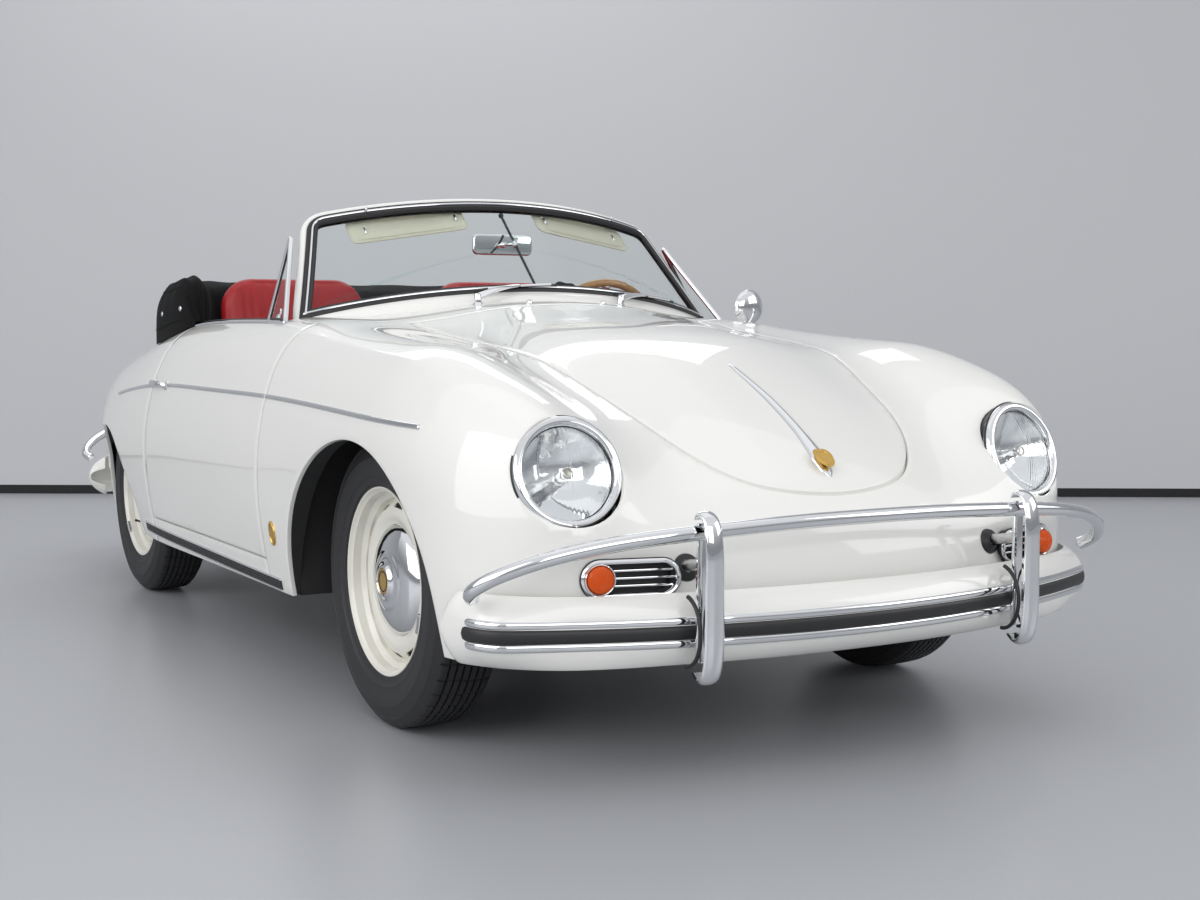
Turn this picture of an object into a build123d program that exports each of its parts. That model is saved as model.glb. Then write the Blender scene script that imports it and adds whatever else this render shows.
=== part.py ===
from build123d import *
import math
import os

# Open two-seat roadster convertible with its engine behind the rear axle.
# Millimetres. +Z is up, the front faces -Y and the car's left side is +X.
# The origin is on the ground, under the middle of the car.

os.makedirs("parts", exist_ok=True)

# ---------------------------------------------------------------- driving sizes
WHEELBASE = 2100
FRONT_AXLE_Y = -1165
REAR_AXLE_Y = FRONT_AXLE_Y + WHEELBASE
TRACK_FRONT = 1306
TRACK_REAR = 1272
TYRE_RADIUS = 322
TYRE_HALF_WIDTH = 80
BEAD_RADIUS = 198
BEAD_HALF_WIDTH = 60
RIM_FLANGE_RADIUS = 207
HUB_Z = TYRE_RADIUS
FAN_Z = 318                  # height of the axes that the body's fanned sections turn about
BODY_BOTTOM = 235
SHUT_GAP = 5.5               # gap all round a door or a lid
SEAT_GAP = 0.3               # clearance of a piece seated on another
RUNNING_GAP = 0.3            # radial clearance of a pin in its eye
SHEET = 20                   # thickness of a lid or a bulkhead
FROM_FOOT = (Align.CENTER, Align.CENTER, Align.MIN)    # a cylinder standing on its plane

# Body sections. Each stands on a line through the car at hub_y: angle 90 is upright, less
# leans forward and more leans back. Then pairs of half width and height above FAN_Z from the
# sill to the deck, and the height of the centre line.
# angle, hub_y, sill, low side, widest, shoulder, crown, valley, deck, centre
SECTIONS = [
    (-28, FRONT_AXLE_Y,
     (690, 70), (735, 280), (735, 420), (690, 530), (570, 620), (400, 665), (205, 690), 700),
    (-8, FRONT_AXLE_Y,
     (725, 50), (775, 290), (770, 440), (712, 565), (590, 655), (410, 705), (210, 728), 735),
    (12, FRONT_AXLE_Y,
     (740, 40), (785, 260), (787, 410), (735, 560), (612, 668), (420, 695), (212, 724), 737),
    (32, FRONT_AXLE_Y,
     (745, 35), (790, 200), (800, 350), (765, 520), (635, 685), (430, 622), (220, 618), 634),
    (52, FRONT_AXLE_Y,
     (750, 35), (795, 155), (806, 290), (780, 450), (650, 596), (440, 535), (225, 545), 562),
    (72, FRONT_AXLE_Y,
     (757, 35), (800, 130), (810, 250), (782, 415), (655, 540), (450, 508), (228, 530), 546),
    (90, FRONT_AXLE_Y,
     (765, 35), (805, 110), (815, 230), (784, 400), (665, 522), (460, 512), (232, 540), 555),
    (90, -800,
     (768, -150), (808, 60), (818, 230), (787, 409), (681, 540), (472, 552), (237, 585), 601),
    (90, -620,
     (775, -150), (812, 60), (822, 230), (788, 415), (690, 552), (480, 578), (240, 610), 626),
    (90, 0,
     (785, -150), (820, 60), (830, 230), (795, 415), (705, 552), (490, 588), (245, 604), 610),
    (90, 480,
     (783, -150), (825, 60), (834, 225), (794, 403), (688, 534), (474, 574), (238, 592), 597),
    (90, REAR_AXLE_Y,
     (765, 35), (812, 110), (820, 200), (768, 370), (645, 480), (450, 528), (228, 550), 556),
    (112, REAR_AXLE_Y,
     (748, 35), (790, 130), (797, 250), (740, 400), (610, 500), (425, 545), (215, 565), 572),
    (135, REAR_AXLE_Y,
     (725, 35), (765, 190), (762, 330), (700, 480), (570, 580), (395, 632), (200, 655), 662),
    (158, REAR_AXLE_Y,
     (700, 35), (735, 240), (715, 420), (640, 580), (510, 695), (350, 758), (178, 785), 792),
    (178, REAR_AXLE_Y,
     (680, 50), (712, 280), (685, 470), (605, 645), (475, 790), (325, 868), (165, 900), 910),
    (205, REAR_AXLE_Y,
     (660, 60), (685, 290), (650, 470), (570, 630), (440, 750), (300, 820), (150, 850), 860),
]

# wheel arches: the opening in the side, and the well behind it
ARCH_FRONT = (FRONT_AXLE_Y - 10, 225, 410)       # y, z, radius
ARCH_REAR = (REAR_AXLE_Y - 10, 150, 400)
WELL_FRONT = (400, 425, 765)                     # radius, inner x, outer x
WELL_REAR = (350, 530, 735)

# cabin
CABIN_X = 655                # half width between the doors
FIREWALL_Y = -700
TONGUE_REAR_Y = -380         # rear edge of the scuttle under the windscreen
FOOTWELL_TOP = 780
CABIN_REAR_Y = 490
BENCH_REAR_Y = 900
FLOOR_TOP = BODY_BOTTOM + SHEET
BENCH_FLOOR_Z = 580

# doors
DOOR_FRONT_Y = -620
DOOR_REAR_Y = 370
DOOR_BOTTOM_Z = 305
DOOR_HINGE_X = 785
DOOR_HINGE_Y = -740
DOOR_HINGE_ZS = (380, 660)
HINGE_PIN_RADIUS = 5
HINGE_LEAF = 14

# lids
LID_REAR_Y = -722
LUGGAGE_FLOOR_Z = 662
LUGGAGE_HALF_WIDTH = 405
LID_LEDGE = 12
ENGINE_LID_FRONT_Y = 1105
ENGINE_LID_REAR_Y = 1700
NECK_RADIUS = 96             # radius of a lid's swan-neck arm
NECK_WIDTH = 8
NECK_DEPTH = 16

NODES = {}


def add(name, *shapes):
    """Keep shapes as one node."""
    solids = [solid for shape in shapes for solid in shape.solids()]
    NODES[name] = solids[0] if len(solids) == 1 else Compound(children=solids)


def block(x0, x1, y0, y1, z0, z1):
    """Box between given limits."""
    middle = Pos((x0 + x1) / 2, (y0 + y1) / 2, (z0 + z1) / 2)
    return middle * Box(abs(x1 - x0), abs(y1 - y0), abs(z1 - z0))


def rod(start, end, radius):
    """Round bar between two points."""
    axis = Vector(*end) - Vector(*start)
    base = Plane(origin=Vector(*start), z_dir=axis)
    return base * Cylinder(radius, axis.length, align=FROM_FOOT)


def cross_cylinder(y, z, radius, x0, x1):
    """Cylinder about an axis across the car."""
    return rod((x0, y, z), (x1, y, z), radius)


def mirrored(shape):
    """The same shape on the other side of the car."""
    return shape.mirror(Plane.YZ)


def profile(points, x0, x1):
    """Prism across the car over a closed side outline of (y, z) points."""
    side = Plane(origin=(x0, 0, 0), x_dir=(0, 1, 0), z_dir=(1, 0, 0))
    return extrude(side * make_face(Polyline(*points, close=True)), x1 - x0)


# ---------------------------------------------------------------- body skin
def section_outline(section):
    """Points (x, height) of a whole section, from the right sill over the top to the left."""
    *pairs, centre = section[2:]
    right = [(-x, height) for x, height in pairs]
    left = [(x, height) for x, height in reversed(pairs)]
    return right + [(0, centre)] + left


def section_points(section):
    """The same points in the car's frame."""
    angle, hub_y = math.radians(section[0]), section[1]
    return [Vector(x, hub_y - height * math.cos(angle), FAN_Z + height * math.sin(angle))
            for x, height in section_outline(section)]


def spacing(rows):
    """Parameters shared by splines through the rows, from the root of the mean step."""
    steps = []
    for index in range(1, len(rows[0])):
        lengths = [(row[index] - row[index - 1]).length ** 0.5 for row in rows]
        steps.append(sum(lengths) / len(lengths))
    total = sum(steps)
    return [sum(steps[:count]) / total for count in range(len(rows[0]))]


def body_solid():
    """Outer form of the whole body, flat underneath, with the wheel arches cut through."""
    rows = [section_points(section) for section in SECTIONS]
    columns = [list(column) for column in zip(*rows)]
    across = spacing(rows)
    along = spacing(columns[3:-3])
    sections = [Edge.make_spline(row, parameters=across) for row in rows]
    rails = [Edge.make_spline(column, parameters=along) for column in columns[::2]]
    skin = Face.make_gordon_surface(sections, rails, tolerance=0.5)
    sides = [edge for edge in skin.edges() if abs((edge @ 0).X - (edge @ 1).X) < CABIN_X]
    ends = [edge for edge in skin.edges() if abs((edge @ 0).X - (edge @ 1).X) > CABIN_X]
    bottom = Face.make_surface_from_curves(sides[0], sides[1].reversed(reconstruct=True))
    caps = [Face(Wire([edge, Edge.make_line(edge @ 0, edge @ 1)])) for edge in ends]
    closed = Solid(Shell([skin, bottom, *caps]))
    room = block(-1000, 1000, -2100, 2100, BODY_BOTTOM, 1200)
    for y, z, radius in (ARCH_FRONT, ARCH_REAR):
        room -= cross_cylinder(y, z, radius, -1000, 1000)
    return closed & room


BODY = body_solid()


# ---------------------------------------------------------------- openings in the body
# Plan outline of the front lid, left half: points (x, y) from its tip to its rear corner.
LID_OUTLINE = [(120, -1822), (200, -1792), (280, -1712), (360, -1478), (410, -1270), (445, -896),
               (452, LID_REAR_Y)]
LID_TIP_Y = -1836


def front_lid_outline(grow):
    """Plan outline of the front lid, moved outwards by grow."""
    left = [Vector(x, y) for x, y in LID_OUTLINE]
    right = [Vector(-point.X, point.Y) for point in reversed(left)]
    points = right + [Vector(0, LID_TIP_Y)] + left
    moved = []
    for index, point in enumerate(points):
        along = points[min(index + 1, len(points) - 1)] - points[max(index - 1, 0)]
        moved.append(point + Vector(along.Y, -along.X).normalized() * grow)
    moved[0] = Vector(moved[0].X, LID_REAR_Y + grow)
    moved[-1] = Vector(moved[-1].X, LID_REAR_Y + grow)
    return make_face([Edge.make_spline(moved), Edge.make_line(moved[-1], moved[0])])


def engine_lid_outline(grow):
    """Plan outline of the engine lid, moved outwards by grow."""
    corners = [(-400, ENGINE_LID_FRONT_Y), (400, ENGINE_LID_FRONT_Y),
               (360, ENGINE_LID_REAR_Y), (-360, ENGINE_LID_REAR_Y)]
    face = make_face(Polyline(*corners, close=True))
    face = fillet(face.vertices(), 110)
    if grow:
        face = offset(face, grow, kind=Kind.ARC)
    return face


def upright(face, z0, z1):
    """Upright prism over a plan face."""
    return Pos(0, 0, z0) * extrude(face, z1 - z0)


def lid(face):
    """Sheet of the body's skin over a plan face."""
    below = Pos(0, 0, -SHEET) * BODY
    return (BODY & upright(face, BODY_BOTTOM, 1200)) - below


def skin_z(x, y):
    """Height of the body's skin over a point."""
    needle = BODY & Edge.make_line((x, y, BODY_BOTTOM + 200), (x, y, 1200))
    return max(vertex.Z for vertex in needle.vertices())


class SwanNeck:
    """Curved arm that carries a lid round the edge of the panel behind it."""

    def __init__(self, edge_y, sign):
        # sign is +1 where the arm's pivot lies behind the lid, -1 where it lies in front
        self.edge_y = edge_y
        self.edge_z = skin_z(0, edge_y) - SHEET
        self.sign = sign
        tilt = math.radians(14)
        self.pivot_y = edge_y + sign * NECK_RADIUS * math.cos(tilt)
        self.pivot_z = self.edge_z - NECK_RADIUS * math.sin(tilt)

    def arm(self, x):
        """One arm, from the pivot's eye round to the underside of the lid."""
        half = NECK_DEPTH / 2
        across = (x - NECK_WIDTH / 2, x + NECK_WIDTH / 2)
        ring = cross_cylinder(self.edge_y, self.edge_z, NECK_RADIUS + half, *across)
        ring -= cross_cylinder(self.edge_y, self.edge_z, NECK_RADIUS - half, *across)
        far = 2 * NECK_RADIUS
        sweep_part = profile([(self.edge_y, self.edge_z), (self.pivot_y, self.pivot_z),
                              (self.pivot_y, self.pivot_z - far),
                              (self.edge_y - self.sign * far, self.pivot_z - far),
                              (self.edge_y - self.sign * far, self.edge_z + 2 * SHEET),
                              (self.edge_y - self.sign * SHEET, self.edge_z + 2 * SHEET)], *across)
        arm = ring & sweep_part
        arm += cross_cylinder(self.pivot_y, self.pivot_z, half + 2, *across)
        stub_y = self.edge_y - self.sign * NECK_RADIUS
        arm += block(*across, stub_y - half, stub_y + half, self.edge_z - SHEET, self.edge_z + 2 * SHEET)
        return arm - cross_cylinder(self.pivot_y, self.pivot_z, HINGE_PIN_RADIUS + RUNNING_GAP, *across)

    def slot(self, x):
        """Room for the arm in the body, with its pivot pin across it."""
        half = NECK_DEPTH / 2
        reach = self.pivot_y + self.sign * (half + 2 + SHUT_GAP)
        start = self.edge_y - self.sign * (LID_LEDGE + 8)
        room = block(x - NECK_WIDTH / 2 - SHUT_GAP, x + NECK_WIDTH / 2 + SHUT_GAP, min(start, reach),
                     max(start, reach), self.edge_z - NECK_RADIUS - half - SHUT_GAP, self.edge_z - 2)
        return room - cross_cylinder(self.pivot_y, self.pivot_z, HINGE_PIN_RADIUS, x - 100, x + 100)


FRONT_NECK = SwanNeck(LID_REAR_Y, 1)
ENGINE_NECK = SwanNeck(ENGINE_LID_FRONT_Y, -1)
FRONT_NECK_XS = (-250, 250)
ENGINE_NECK_XS = (-260, 260)

# headlamps: middle of the rim, and the way the lamp looks
LAMP_CENTRE = (586, -1748, 600)
LAMP_AXIS = (0.10, -0.945, 0.31)
LAMP_RADIUS = 113
LAMP_DEPTH = 70
# indicator and air grille share one oval bezel under each headlamp
OVAL_CENTRE = (505, -1852, 407)
OVAL_AXIS = (0.24, -0.97, 0.02)
OVAL_LENGTH = 190
OVAL_HEIGHT = 66
OVAL_DEPTH = 50


def lamp_plane(side):
    """Plane of a headlamp's rim; side is +1 for the left."""
    x, y, z = LAMP_CENTRE
    a, b, c = LAMP_AXIS
    return Plane(origin=(side * x, y, z), x_dir=(-b, side * a, 0), z_dir=(side * a, b, c))


def oval_plane(side):
    """Plane of an oval bezel's face."""
    x, y, z = OVAL_CENTRE
    a, b, c = OVAL_AXIS
    return Plane(origin=(side * x, y, z), x_dir=(-b, side * a, 0), z_dir=(side * a, b, c))


def oval(plane, length, height, z0, z1):
    """Oval bar along a plane's normal."""
    shape = extrude(SlotOverall(length, height), z1 - z0)
    return plane * (Pos(0, 0, z0) * shape)


def door_zone(gap, sign):
    """Room that a door takes on one side, grown by gap."""
    radius = math.hypot(DOOR_REAR_Y - DOOR_HINGE_Y, 45) + gap
    front = DOOR_FRONT_Y + SHUT_GAP - gap
    zone = block(CABIN_X + SHUT_GAP - gap, 1000, front, 2 * radius, DOOR_BOTTOM_Z + SHUT_GAP - gap, 1200)
    swing = Pos(DOOR_HINGE_X, DOOR_HINGE_Y, BODY_BOTTOM) * Cylinder(
        radius, 1000, align=FROM_FOOT)
    zone &= swing
    # outboard of the hinge the front edge is round about the pin, so the door clears the fender as it opens
    nose = block(DOOR_HINGE_X, 1000, DOOR_HINGE_Y + 90, front + 1, DOOR_BOTTOM_Z + SHUT_GAP - gap, 1200)
    nose -= Pos(DOOR_HINGE_X, DOOR_HINGE_Y, BODY_BOTTOM) * Cylinder(
        front - DOOR_HINGE_Y, 1000, align=FROM_FOOT)
    zone += nose
    return zone if sign > 0 else mirrored(zone)


def hinge_pocket(z):
    """Pocket behind the door post for one hinge leaf, with its pin left standing."""
    clear = SHUT_GAP
    inner = CABIN_X + 12 - clear
    outer = DOOR_HINGE_X + 8 + clear
    half = HINGE_LEAF / 2 + clear
    room = block(inner, outer, DOOR_HINGE_Y - 8 - clear, DOOR_FRONT_Y + 1, z - half, z + half)
    pin = Pos(DOOR_HINGE_X, DOOR_HINGE_Y, z) * Cylinder(HINGE_PIN_RADIUS, 4 * half)
    return room - pin


def hinge_leaf(z):
    """L-shaped leaf from the hinge pin to the front of the door."""
    half = HINGE_LEAF / 2
    inner = CABIN_X + 12
    leaf = block(inner, DOOR_HINGE_X + 8, DOOR_HINGE_Y - 7, DOOR_HINGE_Y + 7, z - half, z + half)
    leaf += block(inner, inner + 14, DOOR_HINGE_Y - 7, DOOR_FRONT_Y + SHUT_GAP + 3, z - half, z + half)
    eye = Pos(DOOR_HINGE_X, DOOR_HINGE_Y, z) * Cylinder(HINGE_PIN_RADIUS + RUNNING_GAP, 4 * half)
    return leaf - eye


def body_shell():
    """The body with every opening cut, as its front and rear halves."""
    shell = BODY
    for sign in (1, -1):
        shell -= door_zone(SHUT_GAP, sign)
        for y, (radius, inner, outer) in ((FRONT_AXLE_Y, WELL_FRONT), (REAR_AXLE_Y, WELL_REAR)):
            shell -= cross_cylinder(y, HUB_Z, radius, sign * inner, sign * outer)
        shell -= lamp_plane(sign) * (Pos(0, 0, -LAMP_DEPTH) * Cylinder(
            LAMP_RADIUS, LAMP_DEPTH + 100, align=FROM_FOOT))
        shell -= oval(oval_plane(sign), OVAL_LENGTH, OVAL_HEIGHT, -OVAL_DEPTH, 60)
        for z in DOOR_HINGE_ZS:
            pocket = hinge_pocket(z)
            shell -= pocket if sign > 0 else mirrored(pocket)
    # cabin, footwell, rear bench and the well that the folded top lies in
    shell -= block(-CABIN_X - 10, CABIN_X + 10, DOOR_FRONT_Y, CABIN_REAR_Y, 0, FOOTWELL_TOP)
    shell -= block(-CABIN_X + SHEET, CABIN_X - SHEET, FIREWALL_Y, CABIN_REAR_Y, 0, FOOTWELL_TOP)
    shell -= block(-CABIN_X, CABIN_X, TONGUE_REAR_Y, CABIN_REAR_Y, FOOTWELL_TOP - 1, 1200)
    bench = WELL_REAR[1] - 15
    shell -= block(-bench, bench, CABIN_REAR_Y - 1, BENCH_REAR_Y, BENCH_FLOOR_Z, 1200)
    top_well = make_face(Polyline((-600, CABIN_REAR_Y - 1), (600, CABIN_REAR_Y - 1), (600, 940), (-600, 940),
                                  close=True))
    top_well = fillet(top_well.vertices().sort_by(Axis.Y)[-2:], 220)
    shell -= upright(top_well, 800, 1200)
    # luggage well and front lid
    shell -= upright(front_lid_outline(SHUT_GAP), 400, 1200) - (Pos(0, 0, -SHEET - SHUT_GAP) * BODY)
    luggage = upright(front_lid_outline(-LID_LEDGE), LUGGAGE_FLOOR_Z, 1200)
    shell -= luggage & block(-LUGGAGE_HALF_WIDTH, LUGGAGE_HALF_WIDTH, -2000, 0, 0, 1200)
    # engine bay and its lid
    shell -= upright(engine_lid_outline(SHUT_GAP), 400, 1200) - (Pos(0, 0, -SHEET - SHUT_GAP) * BODY)
    shell -= upright(engine_lid_outline(-LID_LEDGE), 400, 1200)
    shell -= block(-345, 345, ENGINE_LID_FRONT_Y + 30, ENGINE_LID_REAR_Y - 20, 0, 700)
    for neck, places in ((FRONT_NECK, FRONT_NECK_XS), (ENGINE_NECK, ENGINE_NECK_XS)):
        for x in places:
            shell -= neck.slot(x)
    return shell


SHELL = body_shell()
SILLS = block(-1000, 1000, DOOR_FRONT_Y, DOOR_REAR_Y, 0, DOOR_BOTTOM_Z)
add("body_nose", (SHELL & block(-1000, 1000, -2100, 0, 0, 1200)) - SILLS)
add("body_tail", (SHELL & block(-1000, 1000, 0, 2100, 0, 1200)) - SILLS)

# ---------------------------------------------------------------- floor
TUNNEL_HALF_WIDTH = 90
TUNNEL_TOP = 400
floor_plate = block(-CABIN_X - 10, CABIN_X + 10, DOOR_FRONT_Y, CABIN_REAR_Y, BODY_BOTTOM, FLOOR_TOP)
floor_plate += block(-CABIN_X + SHEET, CABIN_X - SHEET, FIREWALL_Y, DOOR_FRONT_Y, BODY_BOTTOM, FLOOR_TOP)
floor_plate += block(-TUNNEL_HALF_WIDTH, TUNNEL_HALF_WIDTH, FIREWALL_Y, CABIN_REAR_Y, BODY_BOTTOM, TUNNEL_TOP)
add("floor_pan", floor_plate + (SHELL & SILLS))

# ---------------------------------------------------------------- lids and doors
front_lid = lid(front_lid_outline(0))
for x in FRONT_NECK_XS:
    front_lid += FRONT_NECK.arm(x) & (Pos(0, 0, -SHEET / 2) * BODY)
add("front_lid", front_lid)
engine_lid = lid(engine_lid_outline(0))
for x in ENGINE_NECK_XS:
    engine_lid += ENGINE_NECK.arm(x) & (Pos(0, 0, -SHEET / 2) * BODY)
add("engine_lid", engine_lid)

for name, sign in (("left", 1), ("right", -1)):
    door = BODY & door_zone(0, 1)
    for z in DOOR_HINGE_ZS:
        door += hinge_leaf(z)
    add("door_" + name, door if sign > 0 else mirrored(door))


# handle along the front lid, and the grille in the engine lid
HANDLE_FRONT_Y = -1812
HANDLE_REAR_Y = -1431
HANDLE_HEIGHT = 13
handle = make_face(Polyline((-7, HANDLE_REAR_Y), (7, HANDLE_REAR_Y), (17, HANDLE_FRONT_Y + 40),
                            (9, HANDLE_FRONT_Y), (-9, HANDLE_FRONT_Y), (-17, HANDLE_FRONT_Y + 40),
                            close=True))
handle = fillet(handle.vertices(), 6)
add("lid_handle", ((Pos(0, 0, HANDLE_HEIGHT) * BODY) & upright(handle, 400, 1200)) - BODY)

GRILLE_CENTRE_Y = 1345
GRILLE_LENGTH = 300
GRILLE_WIDTH = 210
GRILLE_BARS = 9
grille_place = Pos(0, GRILLE_CENTRE_Y, 400)
grille_outer = grille_place * extrude(SlotOverall(GRILLE_LENGTH, GRILLE_WIDTH), 800)
grille_inner = grille_place * extrude(SlotOverall(GRILLE_LENGTH - 24, GRILLE_WIDTH - 24), 800)
NODES["engine_lid"] = NODES["engine_lid"] - grille_inner
grille_layer = (Pos(0, 0, 7) * BODY) - BODY
engine_grille = (grille_layer & grille_outer) - grille_inner
bar_pitch = (GRILLE_LENGTH - 24) / GRILLE_BARS
deep_layer = (Pos(0, 0, 7) * BODY) - (Pos(0, 0, -8) * BODY)
bars = [block(x - 4, x + 4, GRILLE_CENTRE_Y - GRILLE_WIDTH, GRILLE_CENTRE_Y + GRILLE_WIDTH, 400, 1200)
        for x in [(index - (GRILLE_BARS - 1) / 2) * bar_pitch for index in range(GRILLE_BARS)]]
seated_bars = [deep_layer & grille_inner & bar for bar in bars]
for bar in seated_bars:
    engine_grille += bar
add("engine_grille", engine_grille)

# ---------------------------------------------------------------- windscreen
# middle of the base, corner of the base, middle of the top and corner of the top
GLASS_BASE = (0, -569, 959)
GLASS_BASE_CORNER = (615, -410, 892)
GLASS_TOP = (0, -290, 1226)
GLASS_TOP_CORNER = (528, -200, 1168)
# outer corners of the painted frame round the glass
FRAME_TOP = (0, -286, 1236)
FRAME_TOP_CORNER = (542, -188, 1176)
FRAME_BASE_CORNER = (650, -412, 886)
FRAME_DEPTH = 22
FRAME_WIDTH = 38
GLASS_THICKNESS = 6
GLASS_DEPTH = 8              # depth of the glass behind the frame's face
CROWN_RADIUS = 70            # upper corners of the frame
EXTRA = 45                   # how far the working shapes run past the frame
RAKE = math.atan2(GLASS_TOP[2] - GLASS_BASE[2], GLASS_TOP[1] - GLASS_BASE[1])
SCREEN = Plane(origin=GLASS_BASE, x_dir=(1, 0, 0), z_dir=(0, -math.sin(RAKE), math.cos(RAKE)))


def screen_arc(middle, corner, reach, depth):
    """Arc across the car through a middle and two corners, run on past them by EXTRA."""
    inwards = Vector(0, corner[1] - middle[1], corner[2] - middle[2])
    fall = inwards.length
    radius = (corner[0] ** 2 + fall ** 2) / (2 * fall)
    end_x = corner[0] + EXTRA
    end_fall = radius - math.sqrt(radius ** 2 - end_x ** 2)
    inwards = inwards.normalized()
    crown = Vector(*middle) + inwards * depth + SCREEN.y_dir * reach
    end = crown + inwards * end_fall
    return ThreePointArc(end - Vector(end_x, 0, 0), crown, end + Vector(end_x, 0, 0))


def screen_strip(middle, corner, reach, near, far):
    """Curved strip across the car between two depths behind the screen's surface."""
    front = screen_arc(middle, corner, reach, near)
    back = screen_arc(middle, corner, reach, far)
    return Wire([front, Line(front @ 1, back @ 1), back, Line(front @ 0, back @ 0)])


def screen_slab(near, far):
    """Curved slab of the windscreen between two depths, larger all round than the windscreen."""
    low = screen_strip(GLASS_BASE, GLASS_BASE_CORNER, -2 * EXTRA, near, far)
    high = screen_strip(GLASS_TOP, GLASS_TOP_CORNER, EXTRA, near, far)
    return Solid.make_loft([low, high], ruled=True)


def screen_outline(inset, foot):
    """Front outline of the windscreen, inset by a width and run down by foot, as a deep prism."""
    top = SCREEN.to_local_coords(Vector(*FRAME_TOP)).Y - inset
    high = SCREEN.to_local_coords(Vector(*FRAME_TOP_CORNER))
    low = SCREEN.to_local_coords(Vector(*FRAME_BASE_CORNER))
    lean = (low.X - high.X) / (high.Y - low.Y)
    side_high = high.X - inset
    side_low = low.X - inset + lean * foot
    crown = ThreePointArc((-side_high, high.Y - inset), (0, top), (side_high, high.Y - inset))
    corner_y = low.Y + inset - foot
    base = ThreePointArc((-side_low, corner_y), (0, inset - foot), (side_low, corner_y))
    face = make_face([crown, base, Line(crown @ 0, base @ 0), Line(crown @ 1, base @ 1)])
    face = fillet(face.vertices().sort_by(Axis.Y)[-2:], CROWN_RADIUS - inset)
    return SCREEN * (Pos(0, 0, -300) * extrude(face, 400))


screen_frame = screen_slab(0, FRAME_DEPTH) & screen_outline(0, 2 * EXTRA)
screen_frame = screen_frame - screen_outline(FRAME_WIDTH, 0) - BODY
add("windscreen_frame", max(screen_frame.solids(), key=lambda solid: solid.volume))
screen_glass = screen_slab(GLASS_DEPTH, GLASS_DEPTH + GLASS_THICKNESS)
screen_glass &= screen_outline(FRAME_WIDTH + SEAT_GAP, 0)
add("windscreen_glass", screen_glass - BODY)

# ---------------------------------------------------------------- fittings on the windscreen
MIRROR_ROD_DEPTH = 20
MIRROR_SIZE = (185, 52, 16)
MIRROR_CENTRE = (0, -332, 1122)
rod_foot = Vector(*GLASS_BASE) - SCREEN.z_dir * MIRROR_ROD_DEPTH
rod_head = Vector(*GLASS_TOP) - SCREEN.z_dir * MIRROR_ROD_DEPTH
mirror_rod = rod(tuple(rod_foot), tuple(rod_head - SCREEN.y_dir * FRAME_WIDTH), 4)
mirror_rod = mirror_rod - BODY - NODES["windscreen_frame"]
mirror_body = Pos(*MIRROR_CENTRE) * Rot(90, 0, 0) * extrude(
    RectangleRounded(MIRROR_SIZE[0], MIRROR_SIZE[1], 16), MIRROR_SIZE[2] / 2, both=True)
mirror_clip = block(-8, 8, MIRROR_CENTRE[1] - 34, MIRROR_CENTRE[1],
                    MIRROR_CENTRE[2] - 8, MIRROR_CENTRE[2] + 8)
add("interior_mirror", mirror_rod + mirror_body + mirror_clip)

VISOR_LENGTH = 300
VISOR_HEIGHT = 92
VISOR_TOP = 352              # up the windscreen from its base
VISOR_CENTRE = (272, -68)    # across the car and behind the windscreen's middle
VISOR_TURN = 12
VISOR_BRACKETS = (140, 390)
visor = Pos(VISOR_CENTRE[0], VISOR_TOP - VISOR_HEIGHT / 2, VISOR_CENTRE[1]) * Rot(0, VISOR_TURN, 0) * extrude(
    RectangleRounded(VISOR_LENGTH, VISOR_HEIGHT, 20), 6, both=True)
for x in VISOR_BRACKETS:
    depth = VISOR_CENTRE[1] - (x - VISOR_CENTRE[0]) * math.tan(math.radians(VISOR_TURN))
    visor += block(x - 5, x + 5, VISOR_TOP - 20, VISOR_TOP + 36, depth - 4, depth + 4)
    visor += block(x - 5, x + 5, VISOR_TOP + 26, VISOR_TOP + 36, depth - 4, depth + 80)
visor = SCREEN * visor
visor -= screen_slab(-100, FRAME_DEPTH + SEAT_GAP)
visor = max(visor.solids(), key=lambda solid: solid.volume)
add("sun_visors", visor, mirrored(visor))


def screen_base(x):
    """Point on the windscreen's lower edge."""
    share = (x / GLASS_BASE_CORNER[0]) ** 2
    pairs = zip(GLASS_BASE[1:], GLASS_BASE_CORNER[1:])
    return [middle + (corner - middle) * share for middle, corner in pairs]


WIPER_PIVOTS = (-215, 215)
WIPER_LENGTH = 265
wipers = []
for x in WIPER_PIVOTS:
    y, z = -602, skin_z(x, -602)
    tip_y, tip_z = screen_base(x + WIPER_LENGTH)
    tip = (x + WIPER_LENGTH, tip_y - 14, tip_z + 22)
    wiper = (Pos(x, y, z - 10) * Cylinder(11, 70)) - BODY
    wiper += rod((x, y, z + 20), tip, 4.5)
    wipers.append(wiper)
add("wipers", *wipers)

# ---------------------------------------------------------------- cabin
DASH_PROFILE = [(TONGUE_REAR_Y, 640), (-352, 640), (-338, 700), (-334, 850), (-342, 892),
                (TONGUE_REAR_Y, 925)]
dash = profile(DASH_PROFILE, -CABIN_X + 8, CABIN_X - 8) & (Pos(0, 0, -5) * BODY)

WHEEL_CENTRE = Vector(380, -165, 825)
COLUMN_TILT = math.radians(25)
COLUMN_DIR = Vector(0, math.cos(COLUMN_TILT), math.sin(COLUMN_TILT))
COLUMN_RADIUS = 19
STEERING_RADIUS = 195
column_start = WHEEL_CENTRE - COLUMN_DIR * 60
column_end = WHEEL_CENTRE - COLUMN_DIR * ((WHEEL_CENTRE.Y - FIREWALL_Y) / COLUMN_DIR.Y - 12)
column = rod(tuple(column_end), tuple(column_start), COLUMN_RADIUS)
shaft = rod(tuple(column_start), tuple(WHEEL_CENTRE + COLUMN_DIR * 10), 9)
dash -= rod(tuple(column_end), tuple(column_start), COLUMN_RADIUS)
add("dashboard", dash, column + shaft)

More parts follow.
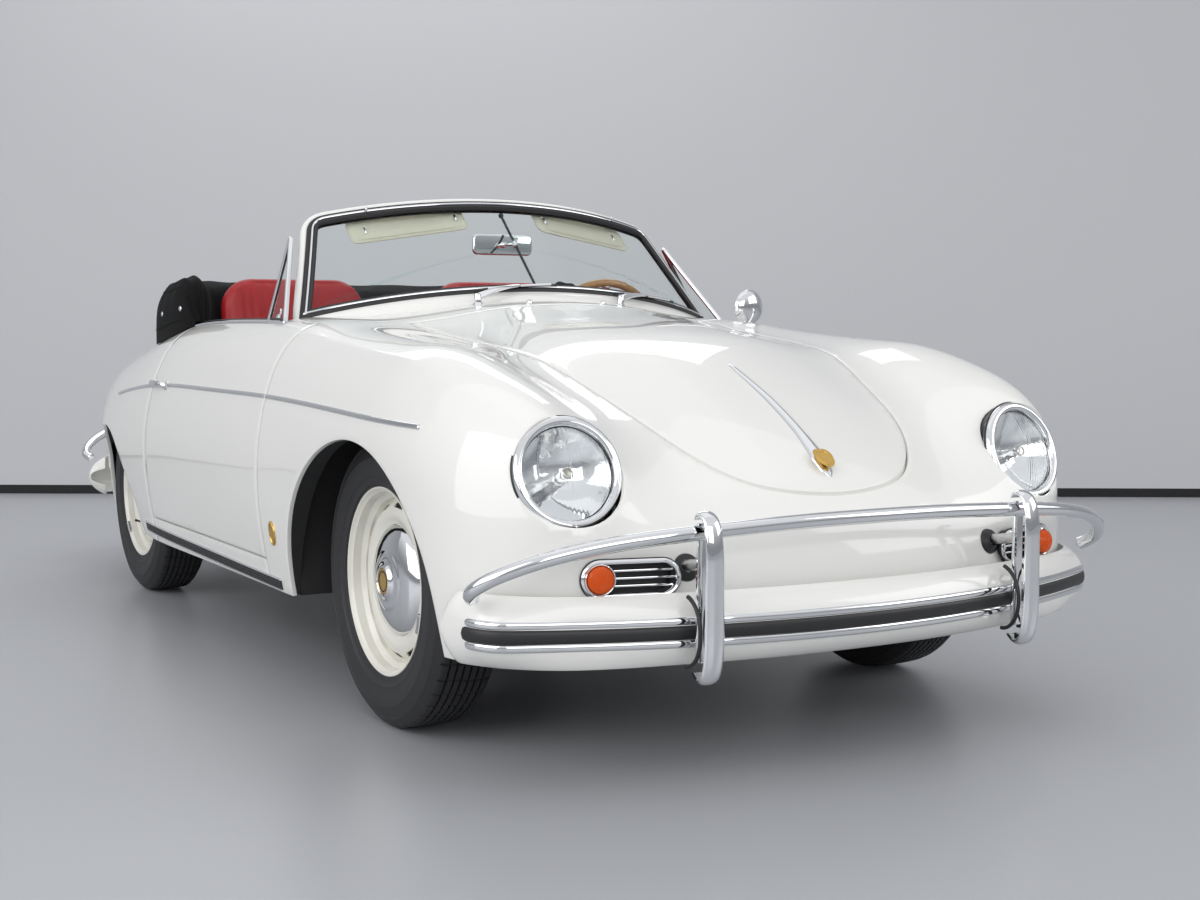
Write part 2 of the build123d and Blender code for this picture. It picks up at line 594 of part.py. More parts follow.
wheel_plane = Plane(origin=WHEEL_CENTRE, x_dir=(1, 0, 0), z_dir=COLUMN_DIR)
steering_wheel = Torus(STEERING_RADIUS, 12)
hub = Pos(0, 0, -35) * Cylinder(36, 52, align=FROM_FOOT)
for angle in (0, 180, 270):
    spoke = Rot(0, 0, angle) * rod((20, 0, -14), (STEERING_RADIUS, 0, 0), 8)
    steering_wheel += spoke
steering_wheel += hub
steering_wheel -= Pos(0, 0, -40) * Cylinder(9 + RUNNING_GAP, 52, align=FROM_FOOT)
add("steering_wheel", wheel_plane * steering_wheel)

SEAT_X = 350
SEAT_HALF_WIDTH = 220
SEAT_PROFILE = [(-155, FLOOR_TOP), (-155, 430), (-95, 462), (265, 440), (310, 470), (395, 960), (440, 985),
                (480, 950), (395, 420), (365, FLOOR_TOP)]
seat = profile(SEAT_PROFILE, SEAT_X - SEAT_HALF_WIDTH, SEAT_X + SEAT_HALF_WIDTH)
seat = fillet(seat.edges().filter_by(Axis.X, reverse=True).group_by(Axis.X)[-1]
              + seat.edges().filter_by(Axis.X, reverse=True).group_by(Axis.X)[0], 14)
add("seat_left", seat)
add("seat_right", mirrored(seat))

BENCH_PROFILE = [(530, BENCH_FLOOR_Z), (530, 665), (560, 680), (780, 672), (830, 780), (892, 780),
                 (892, BENCH_FLOOR_Z)]
add("rear_bench", profile(BENCH_PROFILE, -495, 495))

# folded soft top: a horseshoe round the back of the cabin
TOP_HALF_WIDTH = 622
TOP_ARM_X = 578              # inner side of the arms that run forward beside the seats
TOP_PROFILE = [(140, 700), (140, 905), (330, 990), (560, 1040), (800, 1042), (920, 990), (962, 885),
               (962, 700)]
top_outer = make_face(Polyline((-TOP_HALF_WIDTH, 130), (TOP_HALF_WIDTH, 130), (TOP_HALF_WIDTH, 970),
                               (-TOP_HALF_WIDTH, 970), close=True))
top_outer = fillet(top_outer.vertices().sort_by(Axis.Y)[-2:], 240)
top_inner = make_face(Polyline((-TOP_ARM_X, 100), (TOP_ARM_X, 100), (TOP_ARM_X, 540), (-TOP_ARM_X, 540),
                               close=True))
top_inner = fillet(top_inner.vertices().sort_by(Axis.Y)[-2:], 40)
soft_top = upright(top_outer, 800, 1100) - upright(top_inner, 700, 1200)
soft_top &= profile(TOP_PROFILE, -700, 700)
soft_top -= SHELL
soft_top -= door_zone(SHUT_GAP, 1) + door_zone(SHUT_GAP, -1)
add("soft_top_stack", max(soft_top.solids(), key=lambda solid: solid.volume))

# ---------------------------------------------------------------- bumpers
BUMPER_REACH = 1978
BUMPER_CENTRE_Z = 335
BUMPER_RADIUS = 1700
FRONT_TURN = 25.5            # degrees from the middle of a blade to its corner bend
REAR_TURN = 21
CORNER_TURN = 52
CORNER_RADIUS = 95
BUMPER_ARM = 95
BLADE_THICKNESS = 12
BLADE_GAP = 15               # between the blade's edges and the body


def bumper_path(reach, z, bow):
    """Plan path of a bumper at the front from its left end to its right end."""
    hub = Vector(0, -reach + BUMPER_RADIUS)
    turn = math.radians(bow)
    end = math.radians(bow + CORNER_TURN)
    knee = hub + Vector(math.sin(turn), -math.cos(turn)) * BUMPER_RADIUS
    corner_hub = knee + Vector(-math.sin(turn), math.cos(turn)) * CORNER_RADIUS
    bend = corner_hub + Vector(math.sin(end), -math.cos(end)) * CORNER_RADIUS
    tail = bend + Vector(math.cos(end), math.sin(end)) * BUMPER_ARM
    left = [Line(tail, bend), CenterArc(corner_hub, CORNER_RADIUS, -90 + bow + CORNER_TURN, -CORNER_TURN)]
    middle = CenterArc(hub, BUMPER_RADIUS, -90 + bow, -2 * bow)
    far_hub = Vector(-corner_hub.X, corner_hub.Y)
    far_bend = Vector(-bend.X, bend.Y)
    right = [CenterArc(far_hub, CORNER_RADIUS, -90 - bow, -CORNER_TURN),
             Line(far_bend, Vector(-tail.X, tail.Y))]
    return Pos(0, 0, z) * Wire([*left, middle, *right])


def swept(face, path):
    """Section face, x outwards and y up, carried along a path that runs from left to right."""
    start = path % 0
    outwards = Vector(-start.Y, start.X)
    plane = Plane(origin=path @ 0, x_dir=outwards, z_dir=start)
    return sweep(plane * face, path=path)


def blade_section():
    """Curved blade section about the bumper's path."""
    outer = ThreePointArc((-48, -95), (0, -34), (-62, 42))
    inner = ThreePointArc((-56, -85), (-BLADE_THICKNESS, -34), (-68, 32))
    return make_face([outer, inner, Line(outer @ 0, inner @ 0), Line(outer @ 1, inner @ 1)])


def bumper(bow, body):
    """Painted bumper blade, bowed by an angle each way, at the front of a body."""
    blade = swept(blade_section(), bumper_path(BUMPER_REACH - 10, BUMPER_CENTRE_Z, bow))
    blade -= Pos(0, -BLADE_GAP, 0) * body
    return max(blade.solids(), key=lambda solid: solid.volume)


GUARD_X = 400
GUARD_WIDTH = 44
GUARD_PROFILE = [(-1940, 228), (-1974, 236), (-1978, 300), (-1978, 430), (-1972, 515), (-1958, 532),
                 (-1936, 528), (-1934, 440), (-1915, 330), (-1926, 240)]
BAR_RADIUS = 15
FRONT_BAR = [(0, -1955, 508), (390, -1938, 498), (650, -1880, 470), (806, -1790, 405), (775, -1730, 368)]
REAR_BAR = [(0, -1955, 508), (390, -1938, 498), (560, -1895, 470), (692, -1800, 405), (665, -1738, 372)]
BAR_BENDS = [4000, 1200, 300, 60]


def bumper_guards(blade, points):
    """Two upright guards with the bar that joins them and runs round to the corners."""
    guard = profile(GUARD_PROFILE, GUARD_X - GUARD_WIDTH / 2, GUARD_X + GUARD_WIDTH / 2) - blade
    guard = max(guard.solids(), key=lambda solid: solid.volume)
    right = [(-x, y, z) for x, y, z in reversed(points[1:])]
    route = FilletPolyline(*right, *points, radius=BAR_BENDS[:0:-1] + BAR_BENDS)
    section = Plane(origin=route @ 0, z_dir=route % 0) * Circle(BAR_RADIUS)
    bar = sweep(section, path=route) - blade
    return guard + mirrored(guard) + bar


def bumper_irons(sign):
    """Two irons from the body's skin to the guards; sign is -1 at the front and +1 at the rear."""
    irons = [rod((side * IRON_X, sign * 1650, IRON_Z),
                 (side * GUARD_X, sign * (BUMPER_REACH - 38), IRON_Z + 15), 11)
             for side in (1, -1)]
    return irons[0] + irons[1] - BODY


IRON_X = 388
IRON_Z = 421
front_blade = bumper(FRONT_TURN, BODY)
rear_blade = bumper(REAR_TURN, BODY.mirror(Plane.XZ))
front_guards = bumper_guards(front_blade, FRONT_BAR)
rear_guards = bumper_guards(rear_blade, REAR_BAR)
add("front_bumper", front_blade)
add("front_bumper_guards", front_guards + bumper_irons(-1))
add("rear_bumper", rear_blade.mirror(Plane.XZ))
add("rear_bumper_guards", rear_guards.mirror(Plane.XZ) + bumper_irons(1))

# ---------------------------------------------------------------- lamps and nose grilles
LAMP_RIM_WIDTH = 20
LENS_DEPTH = 26
LENS_EDGE = 6
cup = Pos(0, 0, -LAMP_DEPTH) * Cylinder(LAMP_RADIUS - SEAT_GAP, LAMP_DEPTH + 12,
                                       align=FROM_FOOT)
cup = fillet(cup.edges().sort_by(Axis.Z)[-1], 9)
cup -= Pos(0, 0, -30) * Cylinder(LAMP_RADIUS - LAMP_RIM_WIDTH, 60, align=FROM_FOOT)
lens_radius = LAMP_RADIUS - LAMP_RIM_WIDTH - SEAT_GAP
lens_rise = LENS_DEPTH - LENS_EDGE
dome_radius = (lens_radius ** 2 + lens_rise ** 2) / (2 * lens_rise)
lens = Pos(0, 0, -LENS_EDGE) * Cylinder(lens_radius, 2 * LENS_DEPTH, align=FROM_FOOT)
lens &= Pos(0, 0, LENS_DEPTH - dome_radius) * Sphere(dome_radius)
add("headlamp_rims", *[lamp_plane(side) * cup for side in (1, -1)])
add("headlamp_lenses", *[lamp_plane(side) * lens for side in (1, -1)])

INDICATOR_RADIUS = 26.5
INDICATOR_OFFSET = OVAL_LENGTH / 2 - OVAL_HEIGHT / 2
indicator = Pos(0, 0, -OVAL_DEPTH + 5) * Cylinder(INDICATOR_RADIUS, OVAL_DEPTH, align=FROM_FOOT)
indicator += Pos(0, 0, 5) * Cone(INDICATOR_RADIUS - 1, 8, 22, align=FROM_FOOT)
add("indicator_lamps", *[oval_plane(side) * (Pos(side * INDICATOR_OFFSET, 0, 0) * indicator)
                         for side in (1, -1)])

nose_grilles = []
for side in (1, -1):
    plane = oval_plane(side)
    bezel = oval(plane, OVAL_LENGTH - 2 * SEAT_GAP, OVAL_HEIGHT - 2 * SEAT_GAP, -OVAL_DEPTH, 6)
    bezel -= oval(plane, OVAL_LENGTH - 12, OVAL_HEIGHT - 12, -OVAL_DEPTH + 5, 20)
    for row in (-14, 0, 14):
        bar = Pos(-side * 28, row, -14) * Box(122, 4, 14)
        bezel += plane * bar
    nose_grilles.append(bezel)
add("nose_grilles", *nose_grilles)

TAIL_LAMP_PLACES = ((470, 545), (560, 545))
TAIL_LAMP_RADIUS = 34


def skin_y(x, z):
    """Rearmost point of the body's skin at a width and height."""
    needle = BODY & Edge.make_line((x, 1100, z), (x, 2100, z))
    return max(vertex.Y for vertex in needle.vertices())


tail_lamps = []
for x, z in TAIL_LAMP_PLACES:
    y = skin_y(x, z)
    base = rod((x, y - 60, z), (x, y + 14, z), TAIL_LAMP_RADIUS)
    base += Plane(origin=(x, y + 14, z), z_dir=(0, 1, 0)) * Cone(
        TAIL_LAMP_RADIUS - 4, 10, 26, align=FROM_FOOT)
    base -= BODY
    tail_lamps += [base, mirrored(base)]
add("tail_lamps", *tail_lamps)

# ---------------------------------------------------------------- running gear
HUB_BORE = 20
KINGPIN_X = 590
KINGPIN_RADIUS = 9
EYE_ZS = (258, 392)
AXLE_TUBE_Y = FRONT_AXLE_Y - 135
AXLE_TUBE_ZS = (268, 412)
AXLE_TUBE_RADIUS = 27


def tyre(side, y, track):
    """One tyre about its axle."""
    half = [(BEAD_RADIUS, BEAD_HALF_WIDTH), (255, TYRE_HALF_WIDTH), (298, 76), (TYRE_RADIUS, 54)]
    outline = [(r, w) for r, w in half] + [(r, -w) for r, w in reversed(half)]
    ring = revolve(Plane.XZ * make_face(Polyline(*outline, close=True)), Axis.Z)
    return Pos(side * track / 2, y, HUB_Z) * Rot(0, side * 90, 0) * ring


def rim(side, y, track):
    """Steel wheel with its slotted disc, brake drum and hubcap."""
    bead = BEAD_RADIUS - SEAT_GAP
    lip = [(bead, BEAD_HALF_WIDTH + 0.5), (RIM_FLANGE_RADIUS, BEAD_HALF_WIDTH + 4),
           (RIM_FLANGE_RADIUS, BEAD_HALF_WIDTH + 9), (bead - 6, BEAD_HALF_WIDTH + 5)]
    barrel = lip + [(r, -w) for r, w in reversed(lip)]
    disc = [(bead - 3, 0), (bead - 3, 8), (155, 30), (118, 26), (HUB_BORE + 14, 26), (HUB_BORE + 14, -20),
            (140, -20), (140, -26), (HUB_BORE + RUNNING_GAP, -26), (HUB_BORE + RUNNING_GAP, 34),
            (HUB_BORE + 14, 34), (118, 34), (158, 38), (bead - 3, 16)]
    cap = [(0, 74), (26, 72), (34, 64), (70, 60), (108, 48), (122, 36), (118, 34.3), (HUB_BORE + 16, 34.3),
           (HUB_BORE + 16, 52), (0, 52)]
    solids = [revolve(Plane.XZ * make_face(Polyline(*points, close=True)), Axis.Z)
              for points in (barrel, disc, cap)]
    wheel = solids[0] + solids[1]
    for index in range(12):
        slot = extrude(SlotOverall(46, 12, rotation=90), 30, both=True)
        wheel -= Rot(0, 0, index * 30) * (Pos(172, 0, 20) * slot)
    place = Pos(side * track / 2, y, HUB_Z) * Rot(0, side * 90, 0)
    return [place * wheel, place * solids[2]]


def front_knuckle():
    """Left steering knuckle with its kingpin, backing plate, stub axle and steering arm."""
    wheel_x = TRACK_FRONT / 2
    knuckle = rod((KINGPIN_X, FRONT_AXLE_Y, EYE_ZS[0] + 14), (KINGPIN_X, FRONT_AXLE_Y, EYE_ZS[1] - 14), 17)
    knuckle += rod((KINGPIN_X, FRONT_AXLE_Y, EYE_ZS[0] - 16), (KINGPIN_X, FRONT_AXLE_Y, EYE_ZS[1] + 16),
                   KINGPIN_RADIUS)
    knuckle += rod((KINGPIN_X, FRONT_AXLE_Y, HUB_Z), (wheel_x + 30, FRONT_AXLE_Y, HUB_Z), HUB_BORE)
    knuckle += rod((wheel_x - 38, FRONT_AXLE_Y, HUB_Z), (wheel_x - 32, FRONT_AXLE_Y, HUB_Z), 132)
    arm_end = (KINGPIN_X - 25, FRONT_AXLE_Y + 125, EYE_ZS[0] + 26)
    knuckle += rod((KINGPIN_X, FRONT_AXLE_Y, EYE_ZS[0] + 26), arm_end, 9)
    return knuckle


def front_axle():
    """Two transverse tubes with a trailing arm to each kingpin eye, hung from the body."""
    axle = None
    for tube_z, eye_z in zip(AXLE_TUBE_ZS, EYE_ZS):
        piece = cross_cylinder(AXLE_TUBE_Y, tube_z, AXLE_TUBE_RADIUS, -448, 448)
        for side in (1, -1):
            eye = (side * KINGPIN_X, FRONT_AXLE_Y, eye_z)
            piece += rod((side * 436, AXLE_TUBE_Y, tube_z),
                         (side * (KINGPIN_X - 14), FRONT_AXLE_Y - 12, eye_z), 11)
            piece += rod((eye[0], eye[1], eye_z - 12), (eye[0], eye[1], eye_z + 12), 22)
            piece -= rod((eye[0], eye[1], eye_z - 20), (eye[0], eye[1], eye_z + 20),
                         KINGPIN_RADIUS + RUNNING_GAP)
        axle = piece if axle is None else axle + piece
    for side in (1, -1):
        hanger = block(side * 300, side * 318, AXLE_TUBE_Y - 45, AXLE_TUBE_Y + 45,
                       AXLE_TUBE_ZS[0] - 20, LUGGAGE_FLOOR_Z - 5)
        axle += hanger - SHELL
    return axle


GEARBOX_Z = 330


def rear_axle():
    """Gearbox with a swinging axle tube, backing plate and radius arm to each rear wheel."""
    axle = rod((0, 655, GEARBOX_Z), (0, ENGINE_FRONT_Y, GEARBOX_Z), 92)
    axle += block(-60, 60, 670, 740, GEARBOX_Z, 560) - SHELL
    wheel_x = TRACK_REAR / 2
    for side in (1, -1):
        axle += rod((0, REAR_AXLE_Y, HUB_Z), (side * (wheel_x - 34), REAR_AXLE_Y, HUB_Z), 32)
        axle += rod((side * (wheel_x - 40), REAR_AXLE_Y, HUB_Z),
                    (side * (wheel_x - 32), REAR_AXLE_Y, HUB_Z), 132)
        axle += rod((side * (wheel_x - 40), REAR_AXLE_Y, HUB_Z),
                    (side * (wheel_x + 30), REAR_AXLE_Y, HUB_Z), HUB_BORE)
        arm = block(side * 470, side * 480, 505, REAR_AXLE_Y, 290, 350)
        arm += block(side * 470, side * (wheel_x - 34), REAR_AXLE_Y - 40, REAR_AXLE_Y + 10, 290, 350)
        axle += arm - SHELL
    return axle


ENGINE_FRONT_Y = 1180
ENGINE_REAR_Y = 1560
ENGINE_HALF_WIDTH = 320
ENGINE_Z = (240, 590)
add("rear_axle", rear_axle())
add("engine_block", block(-ENGINE_HALF_WIDTH, ENGINE_HALF_WIDTH, ENGINE_FRONT_Y, ENGINE_REAR_Y, *ENGINE_Z))
add("front_axle", front_axle())

MUFFLER_RADIUS = 46
MUFFLER_Y = ENGINE_REAR_Y + MUFFLER_RADIUS
MUFFLER_Z = 262
exhaust = cross_cylinder(MUFFLER_Y, MUFFLER_Z, MUFFLER_RADIUS, -290, 290)
for x in (-120, 120):
    exhaust += rod((x, MUFFLER_Y, 214), (x, 1880, 206), 17)
add("exhaust", exhaust)

knuckle = front_knuckle()
add("knuckle_left", knuckle)
add("knuckle_right", mirrored(knuckle))
WHEEL_PLACES = [
    ("front_left", 1, FRONT_AXLE_Y, TRACK_FRONT),
    ("front_right", -1, FRONT_AXLE_Y, TRACK_FRONT),
    ("rear_left", 1, REAR_AXLE_Y, TRACK_REAR),
    ("rear_right", -1, REAR_AXLE_Y, TRACK_REAR),
]
for name, side, y, track in WHEEL_PLACES:
    add("tyre_" + name, tyre(side, y, track))
    add("rim_" + name, *rim(side, y, track))

# ---------------------------------------------------------------- on the doors
VENT_FRONT = (678, -428, 880)
VENT_TOP = (588, -226, 1112)
VENT_REAR = (678, -300, 880)
VENT_TUBE = 6


def vent_window():
    """Triangular quarter light in its frame, standing on the left door."""
    corners = [Vector(*point) for point in (VENT_FRONT, VENT_TOP, VENT_REAR)]
    frame = None
    for start, end in zip(corners, corners[1:] + corners[:1]):
        piece = rod(tuple(start), tuple(end), VENT_TUBE)
        frame = piece if frame is None else frame + piece
    for corner in corners:
        frame += Pos(corner) * Sphere(VENT_TUBE)
    pane = Face(Wire(Polyline(*corners, close=True).edges()))
    frame += extrude(pane, 2, both=True)
    return frame - NODES["door_left"]


vent = vent_window()
vent = max(vent.solids(), key=lambda solid: solid.volume)
add("vent_window_left", vent)
add("vent_window_right", mirrored(vent))

MIRROR_PLACE = (715, -500)
foot_z = skin_z(*MIRROR_PLACE)
door_mirror = rod((*MIRROR_PLACE, foot_z - 20), (*MIRROR_PLACE, foot_z + 12), 20) - BODY
door_mirror += rod((*MIRROR_PLACE, foot_z), (MIRROR_PLACE[0] + 8, MIRROR_PLACE[1], foot_z + 60), 5) - BODY
door_mirror += rod((MIRROR_PLACE[0] + 8, MIRROR_PLACE[1] - 14, foot_z + 72),
                   (MIRROR_PLACE[0] + 8, MIRROR_PLACE[1] + 10, foot_z + 72), 52)
add("door_mirror", door_mirror)


if __name__ == "__main__":
    for node, shape in NODES.items():
        export_step(shape, os.path.join("parts", node + ".step"))
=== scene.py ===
import math
import bmesh
import bpy
import numpy as np
from mathutils import Matrix, Vector
from mathutils.bvhtree import BVHTree


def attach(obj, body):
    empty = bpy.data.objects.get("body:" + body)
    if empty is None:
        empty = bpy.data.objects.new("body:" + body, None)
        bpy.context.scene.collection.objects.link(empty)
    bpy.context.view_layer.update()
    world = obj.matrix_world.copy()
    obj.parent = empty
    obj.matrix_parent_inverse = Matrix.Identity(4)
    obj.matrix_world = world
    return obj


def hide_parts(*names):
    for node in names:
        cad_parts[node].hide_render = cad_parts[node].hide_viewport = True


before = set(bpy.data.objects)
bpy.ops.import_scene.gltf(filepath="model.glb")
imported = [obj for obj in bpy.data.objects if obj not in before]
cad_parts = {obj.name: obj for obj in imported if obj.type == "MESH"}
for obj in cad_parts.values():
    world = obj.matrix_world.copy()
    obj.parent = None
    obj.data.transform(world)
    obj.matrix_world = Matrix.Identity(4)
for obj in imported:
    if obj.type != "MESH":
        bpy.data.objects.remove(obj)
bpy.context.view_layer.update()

# Dressing of an open roadster: painted skin panels, glass, bright trim, wheels, lamps and cabin.
# Metres, +Z up, the car's front faces -Y and its left side is +X.

# ---------------------------------------------------------------- sizes shared with the solids
FRONT_AXLE_Y = -1.165
REAR_AXLE_Y = 0.935
FRONT_HALF_TRACK = 0.653
REAR_HALF_TRACK = 0.636
FAN_Z = 0.318
HUB_Z = 0.322
BODY_BOTTOM = 0.235
PANEL_DEPTH = 0.01
LID_DEPTH = 0.018
UNDER_SKIN = 0.0105       # from the skin to what hides behind it
SHEET = 0.003             # thickness of inner walls
SHUT_GAP = 0.0055
CABIN_X = 0.655
DOOR_FRONT_Y = -0.62
DOOR_REAR_Y = 0.37
HINGE_PIN = (0.785, -0.74)
DOOR_BOTTOM_Z = 0.305
TONGUE_REAR_Y = -0.38
CABIN_REAR_Y = 0.49
CABIN_END_Y = 0.489       # inner face of the cabin's rear wall
FIREWALL_Y = -0.7
ARCH_FRONT = (-1.175, 0.225, 0.41)
ARCH_REAR = (0.925, 0.15, 0.4)
WELL_FRONT = (0.4, 0.425, 0.765)
WELL_REAR = (0.35, 0.53, 0.735)
LAMP_CENTRE = (0.586, -1.748, 0.6)
LAMP_AXIS = (0.1, -0.945, 0.31)
LAMP_RADIUS = 0.113
OVAL_CENTRE = (0.505, -1.852, 0.407)
OVAL_AXIS = (0.24, -0.97, 0.02)
OVAL_SIZE = (0.19, 0.066)
GRILLE_Y = 1.345          # middle of the engine lid's grille

# Body sections in millimetres: lean angle, hub y, then half width and height above the fan
# axis for sill, low side, widest, shoulder, crown, valley and deck, and the centre's height.
SECTIONS = [
    (-28, -1165, 690, 70, 735, 280, 735, 420, 690, 530, 570, 620, 400, 665, 205, 690, 700),
    (-8, -1165, 725, 50, 775, 290, 770, 440, 712, 565, 590, 655, 410, 705, 210, 728, 735),
    (12, -1165, 740, 40, 785, 260, 787, 410, 735, 560, 612, 668, 420, 695, 212, 724, 737),
    (32, -1165, 745, 35, 790, 200, 800, 350, 765, 520, 635, 685, 430, 622, 220, 618, 634),
    (52, -1165, 750, 35, 795, 155, 806, 290, 780, 450, 650, 596, 440, 535, 225, 545, 562),
    (72, -1165, 757, 35, 800, 130, 810, 250, 782, 415, 655, 540, 450, 508, 228, 530, 546),
    (90, -1165, 765, 35, 805, 110, 815, 230, 784, 400, 665, 522, 460, 512, 232, 540, 555),
    (90, -800, 768, -150, 808, 60, 818, 230, 787, 409, 681, 540, 472, 552, 237, 585, 601),
    (90, -620, 775, -150, 812, 60, 822, 230, 788, 415, 690, 552, 480, 578, 240, 610, 626),
    (90, 0, 785, -150, 820, 60, 830, 230, 795, 415, 705, 552, 490, 588, 245, 604, 610),
    (90, 480, 783, -150, 825, 60, 834, 225, 794, 403, 688, 534, 474, 574, 238, 592, 597),
    (90, 935, 765, 35, 812, 110, 820, 200, 768, 370, 645, 480, 450, 528, 228, 550, 556),
    (112, 935, 748, 35, 790, 130, 797, 250, 740, 400, 610, 500, 425, 545, 215, 565, 572),
    (135, 935, 725, 35, 765, 190, 762, 330, 700, 480, 570, 580, 395, 632, 200, 655, 662),
    (158, 935, 700, 35, 735, 240, 715, 420, 640, 580, 510, 695, 350, 758, 178, 785, 792),
    (178, 935, 680, 50, 712, 280, 685, 470, 605, 645, 475, 790, 325, 868, 165, 900, 910),
    (205, 935, 660, 60, 685, 290, 650, 470, 570, 630, 440, 750, 300, 820, 150, 850, 860),
]


# ---------------------------------------------------------------- splines
def spline_matrix(knots, places):
    """Weights that turn values at knots into a smooth cubic curve's values at places."""
    count = len(knots)
    step = np.diff(knots)
    left = np.zeros((count, count))
    right = np.zeros((count, count))
    left[0, :3] = (step[1], -step[0] - step[1], step[0])
    left[-1, -3:] = (step[-1], -step[-2] - step[-1], step[-2])
    for row in range(1, count - 1):
        before, after = step[row - 1], step[row]
        left[row, row - 1:row + 2] = (before, 2 * (before + after), after)
        right[row, row - 1:row + 2] = (6 / before, -6 / before - 6 / after, 6 / after)
    bend = np.linalg.solve(left, right)
    cell = np.clip(np.searchsorted(knots, places) - 1, 0, count - 2)
    far = (places - knots[cell]) / step[cell]
    near = 1 - far
    weights = np.zeros((len(places), count))
    rows = np.arange(len(places))
    weights[rows, cell] += near
    weights[rows, cell + 1] += far
    weights += ((near ** 3 - near) * step[cell] ** 2 / 6)[:, None] * bend[cell]
    weights += ((far ** 3 - far) * step[cell] ** 2 / 6)[:, None] * bend[cell + 1]
    return weights


def curve(points, count, power=1.0):
    """Evenly parted points on a smooth curve through a few points."""
    points = np.asarray(points, float)
    steps = np.linalg.norm(np.diff(points, axis=0), axis=1) ** power
    knots = np.concatenate([[0], np.cumsum(steps)])
    places = np.linspace(0, knots[-1], count)
    if len(points) < 4:
        fits = [np.polyfit(knots, column, len(points) - 1) for column in points.T]
        return np.stack([np.polyval(fit, places) for fit in fits], axis=1)
    return spline_matrix(knots, places) @ points


def spacing(rows):
    """Shared parameters of splines through rows, from the root of the mean step."""
    lengths = (np.linalg.norm(np.diff(rows, axis=1), axis=2) ** 0.5).mean(axis=0)
    knots = np.concatenate([[0], np.cumsum(lengths)])
    return knots / knots[-1]


def section_net():
    """Net of the body's section points, from the right sill over the top to the left."""
    net = []
    for angle, hub_y, *values in SECTIONS:
        angle = math.radians(angle)
        pairs = list(zip(values[0:-1:2], values[1:-1:2]))
        outline = [(-x, height) for x, height in pairs] + [(0, values[-1])]
        outline += [(x, height) for x, height in reversed(pairs)]
        net.append([(x, hub_y - height * math.cos(angle), 1000 * FAN_Z + height * math.sin(angle))
                    for x, height in outline])
    return np.array(net) / 1000


NET = section_net()
ACROSS = spacing(NET)
ALONG = spacing(NET.transpose(1, 0, 2)[3:-3])


def skin_at(uv):
    """Points of the body's skin at pairs of parameters across and along."""
    across = spline_matrix(ACROSS, uv[:, 0])
    along = spline_matrix(ALONG, uv[:, 1])
    return np.einsum("nj,ni,ijk->nk", across, along, NET)


def skin_normal(uv):
    """Outward normals of the skin."""
    nudge = 2e-4
    side = skin_at(uv + (nudge, 0)) - skin_at(uv - (nudge, 0))
    back = skin_at(uv + (0, nudge)) - skin_at(uv - (0, nudge))
    normal = np.cross(side, back)
    return normal / np.linalg.norm(normal, axis=1)[:, None]


# ---------------------------------------------------------------- cutting the skin into panels
def fine_steps(knots, cells):
    """Parameters with a number of even cells between neighbouring knots."""
    parts = [np.linspace(a, b, cells, endpoint=False) for a, b in zip(knots[:-1], knots[1:])]
    return np.concatenate(parts + [knots[-1:]])


SKIN_U = fine_steps(ACROSS, 12)
SKIN_V = fine_steps(ALONG, 17)


def skin_grid():
    """Parameters of the whole skin's grid points, and its cells."""
    grid = np.stack(np.meshgrid(SKIN_U, SKIN_V), axis=-1).reshape(-1, 2)
    return grid, grid_faces(len(SKIN_V), len(SKIN_U))


